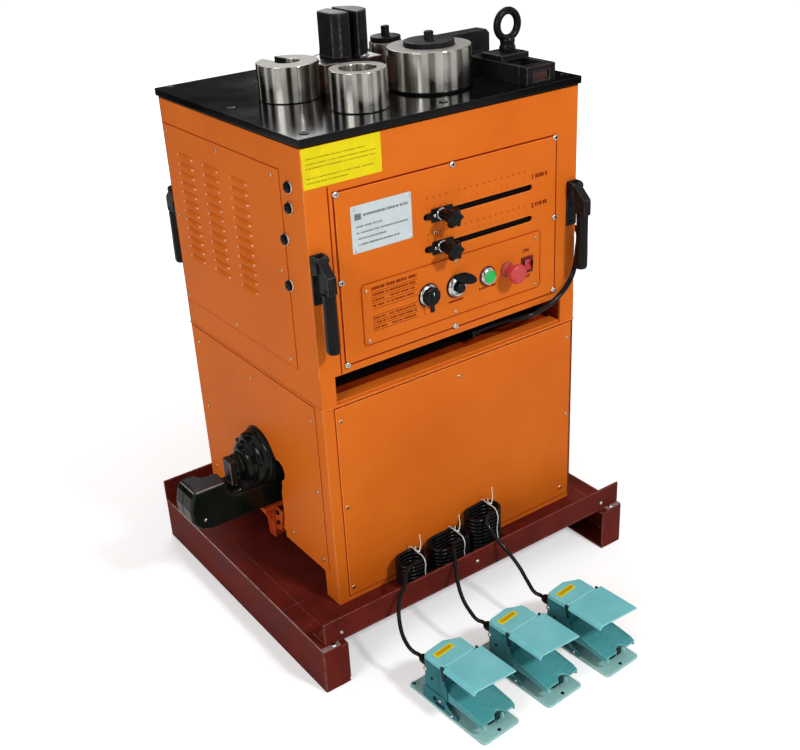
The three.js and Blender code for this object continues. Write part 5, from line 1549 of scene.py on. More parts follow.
@dataclass
class LowerCabinet:
    """The lower cabinet with its covers, its cutter bracket and the mains gland."""

    width: float = 547.0
    depth: float = 471.0
    bottom: float = 0.3
    top: float = 390.7
    sheet: float = 4.0
    front_cover: tuple[Pair, Pair] = ((22.5, 541.0), (12.0, 384.7))
    left_cover: tuple[Pair, Pair] = ((27.0, 465.0), (55.0, 384.7))
    back_cover: tuple[Pair, Pair] = ((40.0, 507.0), (40.0, 370.0))
    proud: float = 1.3

    def build(self) -> None:
        """Builds the cabinet."""
        self.build_frame()
        self.build_front_cover()
        self.build_left_cover()
        self.build_back_cover()
        self.build_screws()
        self.build_bracket()
        self.build_cord_holes()

    def build_frame(self) -> None:
        """The frame with the ledge that the upper cabinet stands on."""
        w, d = self.width, self.depth
        ledge = Form().pierced(
            Axis.Z, (self.top - 3.0, self.top + 0.25), ((-1.6, w + 1.6), (-1.6, d + 1.6)),
            [((20, w - 20), (5, d - 20))], 0.9,
        )
        ledge.finish("lower_cabinet_ledge", ORANGE)
        holder = Form().block((330, 334), (25, 61), (404, 414.7), 0.8)
        holder.finish("mains_gland_holder", BLACK_PAINTED)
        # The flange inside the mouth is drawn darker: painted shade under the upper cabinet
        flange = Form().block((30, w - 30), (5, 55.2), (self.top - 0.6, self.top + 0.1), 0.0)
        flange.finish("mouth_flange_painted_shade", FLANGE_PAINTED_SHADE)
        self.open_frame().finish("lower_cabinet_frame", ORANGE, replaces=["lower_cabinet"])

    def open_frame(self) -> Form:
        """Posts, rails and plain sheets, open at the top and round the cutter."""
        w, d, s = self.width, self.depth, self.sheet
        (x0, x1), (z0, z1) = self.front_cover
        (y0, y1), (_, v1) = self.left_cover
        frame = Form()
        opening = ((x0 + 14, x1 - 14), (z0 + 14, z1 - 14))
        frame.pierced(Axis.Y, (0, s), ((0, w), (self.bottom, self.top)), [opening], 0.8)
        frame.plate(Axis.X, (0, s), [
            (s, self.bottom), (y0 + 14, self.bottom), (y0 + 14, v1 - 14), (y1 - 14, v1 - 14),
            (y1 - 14, self.bottom), (d - s, self.bottom), (d - s, self.top), (s, self.top),
        ], 0.5)
        frame.block((w - s, w), (0, d), (self.bottom, self.top), 0.8)
        frame.block((0, w), (d - s, d), (self.bottom, self.top), 0.8)
        frame.pierced(Axis.Z, (self.top - s, self.top), ((0, w), (0, d)), [((28, w - 28), (55, d - 28))], 0.8)
        for x in (1.5, w - 21.5):
            for y in (1.5, d - 21.5):
                frame.block((x, x + 20), (y, y + 20), (self.bottom + 1, self.top - 2), 0.5)
        frame.block((4.3, 24), (4, d - 4), (61, 90), 0.6)
        return frame

    def build_front_cover(self) -> None:
        """The big flat cover in front."""
        cover = Form().block(self.front_cover[0], (-self.proud, 2.0), self.front_cover[1], 0.9, 3)
        cover.finish("lower_front_cover", ORANGE, replaces=["lower_front_panel"])
        Form().seam(Axis.Y, 0.0, self.front_cover, 1.8).finish("lower_front_seam", SEAM)

    def build_left_cover(self) -> None:
        """The left cover, cut out like a keyhole round the cutter and open below it."""
        (y0, y1), (z0, z1) = self.left_cover
        centre, radius = (239.0, 200.0), 57.0
        lobe, lobe_radius = (173.0, 198.0), 20.0
        slot, slot_top = (172.0, 306.0), 176.0
        edge = [(y0, z0), (slot[0], z0), (slot[0], 150.0), (lobe[0] - 6, 168)]
        for step in range(9):
            spot = polar(lobe, lobe_radius, math.radians(250 - step * 26))
            if math.dist(spot, centre) > radius:
                edge.append(spot)
        edge += [polar(centre, radius, math.radians(150 - step * 7.3)) for step in range(25)]
        edge += [(slot[1] - 7, slot_top + 4), (slot[1], slot_top - 8), (slot[1], z0), (y1, z0), (y1, z1),
                 (y0, z1)]
        cover = Form().plate(Axis.X, (-self.proud, 2.0), edge, 0.6, 2)
        cover.finish("lower_left_cover", ORANGE, replaces=["lower_left_panel"])
        seam = Form()
        for y, z in (((y0 - 2.2, y0 - 0.2), (z0, z1 + 2.2)), ((y1 + 0.2, y1 + 2.2), (z0, z1 + 2.2)),
                     ((y0, y1), (z1 + 0.2, z1 + 2.2))):
            seam.block((-SEAM_PROUD, SEAM_DEEP), y, z, 0.0)
        seam.finish("lower_left_seam", FAINT_SEAM)

    def build_back_cover(self) -> None:
        """A service cover with vent slots at the back, with a black sheet behind the slots as painted shade.
        """
        slots = [((x, x + 8), (z, z + 70)) for x in range(150, 400, 22) for z in (90, 240)]
        cover = Form().pierced(Axis.Y, (self.depth, self.depth + 1.6), self.back_cover, slots, 0.5)
        cover.finish("lower_back_cover", ORANGE)
        # Painted shade: a black sheet behind the slots stands in for the dark inside
        shade = Form().block((145, 400), (self.depth - 0.5, self.depth + 0.3), (85, 315), 0.0)
        shade.finish("lower_back_vent_painted_shade", BLACK_CARD_AND_PAINTED_SHADE)

    def build_screws(self) -> None:
        """The small screws of the covers."""
        front = [(30.7, 361), (532, 356), (30, 28), (520.6, 31), (276.6, 361.5), (276, 28), (30.5, 195),
                 (532, 195)]
        Form().screws(Axis.Y, -self.proud, front, -1, 4.0, 2.4).finish("lower_front_screws", BRASSY)
        left = [(241, 357), (441, 220), (440, 83), (38, 357), (38, 218), (39, 79), (141, 81), (441, 358),
                (345, 82)]
        screws = Form().screws(Axis.X, -self.proud, left, -1, 4.2, 2.6)
        back = [(48, 48), (273, 48), (499, 48), (48, 362), (273, 362), (499, 362), (48, 205), (499, 205)]
        screws.screws(Axis.Y, self.depth + 1.6, back, 1, 3.6, 2.0)
        right = [(20, 20), (450, 20), (20, 372), (450, 372), (235, 372), (235, 20)]
        screws.screws(Axis.X, self.width, right, 1, 3.6, 2.0)
        screws.finish("lower_cabinet_screws", BRASSY)

    def build_bracket(self) -> None:
        """The bent plate under the cutter, with its two gussets."""
        bracket = Form().block((-24, 150), (204, 275), (100, 105.7), 1.2, 3)
        bracket.plate(Axis.Y, (212.0, 220.0), [(-24, 101), (24, 101), (24, 36), (-2, 36), (-4, 62)], 0.8)
        bracket.plate(Axis.Y, (259.0, 267.0), [(-24, 101), (24, 101), (24, 64), (-2, 68), (-22, 93)], 0.8)
        bracket.plate(Axis.X, (-4.5, 0.5), [(211, 104), (262, 104), (238, 74), (232, 34), (211, 34)], 0.6)
        bracket.plate(Axis.X, (-1.0, 2.0), [(178, 104), (213, 104), (213, 50), (190, 60)], 0.4)
        # The bracket is drawn in a darker orange: painted shade under the cutter
        bracket.finish("cutter_bracket", BRACKET_ORANGE_PAINTED_SHADE)
        screws = Form().screws(Axis.X, -1.0, [(196, 96), (196, 74)], -1, 4.6, 5.0)
        screws.finish("cutter_bracket_screws", BLACKENED)

    def build_cord_holes(self) -> None:
        """A rubber grommet for each pedal cord and the gland of the mains lead."""
        rubber = Form()
        for hank in HANKS:
            x, _, z = hank.hole()
            rubber.turned(Axis.Y, (x, z), [
                (-6, 3.4), (-6, 4.8), (-4.6, 5.6), (-3.2, 5.6), (-2.4, 4.6), (-0.5, 4.6),
                (-0.5, 3.4),
            ], sides=32)
        rubber.turned(Axis.X, (34, 412.7), [
            (330, 4.7), (330, 9), (336, 9), (336.8, 7.4), (340, 7.4), (341, 8.6), (346, 8.2), (350, 6.0),
            (350, 4.7),
        ], sides=32)
        rubber.finish("cord_grommets", BLACK_PLASTIC)


@dataclass
class UpperCabinet:
    """The upper cabinet with its left cover, louvres and black sockets."""

    width: float = 547.0
    depth: float = 471.0
    bottom: float = 391.0
    top: float = 819.7
    sheet: float = 4.0
    mouth: tuple[Pair, Pair] = ((28.0, 514.4), (391.0, 443.0))
    cover: tuple[Pair, Pair] = ((68.0, 466.0), (441.0, 773.0))
    panel: tuple[Pair, Pair] = ((51.5, 497.0), (457.0, 740.0))
    columns: tuple[Pair, ...] = ((364.0, 416.0), (270.0, 322.0), (173.0, 226.0))
    rows: int = 12
    row_top: float = 727.0
    row_pitch: float = 16.9
    louvre: float = 8.0
    proud: float = 1.3

    def build(self) -> None:
        """Builds the cabinet."""
        self.build_shell()
        self.build_cover()
        self.build_louvres()
        self.build_screws()
        self.build_sockets()
        self.build_back()

    def build_shell(self) -> None:
        """The sheets, open in front over the mouth and behind the control panel."""
        w, d, s = self.width, self.depth, self.sheet
        shell = Form()
        (x0, x1), (z0, z1) = self.panel
        (m0, m1), (_, n1) = self.mouth
        opening = ((x0 + 10, x1 - 10), (z0 + 10, z1 - 10))
        shell.pierced(Axis.Y, (0, s), ((0, w), (n1, self.top)), [opening], 0.7)
        shell.block((0, m0), (0, s), (self.bottom, n1 + 0.5), 0.0)
        shell.block((m1, w), (0, s), (self.bottom, n1 + 0.5), 0.0)
        shell.block((m0, m1), (0.5, 14), (n1 - 1.5, n1 + 1.0), 0.5)
        shell.block((0, s), (s - 1, d), (self.bottom, self.top), 0.7)
        shell.block((w - s, w), (s - 1, d), (self.bottom, self.top), 0.7)
        shell.block((0, w), (d - s, d), (self.bottom, self.top), 0.7)
        opening = ((28, w - 28), (28, d - 28))
        shell.pierced(Axis.Z, (self.bottom, self.bottom + s), ((s, w - s), (4, d - s)), [opening], 0.4)
        shell.pierced(Axis.Z, (self.top - s, self.top), ((0, w), (0, d)), [opening], 0.7)
        # The mouth's inner walls in dark orange: painted shade
        inner = Form()
        for x in (m0 - 3, m1 + 0.6):
            inner.block((x, x + 2), (4, 62), (self.bottom, n1), 0.0)
        inner.finish("mouth_inner_walls_painted_shade", INNER_ORANGE_PAINTED_SHADE)
        shell.finish("upper_cabinet_shell", ORANGE, replaces=["upper_cabinet"])
        # A black sheet behind the mouth: painted shade in place of the dark inside of the cabinet
        shade = Form().block((26, w - 30), (60, 63), (self.bottom, 456), 0.0)
        shade.block((30, w - 30), (16, 63), (454, 456), 0.0)
        shade.finish("mouth_painted_shade", BLACK_CARD_AND_PAINTED_SHADE)
        bar = Form().block((4.3, w - 4.3), (300, 330), (396, 426), 1.2)
        bar.block((4.3, w - 4.3), (120, 150), (630, 639.4), 1.2)
        bar.finish("upper_cabinet_cross_bars", BLACK_PAINTED)

    def louvre_rows(self) -> list[tuple[Pair, float]]:
        """Each louvre's range along the cabinet and the height of its middle."""
        return [(column, self.row_top - row * self.row_pitch) for column in self.columns
                for row in range(self.rows)]

    def build_cover(self) -> None:
        """The left cover with a slot behind each louvre."""
        windows = [((y0 + 1, y1 - 1), (z - 3.0, z + 2.0)) for (y0, y1), z in self.louvre_rows()]
        cover = Form().pierced(Axis.X, (-self.proud, 2.0), self.cover, windows, 0.4)
        cover.finish("upper_left_cover", ORANGE, replaces=["upper_left_panel"])
        Form().seam(Axis.X, 0.0, self.cover, 1.8).finish("upper_left_seam", FAINT_SEAM)

    def build_louvres(self) -> None:
        """The pressed hoods, each bulging out over its slot, with pale dots at each hood's ends that are
        painted highlights.
        """
        hoods, corners = Form(), Form()
        # Small pale domes at both ends of each hood: painted highlights where the rounded ends catch the
        # light
        corner = [(-1.0, 0.0), (-1.0, 2.6), (-3.0, 2.3), (-4.3, 1.3), (-4.7, 0.0)]
        for (y0, y1), z in self.louvre_rows():
            for spot in ((y0 + 1.4, z - 1.2), (y1 - 1.4, z + 0.6)):
                corners.turned(Axis.X, spot, corner, sides=10)
            loops = []
            for share in (0.0, 0.04, 0.1, 0.2, 0.5, 0.8, 0.9, 0.96, 1.0):
                bulge = math.sin(math.pi * min(max(share, 0.02), 0.98)) ** 0.35
                reach, drop = 5.2 * bulge, self.louvre * (0.35 + 0.65 * bulge)
                y = y0 + (y1 - y0) * share
                crown, base = z + 4.2, -self.proud + 0.2
                loops.append([
                    (base, y, crown), (base - reach * 0.45, y, crown - drop * 0.18),
                    (base - reach * 0.85, y, crown - drop * 0.55), (base - reach, y, crown - drop),
                    (base - reach + 1.1, y, crown - drop - 0.1), (base - reach * 0.6, y, crown - drop * 0.6),
                    (base, y, crown - drop * 0.4),
                ])
            hoods.lofted(loops)
        hoods.finish("louvre_hoods", ORANGE)
        corners.finish("louvre_corner_painted_highlights", LOUVRE_PAINTED_HIGHLIGHT)

    def build_screws(self) -> None:
        """The screws of the left cover and of the right side."""
        left = [(454, 763), (268, 761.5), (90, 761), (452, 607.5), (452.6, 453), (269, 451.6), (85, 608),
                (86, 453)]
        right = [(20, 410), (450, 410), (20, 800), (450, 800), (235, 800), (235, 410)]
        screws = Form().screws(Axis.X, -self.proud, left, -1, 3.6, 2.0)
        screws.screws(Axis.X, self.width, right, 1, 3.6, 2.0)
        screws.finish("upper_cabinet_screws", BRASSY)

    def build_sockets(self) -> None:
        """The four black screw sockets with shiny rims near the left side's front."""
        spots = [(39, 753), (42, 720), (63, 665), (63, 589)]
        rim = [(-2.4, 8.5), (-3.0, 9.0), (-2.8, 9.8), (-1.2, 10.4), (0.4, 10.4), (0.4, 8.5)]
        plug = [(-5.4, 0.0), (-5.4, 1.6), (-7.6, 2.8), (-7.6, 6.0), (-6.6, 7.8), (-3.4, 8.6), (0.4, 8.6),
                (0.4, 0.0)]
        rims, plugs = Form(), Form()
        for spot in spots:
            rims.turned(Axis.X, spot, rim, sides=32)
            plugs.turned(Axis.X, spot, plug, sides=32)
        rims.finish("side_socket_rims", CHROME)
        plugs.finish("side_sockets", BLACK_PLASTIC)

    def build_back(self) -> None:
        """The back cover with its vent slots and screws, with a black sheet behind the slots as painted
        shade.
        """
        slots = [((x, x + 60), (z, z + 6)) for x in (130, 243, 356) for z in range(520, 720, 18)]
        cover = Form().pierced(Axis.Y, (self.depth, self.depth + 1.6), ((40, 507), (441, 773)), slots, 0.5)
        cover.finish("upper_back_cover", ORANGE)
        # Painted shade: a black sheet behind the slots stands in for the dark inside
        shade = Form().block((125, 420), (self.depth - 0.5, self.depth + 0.3), (515, 715), 0.0)
        shade.finish("upper_back_vent_painted_shade", BLACK_CARD_AND_PAINTED_SHADE)
        spots = [(48, 449), (273, 449), (499, 449), (48, 765), (273, 765), (499, 765), (48, 607), (499, 607)]
        Form().screws(Axis.Y, self.depth + 1.6, spots, 1, 3.6, 2.0).finish("upper_back_screws", CHROME)


# Control panel


@dataclass
class ControlPanel:
    """The control panel with its plates, label, slots, scales and pointers."""

    cover: tuple[Pair, Pair] = ((51.5, 497.0), (457.0, 740.0))
    switch_plate: tuple[Pair, Pair] = ((86.5, 462.0), (477.6, 583.8))
    rating_plate: tuple[Pair, Pair] = ((77.5, 191.0), (637.0, 713.0))
    yellow_label: tuple[Pair, Pair] = ((0.0, 141.0), (755.0, 816.0))
    slot_span: Pair = (214.0, 444.7)
    slot_height: float = 10.6
    slots: tuple[tuple[str, float], ...] = (("upper", 663.0), ("lower", 608.0))
    proud: float = 1.4
    pointer_x: float = 249.5

    def build(self) -> None:
        """Builds the panel."""
        self.build_cover()
        self.build_switch_plate()
        self.build_rating_plate()
        self.build_label()
        self.build_marks()
        for side, z in self.slots:
            self.build_pointer(side, z)
            self.build_star_knob(side, z)

    def build_cover(self) -> None:
        """The cover sheet with its two slots, the dark seam round it, its screws, and a black sheet behind
        the slots that is painted shade.
        """
        h = self.slot_height / 2
        windows = [(self.slot_span, (z - h, z + h)) for _, z in self.slots]
        cover = Form().pierced(Axis.Y, (-self.proud, 2.0), self.cover, windows, 0.7, 2)
        for window in windows:
            cover.corners(Axis.Y, (-self.proud + 0.03, 1.9), window, h * 0.98)
        cover.finish("control_cover", ORANGE, replaces=["control_panel"])
        (x0, x1), (z0, z1) = self.cover
        outer = ((x0 - 3.0, x1 + 3.0), (z0 - 3.0, z1 + 3.0))
        inner = ((x0 - 0.2, x1 + 0.2), (z0 - 0.2, z1 + 0.2))
        seam = Form().pierced(Axis.Y, (-SEAM_PROUD, 1.0), outer, [inner], 0.0)
        seam.block((40.2, 42.4), (-SEAM_PROUD, 1.0), (443.6, 752), 0.0)
        seam.finish("control_cover_seam", SEAM)
        spots = [(53.5, 738), (274, 738), (494, 738), (52.5, 597), (495, 598), (52.5, 456), (272, 458),
                 (494.5, 461)]
        screws = Form().screws(Axis.Y, -self.proud, spots, -1, 5.6, 3.4)
        screws.screw(Axis.Y, (236, -self.proud, 634), -1, 3.2, 1.8)
        screws.finish("control_cover_screws", CHROME)
        # A black sheet behind the slots: painted shade for the dark inside
        behind = Form().block((self.slot_span[0] - 6, self.slot_span[1] + 6), (5.9, 7.4), (601, 670), 0.4)
        behind.finish("slot_back_painted_shade", BLACK_CARD_AND_PAINTED_SHADE)

    def build_switch_plate(self) -> None:
        """The rounded plate under the switches with its edge line, empty tables and screws."""
        (x0, x1), (z0, z1) = self.switch_plate
        outline = rounded(rectangle((x0, x1), (z0, z1)), 9)
        plate = Form().plate(Axis.Y, (-self.proud - 1.2, -self.proud + 0.4), outline, 0.4)
        plate.finish("switch_plate", ORANGE)
        line = Form()
        outer = rounded(rectangle((x0 + 0.8, x1 - 0.8), (z0 + 0.8, z1 - 0.8)), 8.4)
        level = -self.proud - 1.25
        line.tube([(x, level, z) for x, z in self.spread(outer, 4)], 0.8, closed=True, sides=1)
        line.finish("switch_plate_edge_line", PLATE_LINE)
        self.empty_tables(level).finish("switch_plate_lines", PRINT)
        corners = [(96.5, 485), (450.2, 485.4), (96, 571), (452, 572), (272.6, 485), (274, 576)]
        Form().screws(Axis.Y, level + 0.05, corners, -1, 3.6, 2.4).finish("switch_plate_screws", BRASSY)

    def build_rating_plate(self) -> None:
        """The rating plate with broken bars in place of print, and its rivets."""
        (x0, x1), (z0, z1) = self.rating_plate
        face = -self.proud - 0.9
        outline = rounded(rectangle((x0, x1), (z0, z1)), 2.5)
        Form().plate(Axis.Y, (face, -self.proud + 0.3), outline, 0.3).finish("blank_rating_plate", PALE_PLATE)
        bars = Form().block((84, 96), (face - 0.08, face + 0.2), (690, 700), 0.0)
        rows = ((100, 184, 696, 4.0), (86, 138, 679, 2.6), (86, 183, 669, 2.6), (88, 141, 659.5, 2.6),
                (88, 166, 650, 3.0))
        for seed, (start, end, z, tall) in enumerate(rows):
            bars.dashes(face, (start, end), z, tall, seed)
        bars.finish("rating_plate_bars", GREY_PRINT)
        rivets = Form()
        for x in (x0 + 4.5, x1 - 4.5):
            for z in (z0 + 4.5, z1 - 4.5):
                rivets.turned(Axis.Y, (x, z), [
                    (-self.proud - 2.5, 0.0), (-self.proud - 2.3, 1.1), (-self.proud - 1.7, 2.0),
                    (-self.proud - 0.8, 2.4), (-self.proud - 0.8, 0.0),
                ], sides=20)
        rivets.finish("rating_plate_rivets", CHROME)

    def build_label(self) -> None:
        """The yellow label at the top left, with broken bars in place of print."""
        (x0, x1), (z0, z1) = self.yellow_label
        face = -0.35
        label = Form().plate(Axis.Y, (face, 0.2), rounded(rectangle((x0 + 1.5, x1), (z0, z1)), 1.0), 0.1, 1)
        label.finish("blank_yellow_label", YELLOW_LABEL)
        bars = Form()
        rows = ((111, 799.6), (131, 792), (130, 785.4), (126, 770.6), (80, 763.6))
        for seed, (end, z) in enumerate(rows, 20):
            bars.dashes(face, (8, end), z, 1.7, seed)
        bars.finish("yellow_label_bars", OLIVE_PRINT)

    @staticmethod
    def spread(outline: Sequence[Pair], parts: int) -> list[Pair]:
        """Puts more points on an outline's long sides, so that a smooth wire keeps them straight.

        Args:
            outline: The outline.
            parts: How many parts a long side gets.

        Returns:
            The outline with more points.
        """
        result = []
        for start, end in zip(outline, [*outline[1:], outline[0]]):
            count = parts * 4 if math.dist(start, end) > 20 else 1
            for step in range(count):
                share = step / count
                u = start[0] + (end[0] - start[0]) * share
                v = start[1] + (end[1] - start[1]) * share
                result.append((u, v))
        return result

    @staticmethod
    def empty_tables(level: float) -> Form:
        """The two tables at the switch plate's left and two names, all as broken bars."""
        lines = Form()
        for z in (566, 557, 547.6, 537.4, 525.4, 517, 508.4, 499.4):
            lines.block((105.5, 195), (level - 0.05, level + 0.2), (z - 0.4, z + 0.4), 0.0)
        rows = ((106, 195, 572.4, 5.0), (107, 193, 561.6, 3.4), (107, 130, 552.2, 3.4),
                (140, 190, 552.4, 2.8), (107, 130, 542.6, 3.4), (134, 188, 542.8, 3.0),
                (107, 130, 521.2, 3.2), (138, 190, 521.2, 3.0), (107, 192, 512.8, 3.2), (107, 134, 504, 3.2),
                (142, 190, 504, 3.0), (258, 290, 505, 4.0), (324, 360, 510.5, 4.0))
        for seed, (start, end, z, tall) in enumerate(rows, 40):
            lines.dashes(level, (start, end), z, tall, seed)
        return lines

    def build_marks(self) -> None:
        """The scales over the slots, their numbers, and the rocker's ON and OFF."""
        level = -self.proud
        marks, faint = Form(), Form()
        for (_, z), rise in zip(self.slots, (30.5, 25.5)):
            foot = z + self.slot_height / 2 + 6
            for index in range(17):
                x = self.slot_span[0] + 8 + index * 12.8
                tall = 6.5 if index % 4 == 0 else 4.0
                faint.block((x, x + 0.9), (level - 0.12, level + 0.1), (foot, foot + tall), 0.0)
                faint.dashes(level, (x - 1.5, x + 2.4), z + rise, 3.4, index)
        faint.finish("panel_scales", FAINT_PRINT)
        marks.words("1", 11.5, (441.5, level, 676.5))
        marks.words("2", 11.5, (441.5, level, 627.0))
        for z in (681.0, 631.5):
            marks.dashes(level, (450, 477), z, 7.0, round(z))
        marks.words("ON", 9.0, (421, level - 1.2, 551))
        marks.words("OFF", 8.0, (424, level - 1.2, 502.5))
        marks.finish("panel_marks", PRINT)

    def build_pointer(self, side: str, z: float) -> None:
        """The sliding plate of one slot with its stem, back plate and small screw.

        Args:
            side: The slot's name.
            z: The slot's height.
        """
        x = self.pointer_x
        plate = Form()
        front = -self.proud - 0.3
        outline = rounded([
            (x - 31, z - 5), (x - 21, z - 5), (x - 21, z - 11.5), (x + 22.5, z - 11.5),
            (x + 22.5, z + 11.5), (x - 21, z + 11.5), (x - 21, z + 5), (x - 31, z + 5),
        ], 3.4)
        plate.plate(Axis.Y, (front - 2.4, front), outline, 0.6)
        plate.block((x - 12, x + 12), (front - 0.5, 3), (z - 4.0, z + 4.0), 0.4)
        plate.plate(Axis.Y, (2.3, 5.3), rounded(rectangle((x - 20, x + 20), (z - 9, z + 9)), 2), 0.4)
        plate.finish(f"{side}_pointer_plate", BLACK_PAINTED, f"{side}_pointer", [f"{side}_pointer"])
        fittings = Form().screw(Axis.Y, (x - 14.8, front - 2.4, z), -1, 3.0, 2.0)
        fittings.turned(Axis.Y, (x, z), [
            (front - 4.0, 5.0), (front - 4.2, 8.4), (front - 3.6, 10.0), (front - 2.4, 10.6),
            (front - 2.4, 5.0),
        ], sides=48)
        fittings.finish(f"{side}_pointer_fittings", CHROME, f"{side}_pointer")

    def build_star_knob(self, side: str, z: float) -> None:
        """The six-lobed clamp knob with its stud.

        Args:
            side: The slot's name.
            z: The slot's height.
        """
        x = self.pointer_x
        loops = []
        for y, scale in ((-28.0, 0.80), (-28.4, 0.92), (-30.0, 1.0), (-36.0, 1.0), (-39.4, 0.93),
                         (-40.7, 0.78)):
            loop = []
            for step in range(96):
                angle = 2 * math.pi * step / 96
                lobe = max(math.cos(6 * angle), -0.55)
                reach = (14.3 + 2.7 * lobe) * scale
                loop.append((x + reach * math.cos(angle), y, z + reach * math.sin(angle)))
            loops.append(loop)
        knob = Form().lofted(loops)
        knob.turned(Axis.Y, (x, z), [
            (-28.5, 0.0), (-28.5, 11.8), (-27.0, 11.0), (-20.0, 9.8), (-9.0, 9.4), (-6.2, 8.8), (-6.2, 0.0),
        ], 0.3, 40)
        knob.finish(f"{side}_star_knob", BLACK_PLASTIC, f"{side}_clamp", [f"{side}_clamp_knob"])
        stud = Form().turned(Axis.Y, (x, z), [
            (-42.0, 0.0), (-42.0, 2.0), (-41.5, 3.0), (-40.3, 3.2), (-40.2, 4.6), (-39.9, 5.0), (-39.0, 5.0),
            (-39.0, 0.0),
        ], sides=32)
        stud.rod(Axis.Y, (-6.2, 1.8), (x, z), 2.9, soft=0.2, sides=24)
        stud.finish(f"{side}_knob_stud", BLACKENED, f"{side}_clamp")


@dataclass
class Switches:
    """The selector, lever, start, stop and rocker switches in their row."""

    level: float = 530.5
    front: float = -2.6
    selector_x: float = 217.0
    lever_x: float = 275.0
    start_x: float = 342.0
    stop_x: float = 385.0
    rocker_x: float = 430.7

    def build(self) -> None:
        """Builds the switches."""
        self.build_selector()
        self.build_lever()
        self.build_start()
        self.build_stop()
        self.build_rocker()

    def ring(self, name: str, x: float, outer: float, inner: float, rise: float, finish: Finish) -> None:
        """A bezel ring on the plate.

        Args:
            name: The ring's name.
            x: Its place along the row.
            outer: Its outer radius.
            inner: Its inner radius.
            rise: How far it stands out.
            finish: Its finish.
        """
        f = self.front
        Form().turned(Axis.Y, (x, self.level), [
            (f + 0.3, inner), (f + 0.3, outer), (f - rise * 0.45, outer),
            (f - rise * 0.85, outer - rise * 0.35), (f - rise, outer - rise * 0.75),
            (f - rise, inner + 0.8), (f - rise + 0.8, inner),
        ], 0.25, 64).finish(name, finish)

    def build_selector(self) -> None:
        """The round selector with a bar grip on its many-sided cap."""
        x, z, f = self.selector_x, self.level, self.front
        self.ring("selector_base", x, 20.5, 15.0, 2.4, BLACK_PLASTIC)
        self.ring("selector_bezel", x, 18.6, 15.5, 5.4, CHROME)
        side = rounded(circle((x, z), 17.2, 10, 18), 3.0, 3)
        knob = Form().lofted([
            [(x + (u - x) * s, y, z + (v - z) * s) for u, v in side]
            for y, s in ((f - 3.0, 0.94), (f - 11.5, 0.97), (f - 13.0, 0.9), (f - 13.6, 0.8))
        ])
        knob.rod(Axis.Y, (f - 4.0, 25.0), (x, z), 12.5, soft=0.0, sides=40)
        grip = rounded(rectangle((x - 4.2, x + 4.2), (z - 11.0, z + 11.0)), 4.0)
        loops = [
            [(x + (u - x) * s, y, z + (v - z) * s) for u, v in grip]
            for y, s in ((f - 12.6, 1.06), (f - 13.6, 1.0), (-17.6, 0.9), (-18.4, 0.74))
        ]
        knob.lofted(loops)
        knob.finish("selector_cap", BLACK_PLASTIC, "selector", ["selector_knob"])
        mark = Form().block((x - 0.6, x + 0.6), (-18.8, -18.0), (z + 4, z + 9), 0.2)
        mark.finish("selector_mark", TIE_WIRE, "selector")
        for side, finish in ((-5.5, ORANGE), (6.5, BLACK_PLASTIC)):
            tab = Form().block((x + side - 3.6, x + side + 3.6), (f - 3.4, f + 0.2), (z - 31.5, z - 17), 1.0)
            tab.finish(f"selector_tab_{'left' if side < 0 else 'right'}", finish)

    def build_lever(self) -> None:
        """The lever switch: a small hub in a deep bezel and a broad leaf to the upper right."""
        x, z, f = self.lever_x, self.level, self.front
        # A black ring round the bezel's foot: painted shadow in place of the lever's shadow on the plate
        self.ring("lever_painted_shadow_ring", x, 20.8, 13.0, 2.6, BLACK_PLASTIC)
        self.ring("lever_bezel", x, 19.0, 13.6, 8.6, CHROME)
        section = [(f - 4.6, 0.0), (f - 4.6, 13.8), (f + 0.3, 13.8), (f + 0.3, 0.0)]
        cup = Form().turned(Axis.Y, (x, z), section, 0.2, 56)
        cup.finish("lever_cup", CHROME)
        hub = Form().turned(Axis.Y, (x, z), [
            (f - 15.5, 0.0), (f - 15.5, 7.4), (f - 14.4, 8.8), (f - 6.0, 9.2), (25.0, 9.2), (25.0, 0.0),
        ], 0.3, 48)
        leaf = (
            (x - 7, -9.5, z + 17.0, 4.5), (x - 1, -14.0, z + 18.0, 8.6), (x + 7, -18.5, z + 16.8, 10.6),
            (x + 14, -22.5, z + 15.2, 9.8), (x + 19, -25.5, z + 13.8, 7.8), (x + 21.6, -27.0, z + 13.2, 4.8),
        )
        ring = circle((0.0, 0.0), 1.0, 24)
        hub.lofted([
            [(px + 1.2 * c, py - 2.6 * c, pz + wide * s) for c, s in ring] for px, py, pz, wide in leaf
        ])
        neck = ((x + 2, f - 9, z + 2, 5.6), (x + 6, f - 13, z + 9, 5.0), (x + 9, f - 15, z + 15, 4.0))
        ring = circle((0.0, 0.0), 1.0, 16)
        hub.lofted([
            [(px + wide * c, py - 2.4 * s, pz + 1.5 * s) for c, s in ring] for px, py, pz, wide in neck
        ])
        hub.finish("lever_paddle", BLACK_PLASTIC, "lever", ["lever_switch"])

    def build_start(self) -> None:
        """The green push button in its chrome ring."""
        x, z = self.start_x, self.level
        # A dark red ring round the bezel's foot: painted shadow in place of the button's shadow on the plate
        self.ring("start_painted_shadow_ring", x, 17.4, 10.6, 2.8, RIM_RED)
        self.ring("start_bezel", x, 15.2, 12.6, 8.4, CHROME)
        Form().turned(Axis.Y, (x, z), [
            (-12.4, 0.0), (-12.6, 6.0), (-12.6, 10.4), (-12.0, 11.6), (-10.6, 12.1), (-2.0, 12.1),
            (0.0, 10.5), (25.0, 10.5), (25.0, 0.0),
        ], 0.2, 56).finish("start_cap", GREEN, "start", ["start_button"])

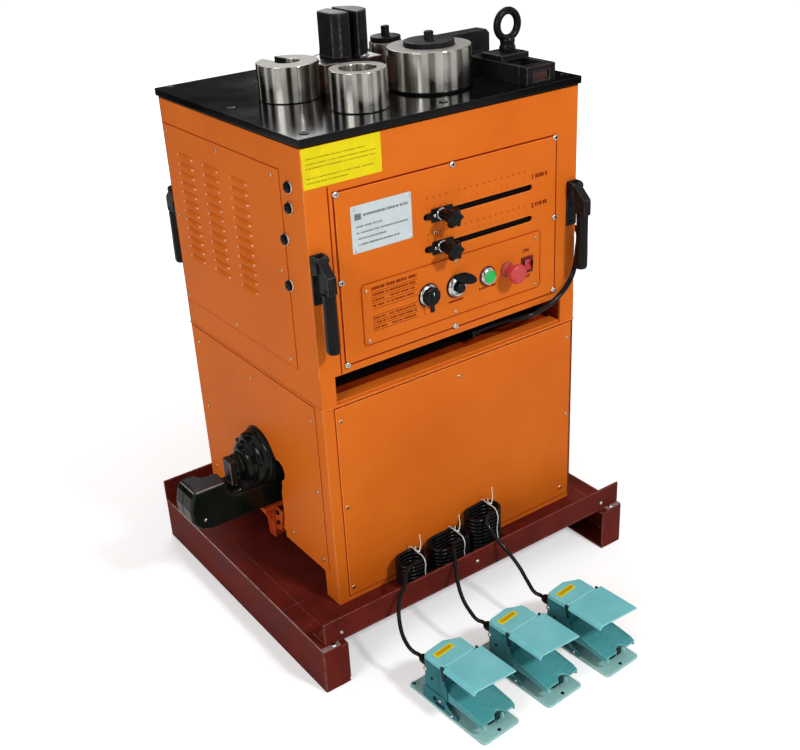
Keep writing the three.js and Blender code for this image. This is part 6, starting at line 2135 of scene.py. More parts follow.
    def build_stop(self) -> None:
        """The red mushroom head on its stem, over a red collar."""
        x, z = self.stop_x, self.level
        self.ring("stop_bezel", x, 13.6, 10.8, 9.0, STOP_STEM)
        Form().turned(Axis.Y, (x, z), [
            (-37.2, 0.0), (-37.2, 12.6), (-36.7, 13.0), (-36.9, 13.5), (-37.3, 14.2), (-36.4, 16.0),
            (-34.4, 17.2), (-30.6, 17.6), (-28.6, 17.2), (-27.0, 15.4), (-26.6, 12.0), (-25.0, 9.6),
            (-2.0, 9.2), (25.0, 9.0), (25.0, 0.0),
        ], 0.0, 72).finish("stop_head", STOP_RED, "stop", ["stop_button"])

    def build_rocker(self) -> None:
        """The rocker in its dark frame."""
        x, z, f = self.rocker_x, self.level - 3.0, self.front
        outer = ((x - 12.9, x + 12.9), (z - 14.8, z + 14.8))
        inner = ((x - 9.9, x + 9.9), (z - 12.2, z + 12.2))
        Form().pierced(Axis.Y, (f - 3.0, f + 0.4), outer, [inner], 0.9, 2).finish("rocker_rim", RIM_RED)
        section = [(-7.6, z + 9.8), (-6.6, z + 10.4), (-2.9, z + 0.4), (-2.9, z - 0.4), (-5.6, z - 10.4),
                   (-6.2, z - 9.8), (-3.0, z - 10.4), (4.0, z - 8.0), (4.0, z + 8.0), (-3.0, z + 10.6)]
        keys = Form().plate(Axis.X, (x - 9.1, x + 9.1), section, 0.4)
        keys.finish("rocker_keys", ROCKER_RED, "rocker", ["rocker_switch"])


# Carry handles


@dataclass
class CarryHandle:
    """One folding handle, its bracket on the cabinet and its arm with the grip."""

    name: str
    x: float
    wall: float
    outward: float

    def spot(self, x: float, depth: float, z: float) -> Triple:
        """A point at a depth out from the cabinet's wall."""
        return (self.x + x, self.wall + self.outward * depth, z)

    def depths(self, first: float, second: float) -> Pair:
        """Two depths out from the wall as a range of y."""
        return tuple(sorted((self.wall + self.outward * first, self.wall + self.outward * second)))

    def side(self, outline: Sequence[Pair]) -> list[Pair]:
        """An outline of depths out from the wall and heights, seen from the side."""
        return [(self.wall + self.outward * depth, z) for depth, z in outline]

    def build(self) -> None:
        """Builds the handle."""
        self.build_bracket()
        self.build_arm()

    def build_bracket(self) -> None:
        """The bent plate with two ears and the pivot's heads."""
        bracket = Form()
        plate = rounded(rectangle((self.x - 11.25, self.x + 11.25), (574, 655)), 2.5)
        bracket.plate(Axis.Y, self.depths(0.3, 3.4), plate, 0.6)
        ear = self.side([(0.4, 622), (17, 629), (17, 651), (13, 655), (0.4, 655)])
        for x in (-11.25, 8.25):
            bracket.plate(Axis.X, (self.x + x, self.x + x + 3), ear, 0.6)
        bracket.block((self.x - 10.5, self.x + 10.5), self.depths(0.4, 4.0), (652.2, 655.0), 0.5)
        bracket.finish(f"{self.name}_hinge_bracket", BLACKENED, replaces=[f"{self.name}_handle_bracket"])
        rivets = Form()
        for z in (581.0, 612.0):
            rivets.screw(Axis.Y, self.spot(0, 3.4, z), self.outward, 3.0, 1.6)
        for flank in (-1.0, 1.0):
            base = self.x + flank * 11.25
            rivets.turned(Axis.X, (self.wall + self.outward * 12, 647), [
                (base - flank * 0.2, 2.2), (base - flank * 0.2, 6.6), (base + flank * 0.9, 6.6),
                (base + flank * 1.5, 5.8), (base + flank * 1.5, 3.2), (base + flank * 0.4, 2.2),
            ], sides=32)
        rivets.finish(f"{self.name}_hinge_rivets", BLACKENED)

    def build_arm(self) -> None:
        """The flat folded arm with its elbow, the pin and the rounded grip."""
        body = f"{self.name}_handle"
        arm = Form()
        flat = self.side([
            (9.4, 654), (15.5, 654), (17.5, 650), (41.5, 628), (42, 622), (42, 600), (18, 600), (17.5, 606),
            (17, 624), (8, 638), (7, 646),
        ])
        for x in (-7.95, 5.2):
            arm.plate(Axis.X, (self.x + x, self.x + x + 2.75), flat, 0.7)
        back = self.side([
            (15.5, 653.5), (17.5, 650), (41.5, 628), (42, 622), (42, 600), (38.6, 600), (38.6, 621),
            (38, 625), (14.5, 648),
        ])
        arm.plate(Axis.X, (self.x - 7.6, self.x + 7.6), back, 0.7)
        pin = (self.wall + self.outward * 12, 647)
        arm.rod(Axis.X, (self.x - 8.1, self.x + 8.1), pin, 4.2, soft=0.3, sides=24)
        arm.finish(f"{self.name}_arm", BLACKENED, body, [f"{self.name}_carry_handle"])
        grip = Form()
        levels = (
            (500.0, 0.62), (500.8, 0.8), (503.0, 0.93), (507.0, 1.0), (530.0, 1.0), (560.0, 0.95),
            (590.0, 0.93), (599.0, 0.95), (600.6, 0.84), (601.0, 0.7),
        )
        section = rounded(circle((0, 0), 12.6, 8, 22.5), 4.5, 3)
        grip.lofted([
            [self.spot(u * scale * 0.94, 30 + v * scale * 0.94, z) for u, v in section] for z, scale in levels
        ])
        grip.finish(f"{self.name}_grip", BLACK_PLASTIC, body)
        rivets = Form()
        for flank in (-1, 1):
            rivets.screw(Axis.X, self.spot(flank * 7.9, 33, 606), flank, 2.8, 1.4)
        rivets.finish(f"{self.name}_arm_rivets", BLACKENED, body)


# Bending table


@dataclass
class BendingTable:
    """The black table with the gearbox boss, the bending head, rollers, sleeves and stops."""

    x: Pair = (-3.5, 550.5)
    y: Pair = (-5.0, 476.0)
    bottom: float = 820.0
    top: float = 832.0
    seat: float = 832.3
    head: Pair = (238.0, 250.0)
    boss: tuple[Pair, Pair] = ((180.0, 296.0), (207.0, 297.0))
    boss_top: float = 878.0
    big_roller: Pair = (332.0, 126.0)
    small_roller: Pair = (345.0, 268.0)
    slotted_sleeve: Pair = (127.0, 234.0)
    ring_sleeve: Pair = (168.0, 91.0)
    eyebolt: Pair = (472.0, 94.0)

    def build(self) -> None:
        """Builds the table and all that stands on it."""
        self.build_plate()
        self.build_gearbox()
        self.build_head()
        self.build_big_roller()
        self.build_small_roller()
        self.build_slotted_sleeve()
        self.build_ring_sleeve()
        self.build_fence()
        self.build_stop_guide()
        self.build_slider()
        self.build_eyebolt()

    def build_plate(self) -> None:
        """The plate and its screws."""
        outline = rounded(rectangle(self.x, self.y), 3.0, 3)
        plate = Form().plate(Axis.Z, (self.bottom, self.top), outline, 1.2, 3)
        plate.finish("bending_plate", TABLE_BLACK, replaces=["top_table"])
        spots = [(20, 462), (22, 241), (22, 20), (537, 24), (278, 22), (146, 378), (530, 455)]
        rim = [(832.0, 3.0), (832.05, 6.6), (832.5, 7.0), (833.2, 6.4), (833.6, 4.8), (833.6, 3.4),
               (832.6, 3.0)]
        screws = Form()
        for spot in spots:
            screws.turned(Axis.Z, spot, rim, sides=32)
            screws.rod(Axis.Z, (831.6, 832.8), spot, 3.4, soft=0.2, sides=6)
        screws.finish("table_screws", BLACK_PAINTED)

    def build_gearbox(self) -> None:
        """The boss that comes up through the table, with its machined top, over the gearbox."""
        (x0, x1), (y0, y1) = self.boss
        outline = rounded(rectangle((x0, x1), (y0, y1)), 4, 3)
        boss = Form().plate(Axis.Z, (800.0, self.boss_top - 0.4), outline, 1.6, 3)
        boss.block((x0 - 14, x0 + 6), (y0 + 14, y1 - 14), (831.0, 846.0), 2.0)
        housing = rounded(rectangle((148, 328), (158, 338)), 16, 5)
        boss.plate(Axis.Z, (652.0, 808.0), housing, 3.0, 3)
        boss.rod(Axis.Z, (639.7, 653.0), self.head, 86.0, soft=2.0, sides=64)
        for z in (680.0, 720.0, 760.0):
            boss.plate(Axis.Z, (z, z + 8), rounded(rectangle((142, 334), (152, 344)), 18, 5), 1.5)
        boss.finish("gearbox_housing", RUSTY, replaces=["bending_gearbox"])
        outline = rounded(rectangle((x0 + 1.6, x1 - 1.6), (y0 + 1.6, y1 - 1.6)), 3, 3)
        face = Form().plate(Axis.Z, (self.boss_top - 1.5, self.boss_top), outline, 0.5)
        face.finish("gearbox_machined_face", FACED_STEEL)
        section = [(876.0, 43.0), (878.25, 43.0), (878.25, 49.0), (877.6, 50.0), (876.0, 50.0)]
        Form().turned(Axis.Z, self.head, section, sides=72).finish("head_seat_ring", BLACKENED)

    def build_head(self) -> None:
        """The slotted bending head: two cheeks on a round neck."""
        x, y = self.head
        head = Form()
        left = [(233, 205), (213, 205), (203, 215), (203, 257), (214, 265), (233, 270)]
        right = [(243, 198), (250, 199), (264, 206), (274, 217), (277, 236), (275, 252), (264, 266),
                 (252, 273), (243, 275)]
        for outline in (left, right):
            head.plate(Axis.Z, (884.0, 955.3), outline, 2.2, 3)
        foot = [(850.3, 0.0), (850.3, 30.0), (877.0, 30.0), (878.4, 34.0), (884.5, 34.0), (903.3, 32.0),
                (903.3, 0.0)]
        head.turned(Axis.Z, (x, y), foot, 0.5, 72)
        head.finish("bending_head_cheeks", BLACKENED, "bending_head", ["bending_head"])
        angle = math.radians(-52)
        at = Vector((x + 39.4 * math.cos(angle), y + 39.4 * math.sin(angle), 891))
        upright = Matrix.Rotation(math.radians(90), 4, "Y")
        turn = Matrix.Translation(at) @ Matrix.Rotation(angle, 4, "Z") @ upright
        steps = ((0.0, 4.6), (0.8, 4.6), (1.0, 3.9), (1.0, 2.6), (-1.6, 2.4))
        loops = [[tuple(turn @ Vector((u, v, h))) for u, v in circle((0.0, 0.0), r, 24)] for h, r in steps]
        Form().lofted(loops).finish("head_set_screw", CHROME, "bending_head")

    def end_face(self, name: str, centre: Pair, level: float, inner: float, outer: float, body: str) -> None:
        """The duller ground end face of a roller or sleeve.

        Args:
            name: The piece's name.
            centre: The centre.
            level: The height of the face.
            inner: Its inner radius.
            outer: Its outer radius.
            body: The body that it rides on.
        """
        Form().turned(Axis.Z, centre, [
            (level - 1.0, inner), (level + 0.12, inner), (level + 0.12, outer), (level - 1.0, outer),
        ], 0.0, 96).finish(name, GROUND_FACE, body)

    def tool_cap(self, name: str, centre: Pair, low: float, high: float, radius: float, body: str) -> None:
        """The dark washer on top of a roller, its rim bevelled.

        Args:
            name: The piece's name.
            centre: The roller's centre.
            low: The washer's underside.
            high: Its top.
            radius: Its radius.
            body: The body that it rides on.
        """
        Form().turned(Axis.Z, centre, [
            (low, 0.0), (low, radius - 1), (low + 1, radius), (high - 1.4, radius),
            (high - 0.4, radius - 0.8), (high, radius - 1.8), (high, 0.0),
        ], 0.0, 72).finish(name, BLACKENED, body)

    def bolt(self, name: str, centre: Pair, low: float, high: float, radius: float) -> None:
        """A threaded stud with a pointed end.

        Args:
            name: The piece's name.
            centre: Its centre.
            low: Where it comes out.
            high: Its top.
            radius: Its radius.
        """
        profile = [(low - 2, 0.0), (low - 2, radius)]
        height = low
        while height < high - 4:
            profile += [(height, radius - 0.5), (height + 0.9, radius), (height + 1.2, radius)]
            height += 2.0
        profile += [(high - 1.6, radius), (high - 0.5, radius - 0.8), (high, radius - 1.8), (high, 0.0)]
        Form().turned(Axis.Z, centre, profile, 0.0, 40).finish(name, BLACKENED)

    def build_big_roller(self) -> None:
        """The big roller on its pin, with cap washer and stud."""
        centre = self.big_roller
        section = [(835.0, 21.0), (835.0, 70.0), (899.0, 70.0), (899.0, 21.0)]
        roller = Form().turned(Axis.Z, centre, section, 1.6, 112, 3)
        roller.finish("big_roller_ring", TURNED_STEEL, "big_roller", ["big_roller"])
        self.end_face("big_roller_face", centre, 899.0, 43.0, 68.4, "big_roller")
        pin = Form().turned(Axis.Z, centre, [
            (820.0, 0.0), (820.0, 20.0), (832.2, 20.0), (832.2, 65.5), (834.6, 65.5), (834.6, 20.6),
            (899.3, 20.6), (899.3, 0.0),
        ], 0.3, 72)
        pin.finish("big_roller_seat", BLACKENED, replaces=["big_roller_pin"])
        self.tool_cap("big_roller_cap", centre, 899.3, 907.3, 42.0, "machine")
        self.bolt("big_roller_stud", centre, 907.0, 921.0, 8.0)

    def build_small_roller(self) -> None:
        """The small roller on its pin, with cap washer and stud."""
        centre = self.small_roller
        section = [(834.2, 12.0), (834.2, 29.0), (886.2, 29.0), (886.2, 12.0)]
        roller = Form().turned(Axis.Z, centre, section, 1.2, 72, 3)
        roller.finish("small_roller_ring", TURNED_STEEL, "small_roller", ["small_roller"])
        self.end_face("small_roller_face", centre, 886.2, 26.8, 28.2, "small_roller")
        pin = Form().turned(Axis.Z, centre, [
            (820.0, 0.0), (820.0, 11.0), (832.2, 11.0), (832.2, 27.0), (833.9, 27.0), (833.9, 11.7),
            (886.5, 11.7), (886.5, 0.0),
        ], 0.2, 56)
        pin.finish("small_roller_seat", BLACKENED, replaces=["small_roller_pin"])
        self.tool_cap("small_roller_cap", centre, 886.5, 895.5, 26.5, "machine")
        self.bolt("small_roller_stud", centre, 895.0, 912.2, 7.5)

    def build_slotted_sleeve(self) -> None:
        """The thick sleeve with a slot towards the back."""
        centre, outer, inner, half = Vector(self.slotted_sleeve), 51.0, 19.5, 12.0
        turn = math.radians(98)
        gap, gap_in = math.asin(half / outer), math.asin(half / inner)
        outline = []
        for step in range(101):
            angle = turn + gap + (2 * math.pi - 2 * gap) * step / 100
            outline.append(tuple(centre + outer * Vector((math.cos(angle), math.sin(angle)))))
        for step in range(49):
            angle = turn - gap_in - (2 * math.pi - 2 * gap_in) * step / 48
            outline.append(tuple(centre + inner * Vector((math.cos(angle), math.sin(angle)))))
        sleeve = Form().plate(Axis.Z, (self.seat, 890.3), outline, 1.4, 3)
        sleeve.finish("slotted_sleeve_ring", TURNED_STEEL, "slotted_sleeve", ["slotted_sleeve"])
        middle = (outer + inner) / 2
        face = []
        for point in outline:
            arm = Vector(point) - centre
            face.append(tuple(centre + arm * (1 + math.copysign(1.6, middle - arm.length) / arm.length)))
        end = Form().plate(Axis.Z, (889.6, 890.42), face, 0.0)
        end.finish("slotted_sleeve_face", GROUND_FACE, "slotted_sleeve")

    def build_ring_sleeve(self) -> None:
        """The plain sleeve with its wide bore."""
        section = [(self.seat, 28.5), (self.seat, 46.0), (893.3, 46.0), (893.3, 28.5)]
        sleeve = Form().turned(Axis.Z, self.ring_sleeve, section, 1.6, 96, 3)
        sleeve.finish("ring_sleeve_ring", TURNED_STEEL, "ring_sleeve", ["ring_sleeve"])
        self.end_face("ring_sleeve_face", self.ring_sleeve, 893.3, 30.0, 44.4, "ring_sleeve")

    def build_fence(self) -> None:
        """The long bar behind the big roller, its upper corners cut off, with two bolt ends."""
        section = [(402, self.seat), (543, self.seat), (543, 877), (536, 884.3), (409, 884.3), (402, 876)]
        bar = Form().plate(Axis.Y, (225, 253), section, 1.2, 3)
        bar.finish("fence_bar_body", BLACKENED, replaces=["fence_bar"])
        top = Form().block((411, 534.5), (226.5, 251.5), (883.6, 884.5), 0.3)
        top.finish("fence_bar_worn_top", BLACKENED)
        ends = Form()
        profile = [(224.6, 0.0), (224.6, 7.5), (225.4, 8.0), (226.0, 8.0), (226.0, 0.0)]
        for x in (430, 515):
            ends.turned(Axis.Y, (x, 858), profile, sides=32)
        ends.finish("fence_bar_bolt_ends", BLACK_PAINTED)

    def build_stop_guide(self) -> None:
        """The guide block with its long slot and the opening in its front end."""
        guide = Form()
        (x0, x1), (y0, y1), (z0, z1) = (437, 499), (5, 155), (self.seat, 861.3)
        guide.plate(Axis.Y, (y0 + 20, y1), [
            (x0, z0), (x1, z0), (x1, z1), (489, z1), (489, z1 - 16), (447, z1 - 16), (447, z1), (x0, z1),
        ], 1.0)
        guide.block((x0, x1), (y1 - 10.2, y1), (z0, z1), 1.2, 3)
        guide.pierced(Axis.Y, (y0, y0 + 20.4), ((x0, x1), (z0, z1)), [((451, 486), (837.0, 852.0))], 1.2, 2)
        guide.finish("stop_guide_block", BLACKENED, replaces=["stop_guide"])
        hollow = Form().block((450.4, 486.6), (y0 + 5, y0 + 12), (836.4, 852.6), 0.0)
        hollow.finish("stop_guide_opening", RUSTY)
        worn = Form()
        for x in (x0 + 0.4, x1 - 9.4):
            worn.block((x + 0.3, x + 8.8), (y0 + 21, y1 - 1), (z1 - 0.4, z1 + 0.12), 0.1)
        worn.block((x0 + 1, x1 - 1), (y0 + 1, y0 + 19), (z1 - 0.4, z1 + 0.12), 0.1)
        worn.finish("stop_guide_worn_top", BLACKENED)

    def build_slider(self) -> None:
        """The slider block in the guide's slot."""
        slider = Form().block((437.4, 496.6), (67, 121), (861.6, 871.6), 1.4, 3)
        slider.block((448.4, 487.6), (76, 112), (850.6, 862.2), 0.6)
        slider.finish("stop_slider_block", BLACKENED, "stop_slider", ["stop_slider"])
        heads = Form()
        profile = [(871.4, 0.0), (871.4, 4.6), (872.6, 4.6), (873.2, 4.0), (873.2, 2.4), (872.2, 2.2),
                   (872.2, 0.0)]
        for spot in ((446, 75), (487, 75)):
            heads.turned(Axis.Z, spot, profile, sides=24)
        heads.finish("stop_slider_screws", BLACK_PAINTED, "stop_slider")

    def build_eyebolt(self) -> None:
        """The eyebolt that clamps the slider."""
        (x, y), ring_z, ring_r, wire = self.eyebolt, 914.9, 22.2, 6.3
        bolt = Form().turned(Axis.Z, (x, y), [
            (853.9, 0.0), (853.9, 6.0), (871.9, 6.0), (871.9, 13.2), (873.0, 13.8), (879.5, 13.8),
            (882.0, 12.4),
            (885.0, 12.0), (888.0, 12.8), (891.5, 12.6), (895.5, 10.0), (897.5, 5.0), (897.5, 0.0),
        ], 0.0, 48)
        eye = [(u, y, v) for u, v in circle((x, ring_z), ring_r, 24)]
        bolt.tube(eye, wire, closed=True, sides=8)
        bolt.finish("eyebolt", BLACK_PAINTED, "stop_eyebolt", ["stop_eyebolt"])


# Cutter and drives


@dataclass
class Cutter:
    """The rebar cutter on the left side: its C-shaped body, barrel, ram and blades."""

    centre: Pair = (239.0, 200.0)

    def build(self) -> None:
        """Builds the cutter."""
        self.build_body()
        self.build_barrel()
        self.build_ram()
        self.build_blades()
        self.build_spring()

    def build_body(self) -> None:
        """The casting: the beam with its end block, the neck behind the blades and the inner part."""
        body = Form()
        foot = [(26, 106), (-126, 106), (-150, 114), (-162, 132), (-163, 156), (-157, 180), (-150, 191)]
        near = rounded([*foot, (-89, 191), (-88, 180), (-87.5, 168), (-70, 158), (26, 154)], 6, 4)
        body.plate(Axis.Y, (211, 254), near, 5.0, 4)
        far = rounded([*foot, (-122, 191), (-120, 178), (-88, 178), (-84, 165), (26, 160)], 7, 4)
        body.plate(Axis.Y, (238, 272), far, 4.0, 4)
        body.lofted([[(x, y, z) for y, z in rounded(rectangle((214, 239 + w), (108, 108 + h)), 8, 4)]
                     for x, w, h in ((-8, 38, 62), (-62, 33, 56), (-78, 30, 50))], 2.0, 2)
        body.block((24, 159.7), (178, 300), (106, 255), 5.0, 4)
        body.finish("cutter_casting", CASTING, replaces=["cutter_body"])
        # Thin bright steel lines along the end block's top edges: partly worn bare steel, partly a painted
        # highlight on the rounded edges
        front_edge = [(-147, 213.0, 189.0), (-136, 212.6, 189.6), (-112, 212.4, 189.8), (-93, 212.8, 189.6)]
        end_edge = [(-150.0, 214.5, 188.6), (-150.6, 228, 189.0), (-151, 246, 189.2), (-150.8, 266, 188.6)]
        edges = Form().tube(front_edge, 1.5, sides=2)
        edges.tube(end_edge, 1.3, sides=2)
        edges.finish("cutter_worn_edges_and_painted_highlight", FACED_STEEL)
        face = rounded([(-143, 216), (-92, 216), (-92, 250), (-117, 250), (-125, 266), (-146, 266)], 3, 3)
        Form().plate(Axis.Z, (190.2, 191.3), face, 0.3).finish("cutter_block_face", BLACKENED)
        rim = [(211.6, 1.0), (211.0, 3.0), (209.4, 3.2), (208.4, 2.2), (208.4, 1.0)]
        Form().turned(Axis.Y, (-137, 131), rim, sides=24).finish("cutter_side_screw", CHROME)

    def build_barrel(self) -> None:
        """The stepped barrel that goes through the keyhole."""
        c = self.centre
        barrel = Form().turned(Axis.X, c, [
            (30, 23.4), (30, 55.0), (-5, 55.0), (-9, 53.4), (-11, 51.6), (-14, 51.2), (-20, 49.6),
            (-26, 46.0), (-28.5, 41.0), (-29.0, 38.4), (-31.0, 37.6), (-36, 35.4), (-41, 33.0), (-43.5, 29.6),
            (-44.6, 25.6), (-45.0, 23.4),
        ], 0.0, 96)
        barrel.finish("cutter_barrel", CASTING)
        rings = Form()
        for low, high, radius in ((-3.4, -0.8, 56.0), (-36.0, -34.4, 36.9)):
            section = [(low, radius - 3), (low, radius), (high, radius), (high, radius - 3)]
            rings.turned(Axis.X, c, section, 0.5, 96)
        rings.finish("cutter_barrel_rings", CASTING)
        bolts = Form()
        profile = [(-22.0, 0.0), (-22.0, 4.2), (-28.6, 4.2), (-29.4, 3.4), (-29.4, 2.0), (-27.6, 1.8),
                   (-27.6, 0.0)]
        for angle in (35, 80, 125, 170, 215):
            bolts.turned(Axis.X, polar(c, 44.0, math.radians(angle)), profile, sides=24)
        bolts.finish("cutter_barrel_bolts", BLACKENED)

    def build_ram(self) -> None:
        """The ram with the blade holder on its end."""
        ram = Form().turned(Axis.X, self.centre, [
            (61, 0.0), (61, 21.6), (-48.0, 22.0), (-50.0, 20.6), (-58.0, 20.6), (-59.4, 19.0), (-59.4, 0.0),
        ], 0.6, 64)
        ram.block((-61.2, -59.3), (224, 254), (176, 214), 0.5, 2)
        ram.finish("cutter_ram_bar", CASTING, "cutter_ram", ["cutter_ram"])
        hook = [(-61.6, 215.6), (-46.5, 215.6), (-46.5, 210.8), (-56.0, 210.8), (-56.0, 192.0),
                (-61.6, 192.0)]
        holder = Form().plate(Axis.Y, (227, 251), hook, 0.7)
        holder.finish("cutter_blade_holder", BLACKENED, "cutter_ram")
        bolt = Form().rod(Axis.Y, (221.0, 227.6), (-57.4, 198), 4.2, soft=0.6, sides=6)
        bolt.rod(Axis.Z, (214.0, 218.6), (-54, 239), 4.6, soft=0.6, sides=6)
        bolt.finish("cutter_holder_bolts", BLACKENED, "cutter_ram")

    def build_blades(self) -> None:
        """The moving and the fixed blade."""
        moving = Form().block((-71, -61.4), (225, 253), (168, 215.2), 1.2, 3)
        moving.finish("cutter_moving_blade", BLACKENED, "cutter_ram", ["moving_blade"])
        edge = Form().block((-71.4, -68.6), (225.6, 252.4), (167.8, 171.6), 0.8)
        edge.block((-71.4, -70.2), (224.8, 226.4), (171.6, 214.2), 0.4)
        edge.finish("cutter_moving_edge", FACED_STEEL, "cutter_ram")
        fixed = Form().block((-96, -86.4), (224, 254), (165, 188), 1.0)
        fixed.finish("cutter_fixed_blade", BLACKENED, replaces=["fixed_blade"])

    def build_spring(self) -> None:
        """The return spring in front of the ram, half sunk in its seat."""
        turns, steps, reach = 7, 20, 6.6
        points = []
        for index in range(turns * steps + 1):
            angle = 2 * math.pi * index / steps
            along = -58 + 34 * index / (turns * steps)
            points.append((along, 214.0 + reach * math.cos(angle), 169 + reach * math.sin(angle)))
        Form().tube(points, 1.5, sides=2).finish("cutter_return_spring", BLACKENED)
        seat = Form().block((-60, -22), (218, 262), (150, 165.5), 1.6, 3)
        seat.finish("cutter_spring_seat", CASTING)


@dataclass
class Drives:
    """The two motors inside the cabinets."""

    pump_centre: Pair = (239, 150)
    pump_span: Pair = (160, 400)
    pump_radius: float = 70
    bending_centre: Pair = (238, 250)
    bending_span: Pair = (430.4, 639.4)
    bending_radius: float = 75

    def build(self) -> None:
        """Builds the drives."""
        pump = (self.pump_centre, self.pump_span, self.pump_radius)
        self.build_motor(Axis.X, *pump, "pump_motor", "pump_drive")
        bending = (self.bending_centre, self.bending_span, self.bending_radius)
        self.build_motor(Axis.Z, *bending, "bending_motor", "bending_drive")

    def build_motor(self, axis: Axis, centre: Pair, span: Pair, radius: float, node: str, name: str) -> None:
        """A ribbed motor with end bells and a fan cover.

        Args:
            axis: The axis that it lies along.
            centre: Its centre across the axis.
            span: Its range along the axis.
            radius: Its radius.
            node: The CAD node that it stands for.
            name: The start of its pieces' names.
        """
        low, high = span
        motor = Form().turned(axis, centre, [
            (low, 0.0), (low, radius - 18), (low + 6, radius - 8), (low + 30, radius - 6),
            (high - 34, radius - 6),
            (high - 30, radius - 3), (high - 6, radius - 5), (high, radius - 14), (high, 0.0),
        ], 1.0, 64)
        for index in range(28):
            angle = 2 * math.pi * index / 28
            base, tip = radius - 8, radius - 0.4
            across = Vector((math.cos(angle), math.sin(angle)))
            side = Vector((-math.sin(angle), math.cos(angle))) * 1.4
            corners = [
                across * base - side, across * tip - side * 0.7, across * tip + side * 0.7,
                across * base + side,
            ]
            rib = [(centre[0] + c[0], centre[1] + c[1]) for c in corners]
            motor.plate(axis, (low + 32, high - 36), rib, 0.0)
        if axis is Axis.X:
            motor.block((low + 50, high - 50), (centre[0] - 52, centre[0] + 52), (0.3, 14.0), 1.5)
            motor.block((low + 60, high - 60), (centre[0] - 30, centre[0] + 30), (10.0, 92.0), 1.5)
            box = (centre[1] + 60, centre[1] + 70)
            motor.block((low + 60, low + 130), (centre[0] - 34, centre[0] + 34), box, 3.0)
        motor.finish(f"{name}_motor", MOTOR_GREY, replaces=[node])


# Foot pedals


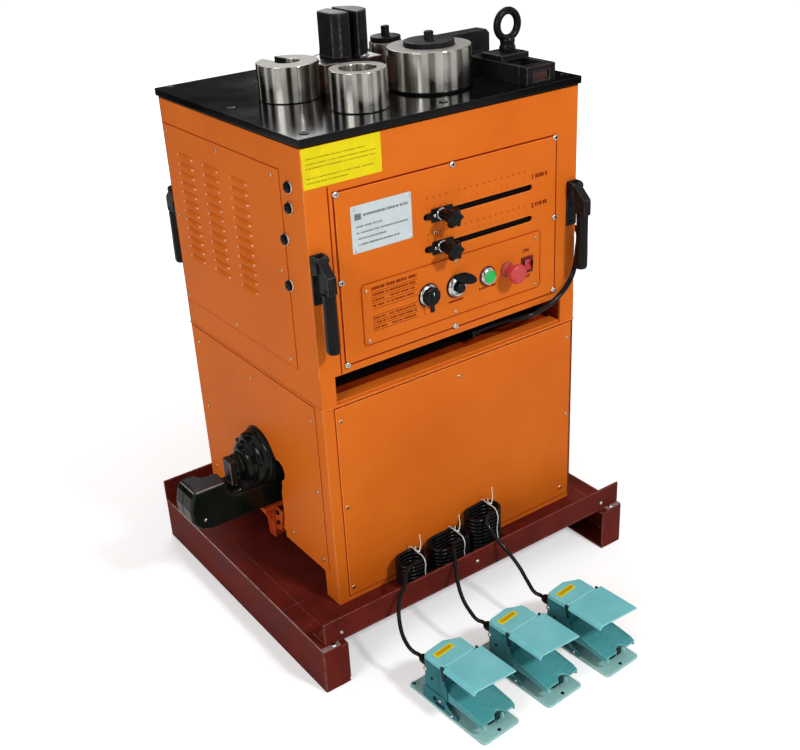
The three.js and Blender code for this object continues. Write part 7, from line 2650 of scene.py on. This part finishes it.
@dataclass
class Pedal:
    """One foot switch: base, housing, guard and treadle, in its own frame turned on the floor."""

    side: str
    at: Triple
    housing: tuple[Pair, ...] = ((-37, 98), (37, 98), (37, 138), (24, 143), (8, 152), (-37, 148))
    pivot: Pair = (104.0, 24.0)

    def place(self) -> Matrix:
        """Moves the pedal's own frame to the machine's."""
        return Matrix.Translation(self.at) @ Matrix.Rotation(math.radians(PEDAL_TURN), 4, "Z")

    def form(self) -> Form:
        """An empty piece in the pedal's own frame."""
        return Form(self.place())

    def build(self) -> None:
        """Builds the pedal."""
        self.build_base()
        self.build_housing()
        self.build_guard()
        self.build_treadle()
        self.build_fittings()

    def build_base(self) -> None:
        """The flat base plate with rounded corners, its side walls, rear ear, and dark discs in its holes as
        painted shade.
        """
        spots = ((0, 8.0), (-33, 180), (30, 178))
        outline = rounded([(-40, 0), (40, 0), (40, 186), (-24, 186), (-40, 188)], 8, 6)
        base = self.form().plate(Axis.Z, (0, 5), outline, 1.2, 3)
        rim = [(4.6, 3.0), (4.6, 6.4), (6.2, 6.2), (6.6, 5.2), (6.6, 3.8), (6.0, 3.0)]
        for spot in spots[1:]:
            base.turned(Axis.Z, spot, rim, sides=32)
        base.finish(f"{self.side}_pedal_plate", TEAL_PLATE, replaces=[f"{self.side}_pedal_base"])
        walls = self.form()
        cheek = rounded([(64, 4), (150, 4), (150, 30), (98, 30), (86, 16), (68, 12)], 3, 3)
        for x in (-39.5, 36.7):
            walls.plate(Axis.X, (x, x + 2.8), cheek, 0.7)
        # Side walls in the darker teal: painted shade
        walls.finish(f"{self.side}_pedal_side_walls", TEAL_PAINTED_SHADE)
        # Dark discs in the holes: painted shade
        holes = self.form()
        for spot in spots:
            holes.turned(Axis.Z, spot, [(4.0, 0.0), (4.0, 3.2), (5.4, 3.2), (5.4, 0.0)], sides=24)
        holes.finish(f"{self.side}_pedal_plate_holes_painted_shade", BLACK_CARD_AND_PAINTED_SHADE)

    def build_housing(self) -> None:
        """The cast housing with its chamfered lid and the hollow towards the treadle."""
        rear = rounded([(-37, 104), (37, 104), (37, 138), (24, 143), (8, 152), (-37, 148)], 6, 5)
        walls = self.form().plate(Axis.Z, (5, 88), rear, 1.2, 2)
        cheek = rounded([(92, 28), (112, 5), (112, 88), (98, 88), (98, 60), (92, 46)], 2, 3)
        for x in (-37.0, 33.6):
            walls.plate(Axis.X, (x, x + 3.4), cheek, 0.8)
        # The housing's walls in the darker teal: painted shade on the side faces
        walls.finish(f"{self.side}_pedal_housing", TEAL_PAINTED_SHADE)
        # The lid in the paler teal: painted light on the lit top
        lid = self.form()
        outline = rounded(self.housing, 7, 5)
        middle = Vector((0.0, 122.0))
        lid.lofted([[(*(middle + (Vector(point) - middle) * s), z) for point in outline]
                    for z, s in ((84.0, 1.0), (91.0, 1.0), (94.6, 0.95), (95.4, 0.9))], 0.6)
        lid.finish(f"{self.side}_pedal_lid", TEAL_PAINTED_LIGHT)
        outline = rounded([(-28, 122), (13, 125), (11, 137), (-29, 134.6)], 2.4, 4)
        label = self.form().plate(Axis.Z, (95.2, 95.9), outline, 0.15, 1)
        label.finish(f"{self.side}_pedal_label", YELLOW_LABEL)
        outline = rounded([(-24, 125.4), (9, 127.8), (8, 134.2), (-25, 132.0)], 1.5, 3)
        panel = self.form().plate(Axis.Z, (95.7, 96.1), outline, 0.1, 1)
        panel.finish(f"{self.side}_pedal_label_panel", OCHRE_LABEL)

    def build_guard(self) -> None:
        """The guard over the treadle: a sheet bent down on its left, with hooks into the housing."""
        bend = [math.radians(160 - 14 * step) for step in range(6)]
        outer = [polar((-32, 90.5), 9, angle) for angle in bend]
        inner = [polar((-32, 90.5), 6, angle) for angle in reversed(bend)]
        section = [(-41.4, 91.6), *outer, (43.0, 99.5), (43.0, 96.5), *inner, (-38.6, 90.6)]
        guard = self.form().lofted([
            [(x, 20.5 - 0.1 * (x + 38), z) for x, z in section],
            [(x, 94.0, z) for x, z in section],
        ], 0.7)
        # The guard in the paler teal: painted light on its lit top
        guard.finish(f"{self.side}_pedal_guard", TEAL_PAINTED_LIGHT)
        hooks = self.form()
        for x, low in ((-40.6, 74), (36.4, 80)):
            hook = rounded([(91, low), (97, low - 4), (101, 90), (103, 97.4), (96, 97.4), (92, 90)], 2, 3)
            hooks.plate(Axis.X, (x, x + 3.0), hook, 0.4)
        # The hooks in the very dark teal: painted shade in the slit
        hooks.finish(f"{self.side}_pedal_hooks", TEAL_PAINTED_DEEP_SHADE)
        # The pin in the paler teal: painted light
        pin = self.form().block((-35, -29), (98.4, 103.6), (94.0, 97.2), 0.8)
        pin.finish(f"{self.side}_pedal_guard_pin", TEAL_PAINTED_LIGHT)

    def build_treadle(self) -> None:
        """The sloping ribbed treadle with its skirts, raised right rim and the notch for the latch."""
        body = f"{self.side}_treadle"
        slope = (47.0 - 35.0) / (112.0 - 12.0)
        shear = Matrix.Identity(4)
        shear[2][1] = slope
        treadle = Form(self.place() @ Matrix.Translation((0, 0, 35 - 12 * slope)) @ shear)
        top = [(-34, 10), (-8, 10), (-3, 17), (4, 20), (11, 17), (16, 9), (34, 9), (38, 14), (38, 112),
               (-34, 112)]
        treadle.plate(Axis.Z, (-4, -0.6), top, 0.9, 3)
        for index in range(11):
            x = -8.0 + index * 4.1
            front = 24 if abs(x - 4) < 9 else 15
            treadle.plate(Axis.Z, (-1.4, 0.5), rectangle((x - 1.1, x + 1.1), (front, 98)), 0.5, 1)
        treadle.block((35.2, 38), (16, 100), (-1.4, 1.4), 0.7)
        skirt = [(10.5, -11), (60, -13), (96, -20), (112, -20), (112, -1), (10.5, -1)]
        for x in (-34.0, 35.0):
            treadle.plate(Axis.X, (x, x + 3), skirt, 0.8)
        treadle.block((-34, 38), (108, 112), (-14, -1), 0.8)
        treadle.finish(f"{self.side}_treadle_plate", TEAL, body, [f"{self.side}_pedal_treadle"])
        # The latch in the very dark teal: painted shade in the notch
        latch = self.form().block((0, 9), (14, 18), (19, 31), 0.8)
        latch.finish(f"{self.side}_treadle_latch", TEAL_PAINTED_DEEP_SHADE, body)
        spike = self.form().plate(Axis.Y, (11, 13), [(-32, 27), (-27, 27), (-26, 19), (-29, 20)], 0.3)
        spike.plate(Axis.Y, (9.5, 12.5), [(9, 32), (12, 32), (13.4, 19), (12, 19)], 0.5)
        # The catch in the paler teal: painted light
        spike.finish(f"{self.side}_treadle_catch", TEAL_PAINTED_LIGHT, body)

    def build_fittings(self) -> None:
        """The pivot, the return spring, the latch bracket, the gland and the small screws."""
        pivot = self.form()
        for x, out in ((-37, -1.0), (37, 1.0)):
            pivot.screw(Axis.X, (x + out * 2.4, 106, 22), out, 3.2, 2.4)
            pivot.screw(Axis.X, (x + out * 2.4, 78, 9), out, 2.6, 2.0)
        pivot.screw(Axis.X, (-37, 143, 66), -1, 4.2, 3.0)
        pivot.screw(Axis.Z, (12, 163, 7.3), 1, 4.0, 2.4)
        pivot.rod(Axis.X, (-36, 36), self.pivot, 3.6, soft=0.3, sides=24)
        pivot.finish(f"{self.side}_pedal_screws", CHROME)
        dull = self.form()
        for x, out in ((-37, -1.0), (37, 1.0)):
            dull.screw(Axis.X, (x + out * 2.4, 119, 19), out, 4.2, 2.6)
            dull.screw(Axis.X, (x, 128, 54), out, 3.0, 1.8)
            dull.block(tuple(sorted((x + out * 2.4, x + out * 4.6))), (96, 116), (10, 15), 0.6)
        # The links in the very dark teal: painted shade on the sides
        dull.finish(f"{self.side}_pedal_links", TEAL_PAINTED_DEEP_SHADE)
        spring = self.form()
        points, turns, steps, reach = [], 5, 16, 5.5
        for index in range(turns * steps + 1):
            angle = 2 * math.pi * index / steps
            rise = 13 * index / (turns * steps)
            points.append((reach * math.cos(angle), 62 + reach * math.sin(angle), 7.6 + rise))
        spring.tube(points, 1.0, sides=2)
        spring.block((-6, 6), (24, 27), (7, 12), 0.6)
        spring.block((-6, 6), (24, 36), (6.8, 9), 0.6)
        spring.finish(f"{self.side}_pedal_spring", BLACKENED)
        gland = self.form()
        gland.turned(Axis.Y, (-28, 72), [
            (146, 3.7), (146, 8.0), (151, 8.0), (151.5, 6.8), (154, 6.8), (154.5, 8.0), (160, 7.8),
            (163, 6.4), (164, 5.0), (164, 3.7),
        ], sides=32)
        gland.finish(f"{self.side}_pedal_gland", BLACK_PLASTIC)


def main() -> None:
    """Builds the whole scene."""
    logging.basicConfig(level=logging.INFO, format="%(name)s: %(message)s")
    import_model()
    assemblies = [
        Studio(), *HANKS, MainsLead(), Skid(), LowerCabinet(), UpperCabinet(), ControlPanel(), Switches(),
        CarryHandle("front_left", 12.0, 0.0, -1.0), CarryHandle("front_right", 535.0, 0.0, -1.0),
        CarryHandle("back_left", 12.0, 471.0, 1.0), CarryHandle("back_right", 535.0, 471.0, 1.0),
        BendingTable(), Cutter(), Drives(), *(Pedal(hank.side, hank.pedal) for hank in HANKS),
    ]
    for assembly in assemblies:
        assembly.build()
        LOG.info("built %s", type(assembly).__name__)


if __name__ == "__main__":
    main()
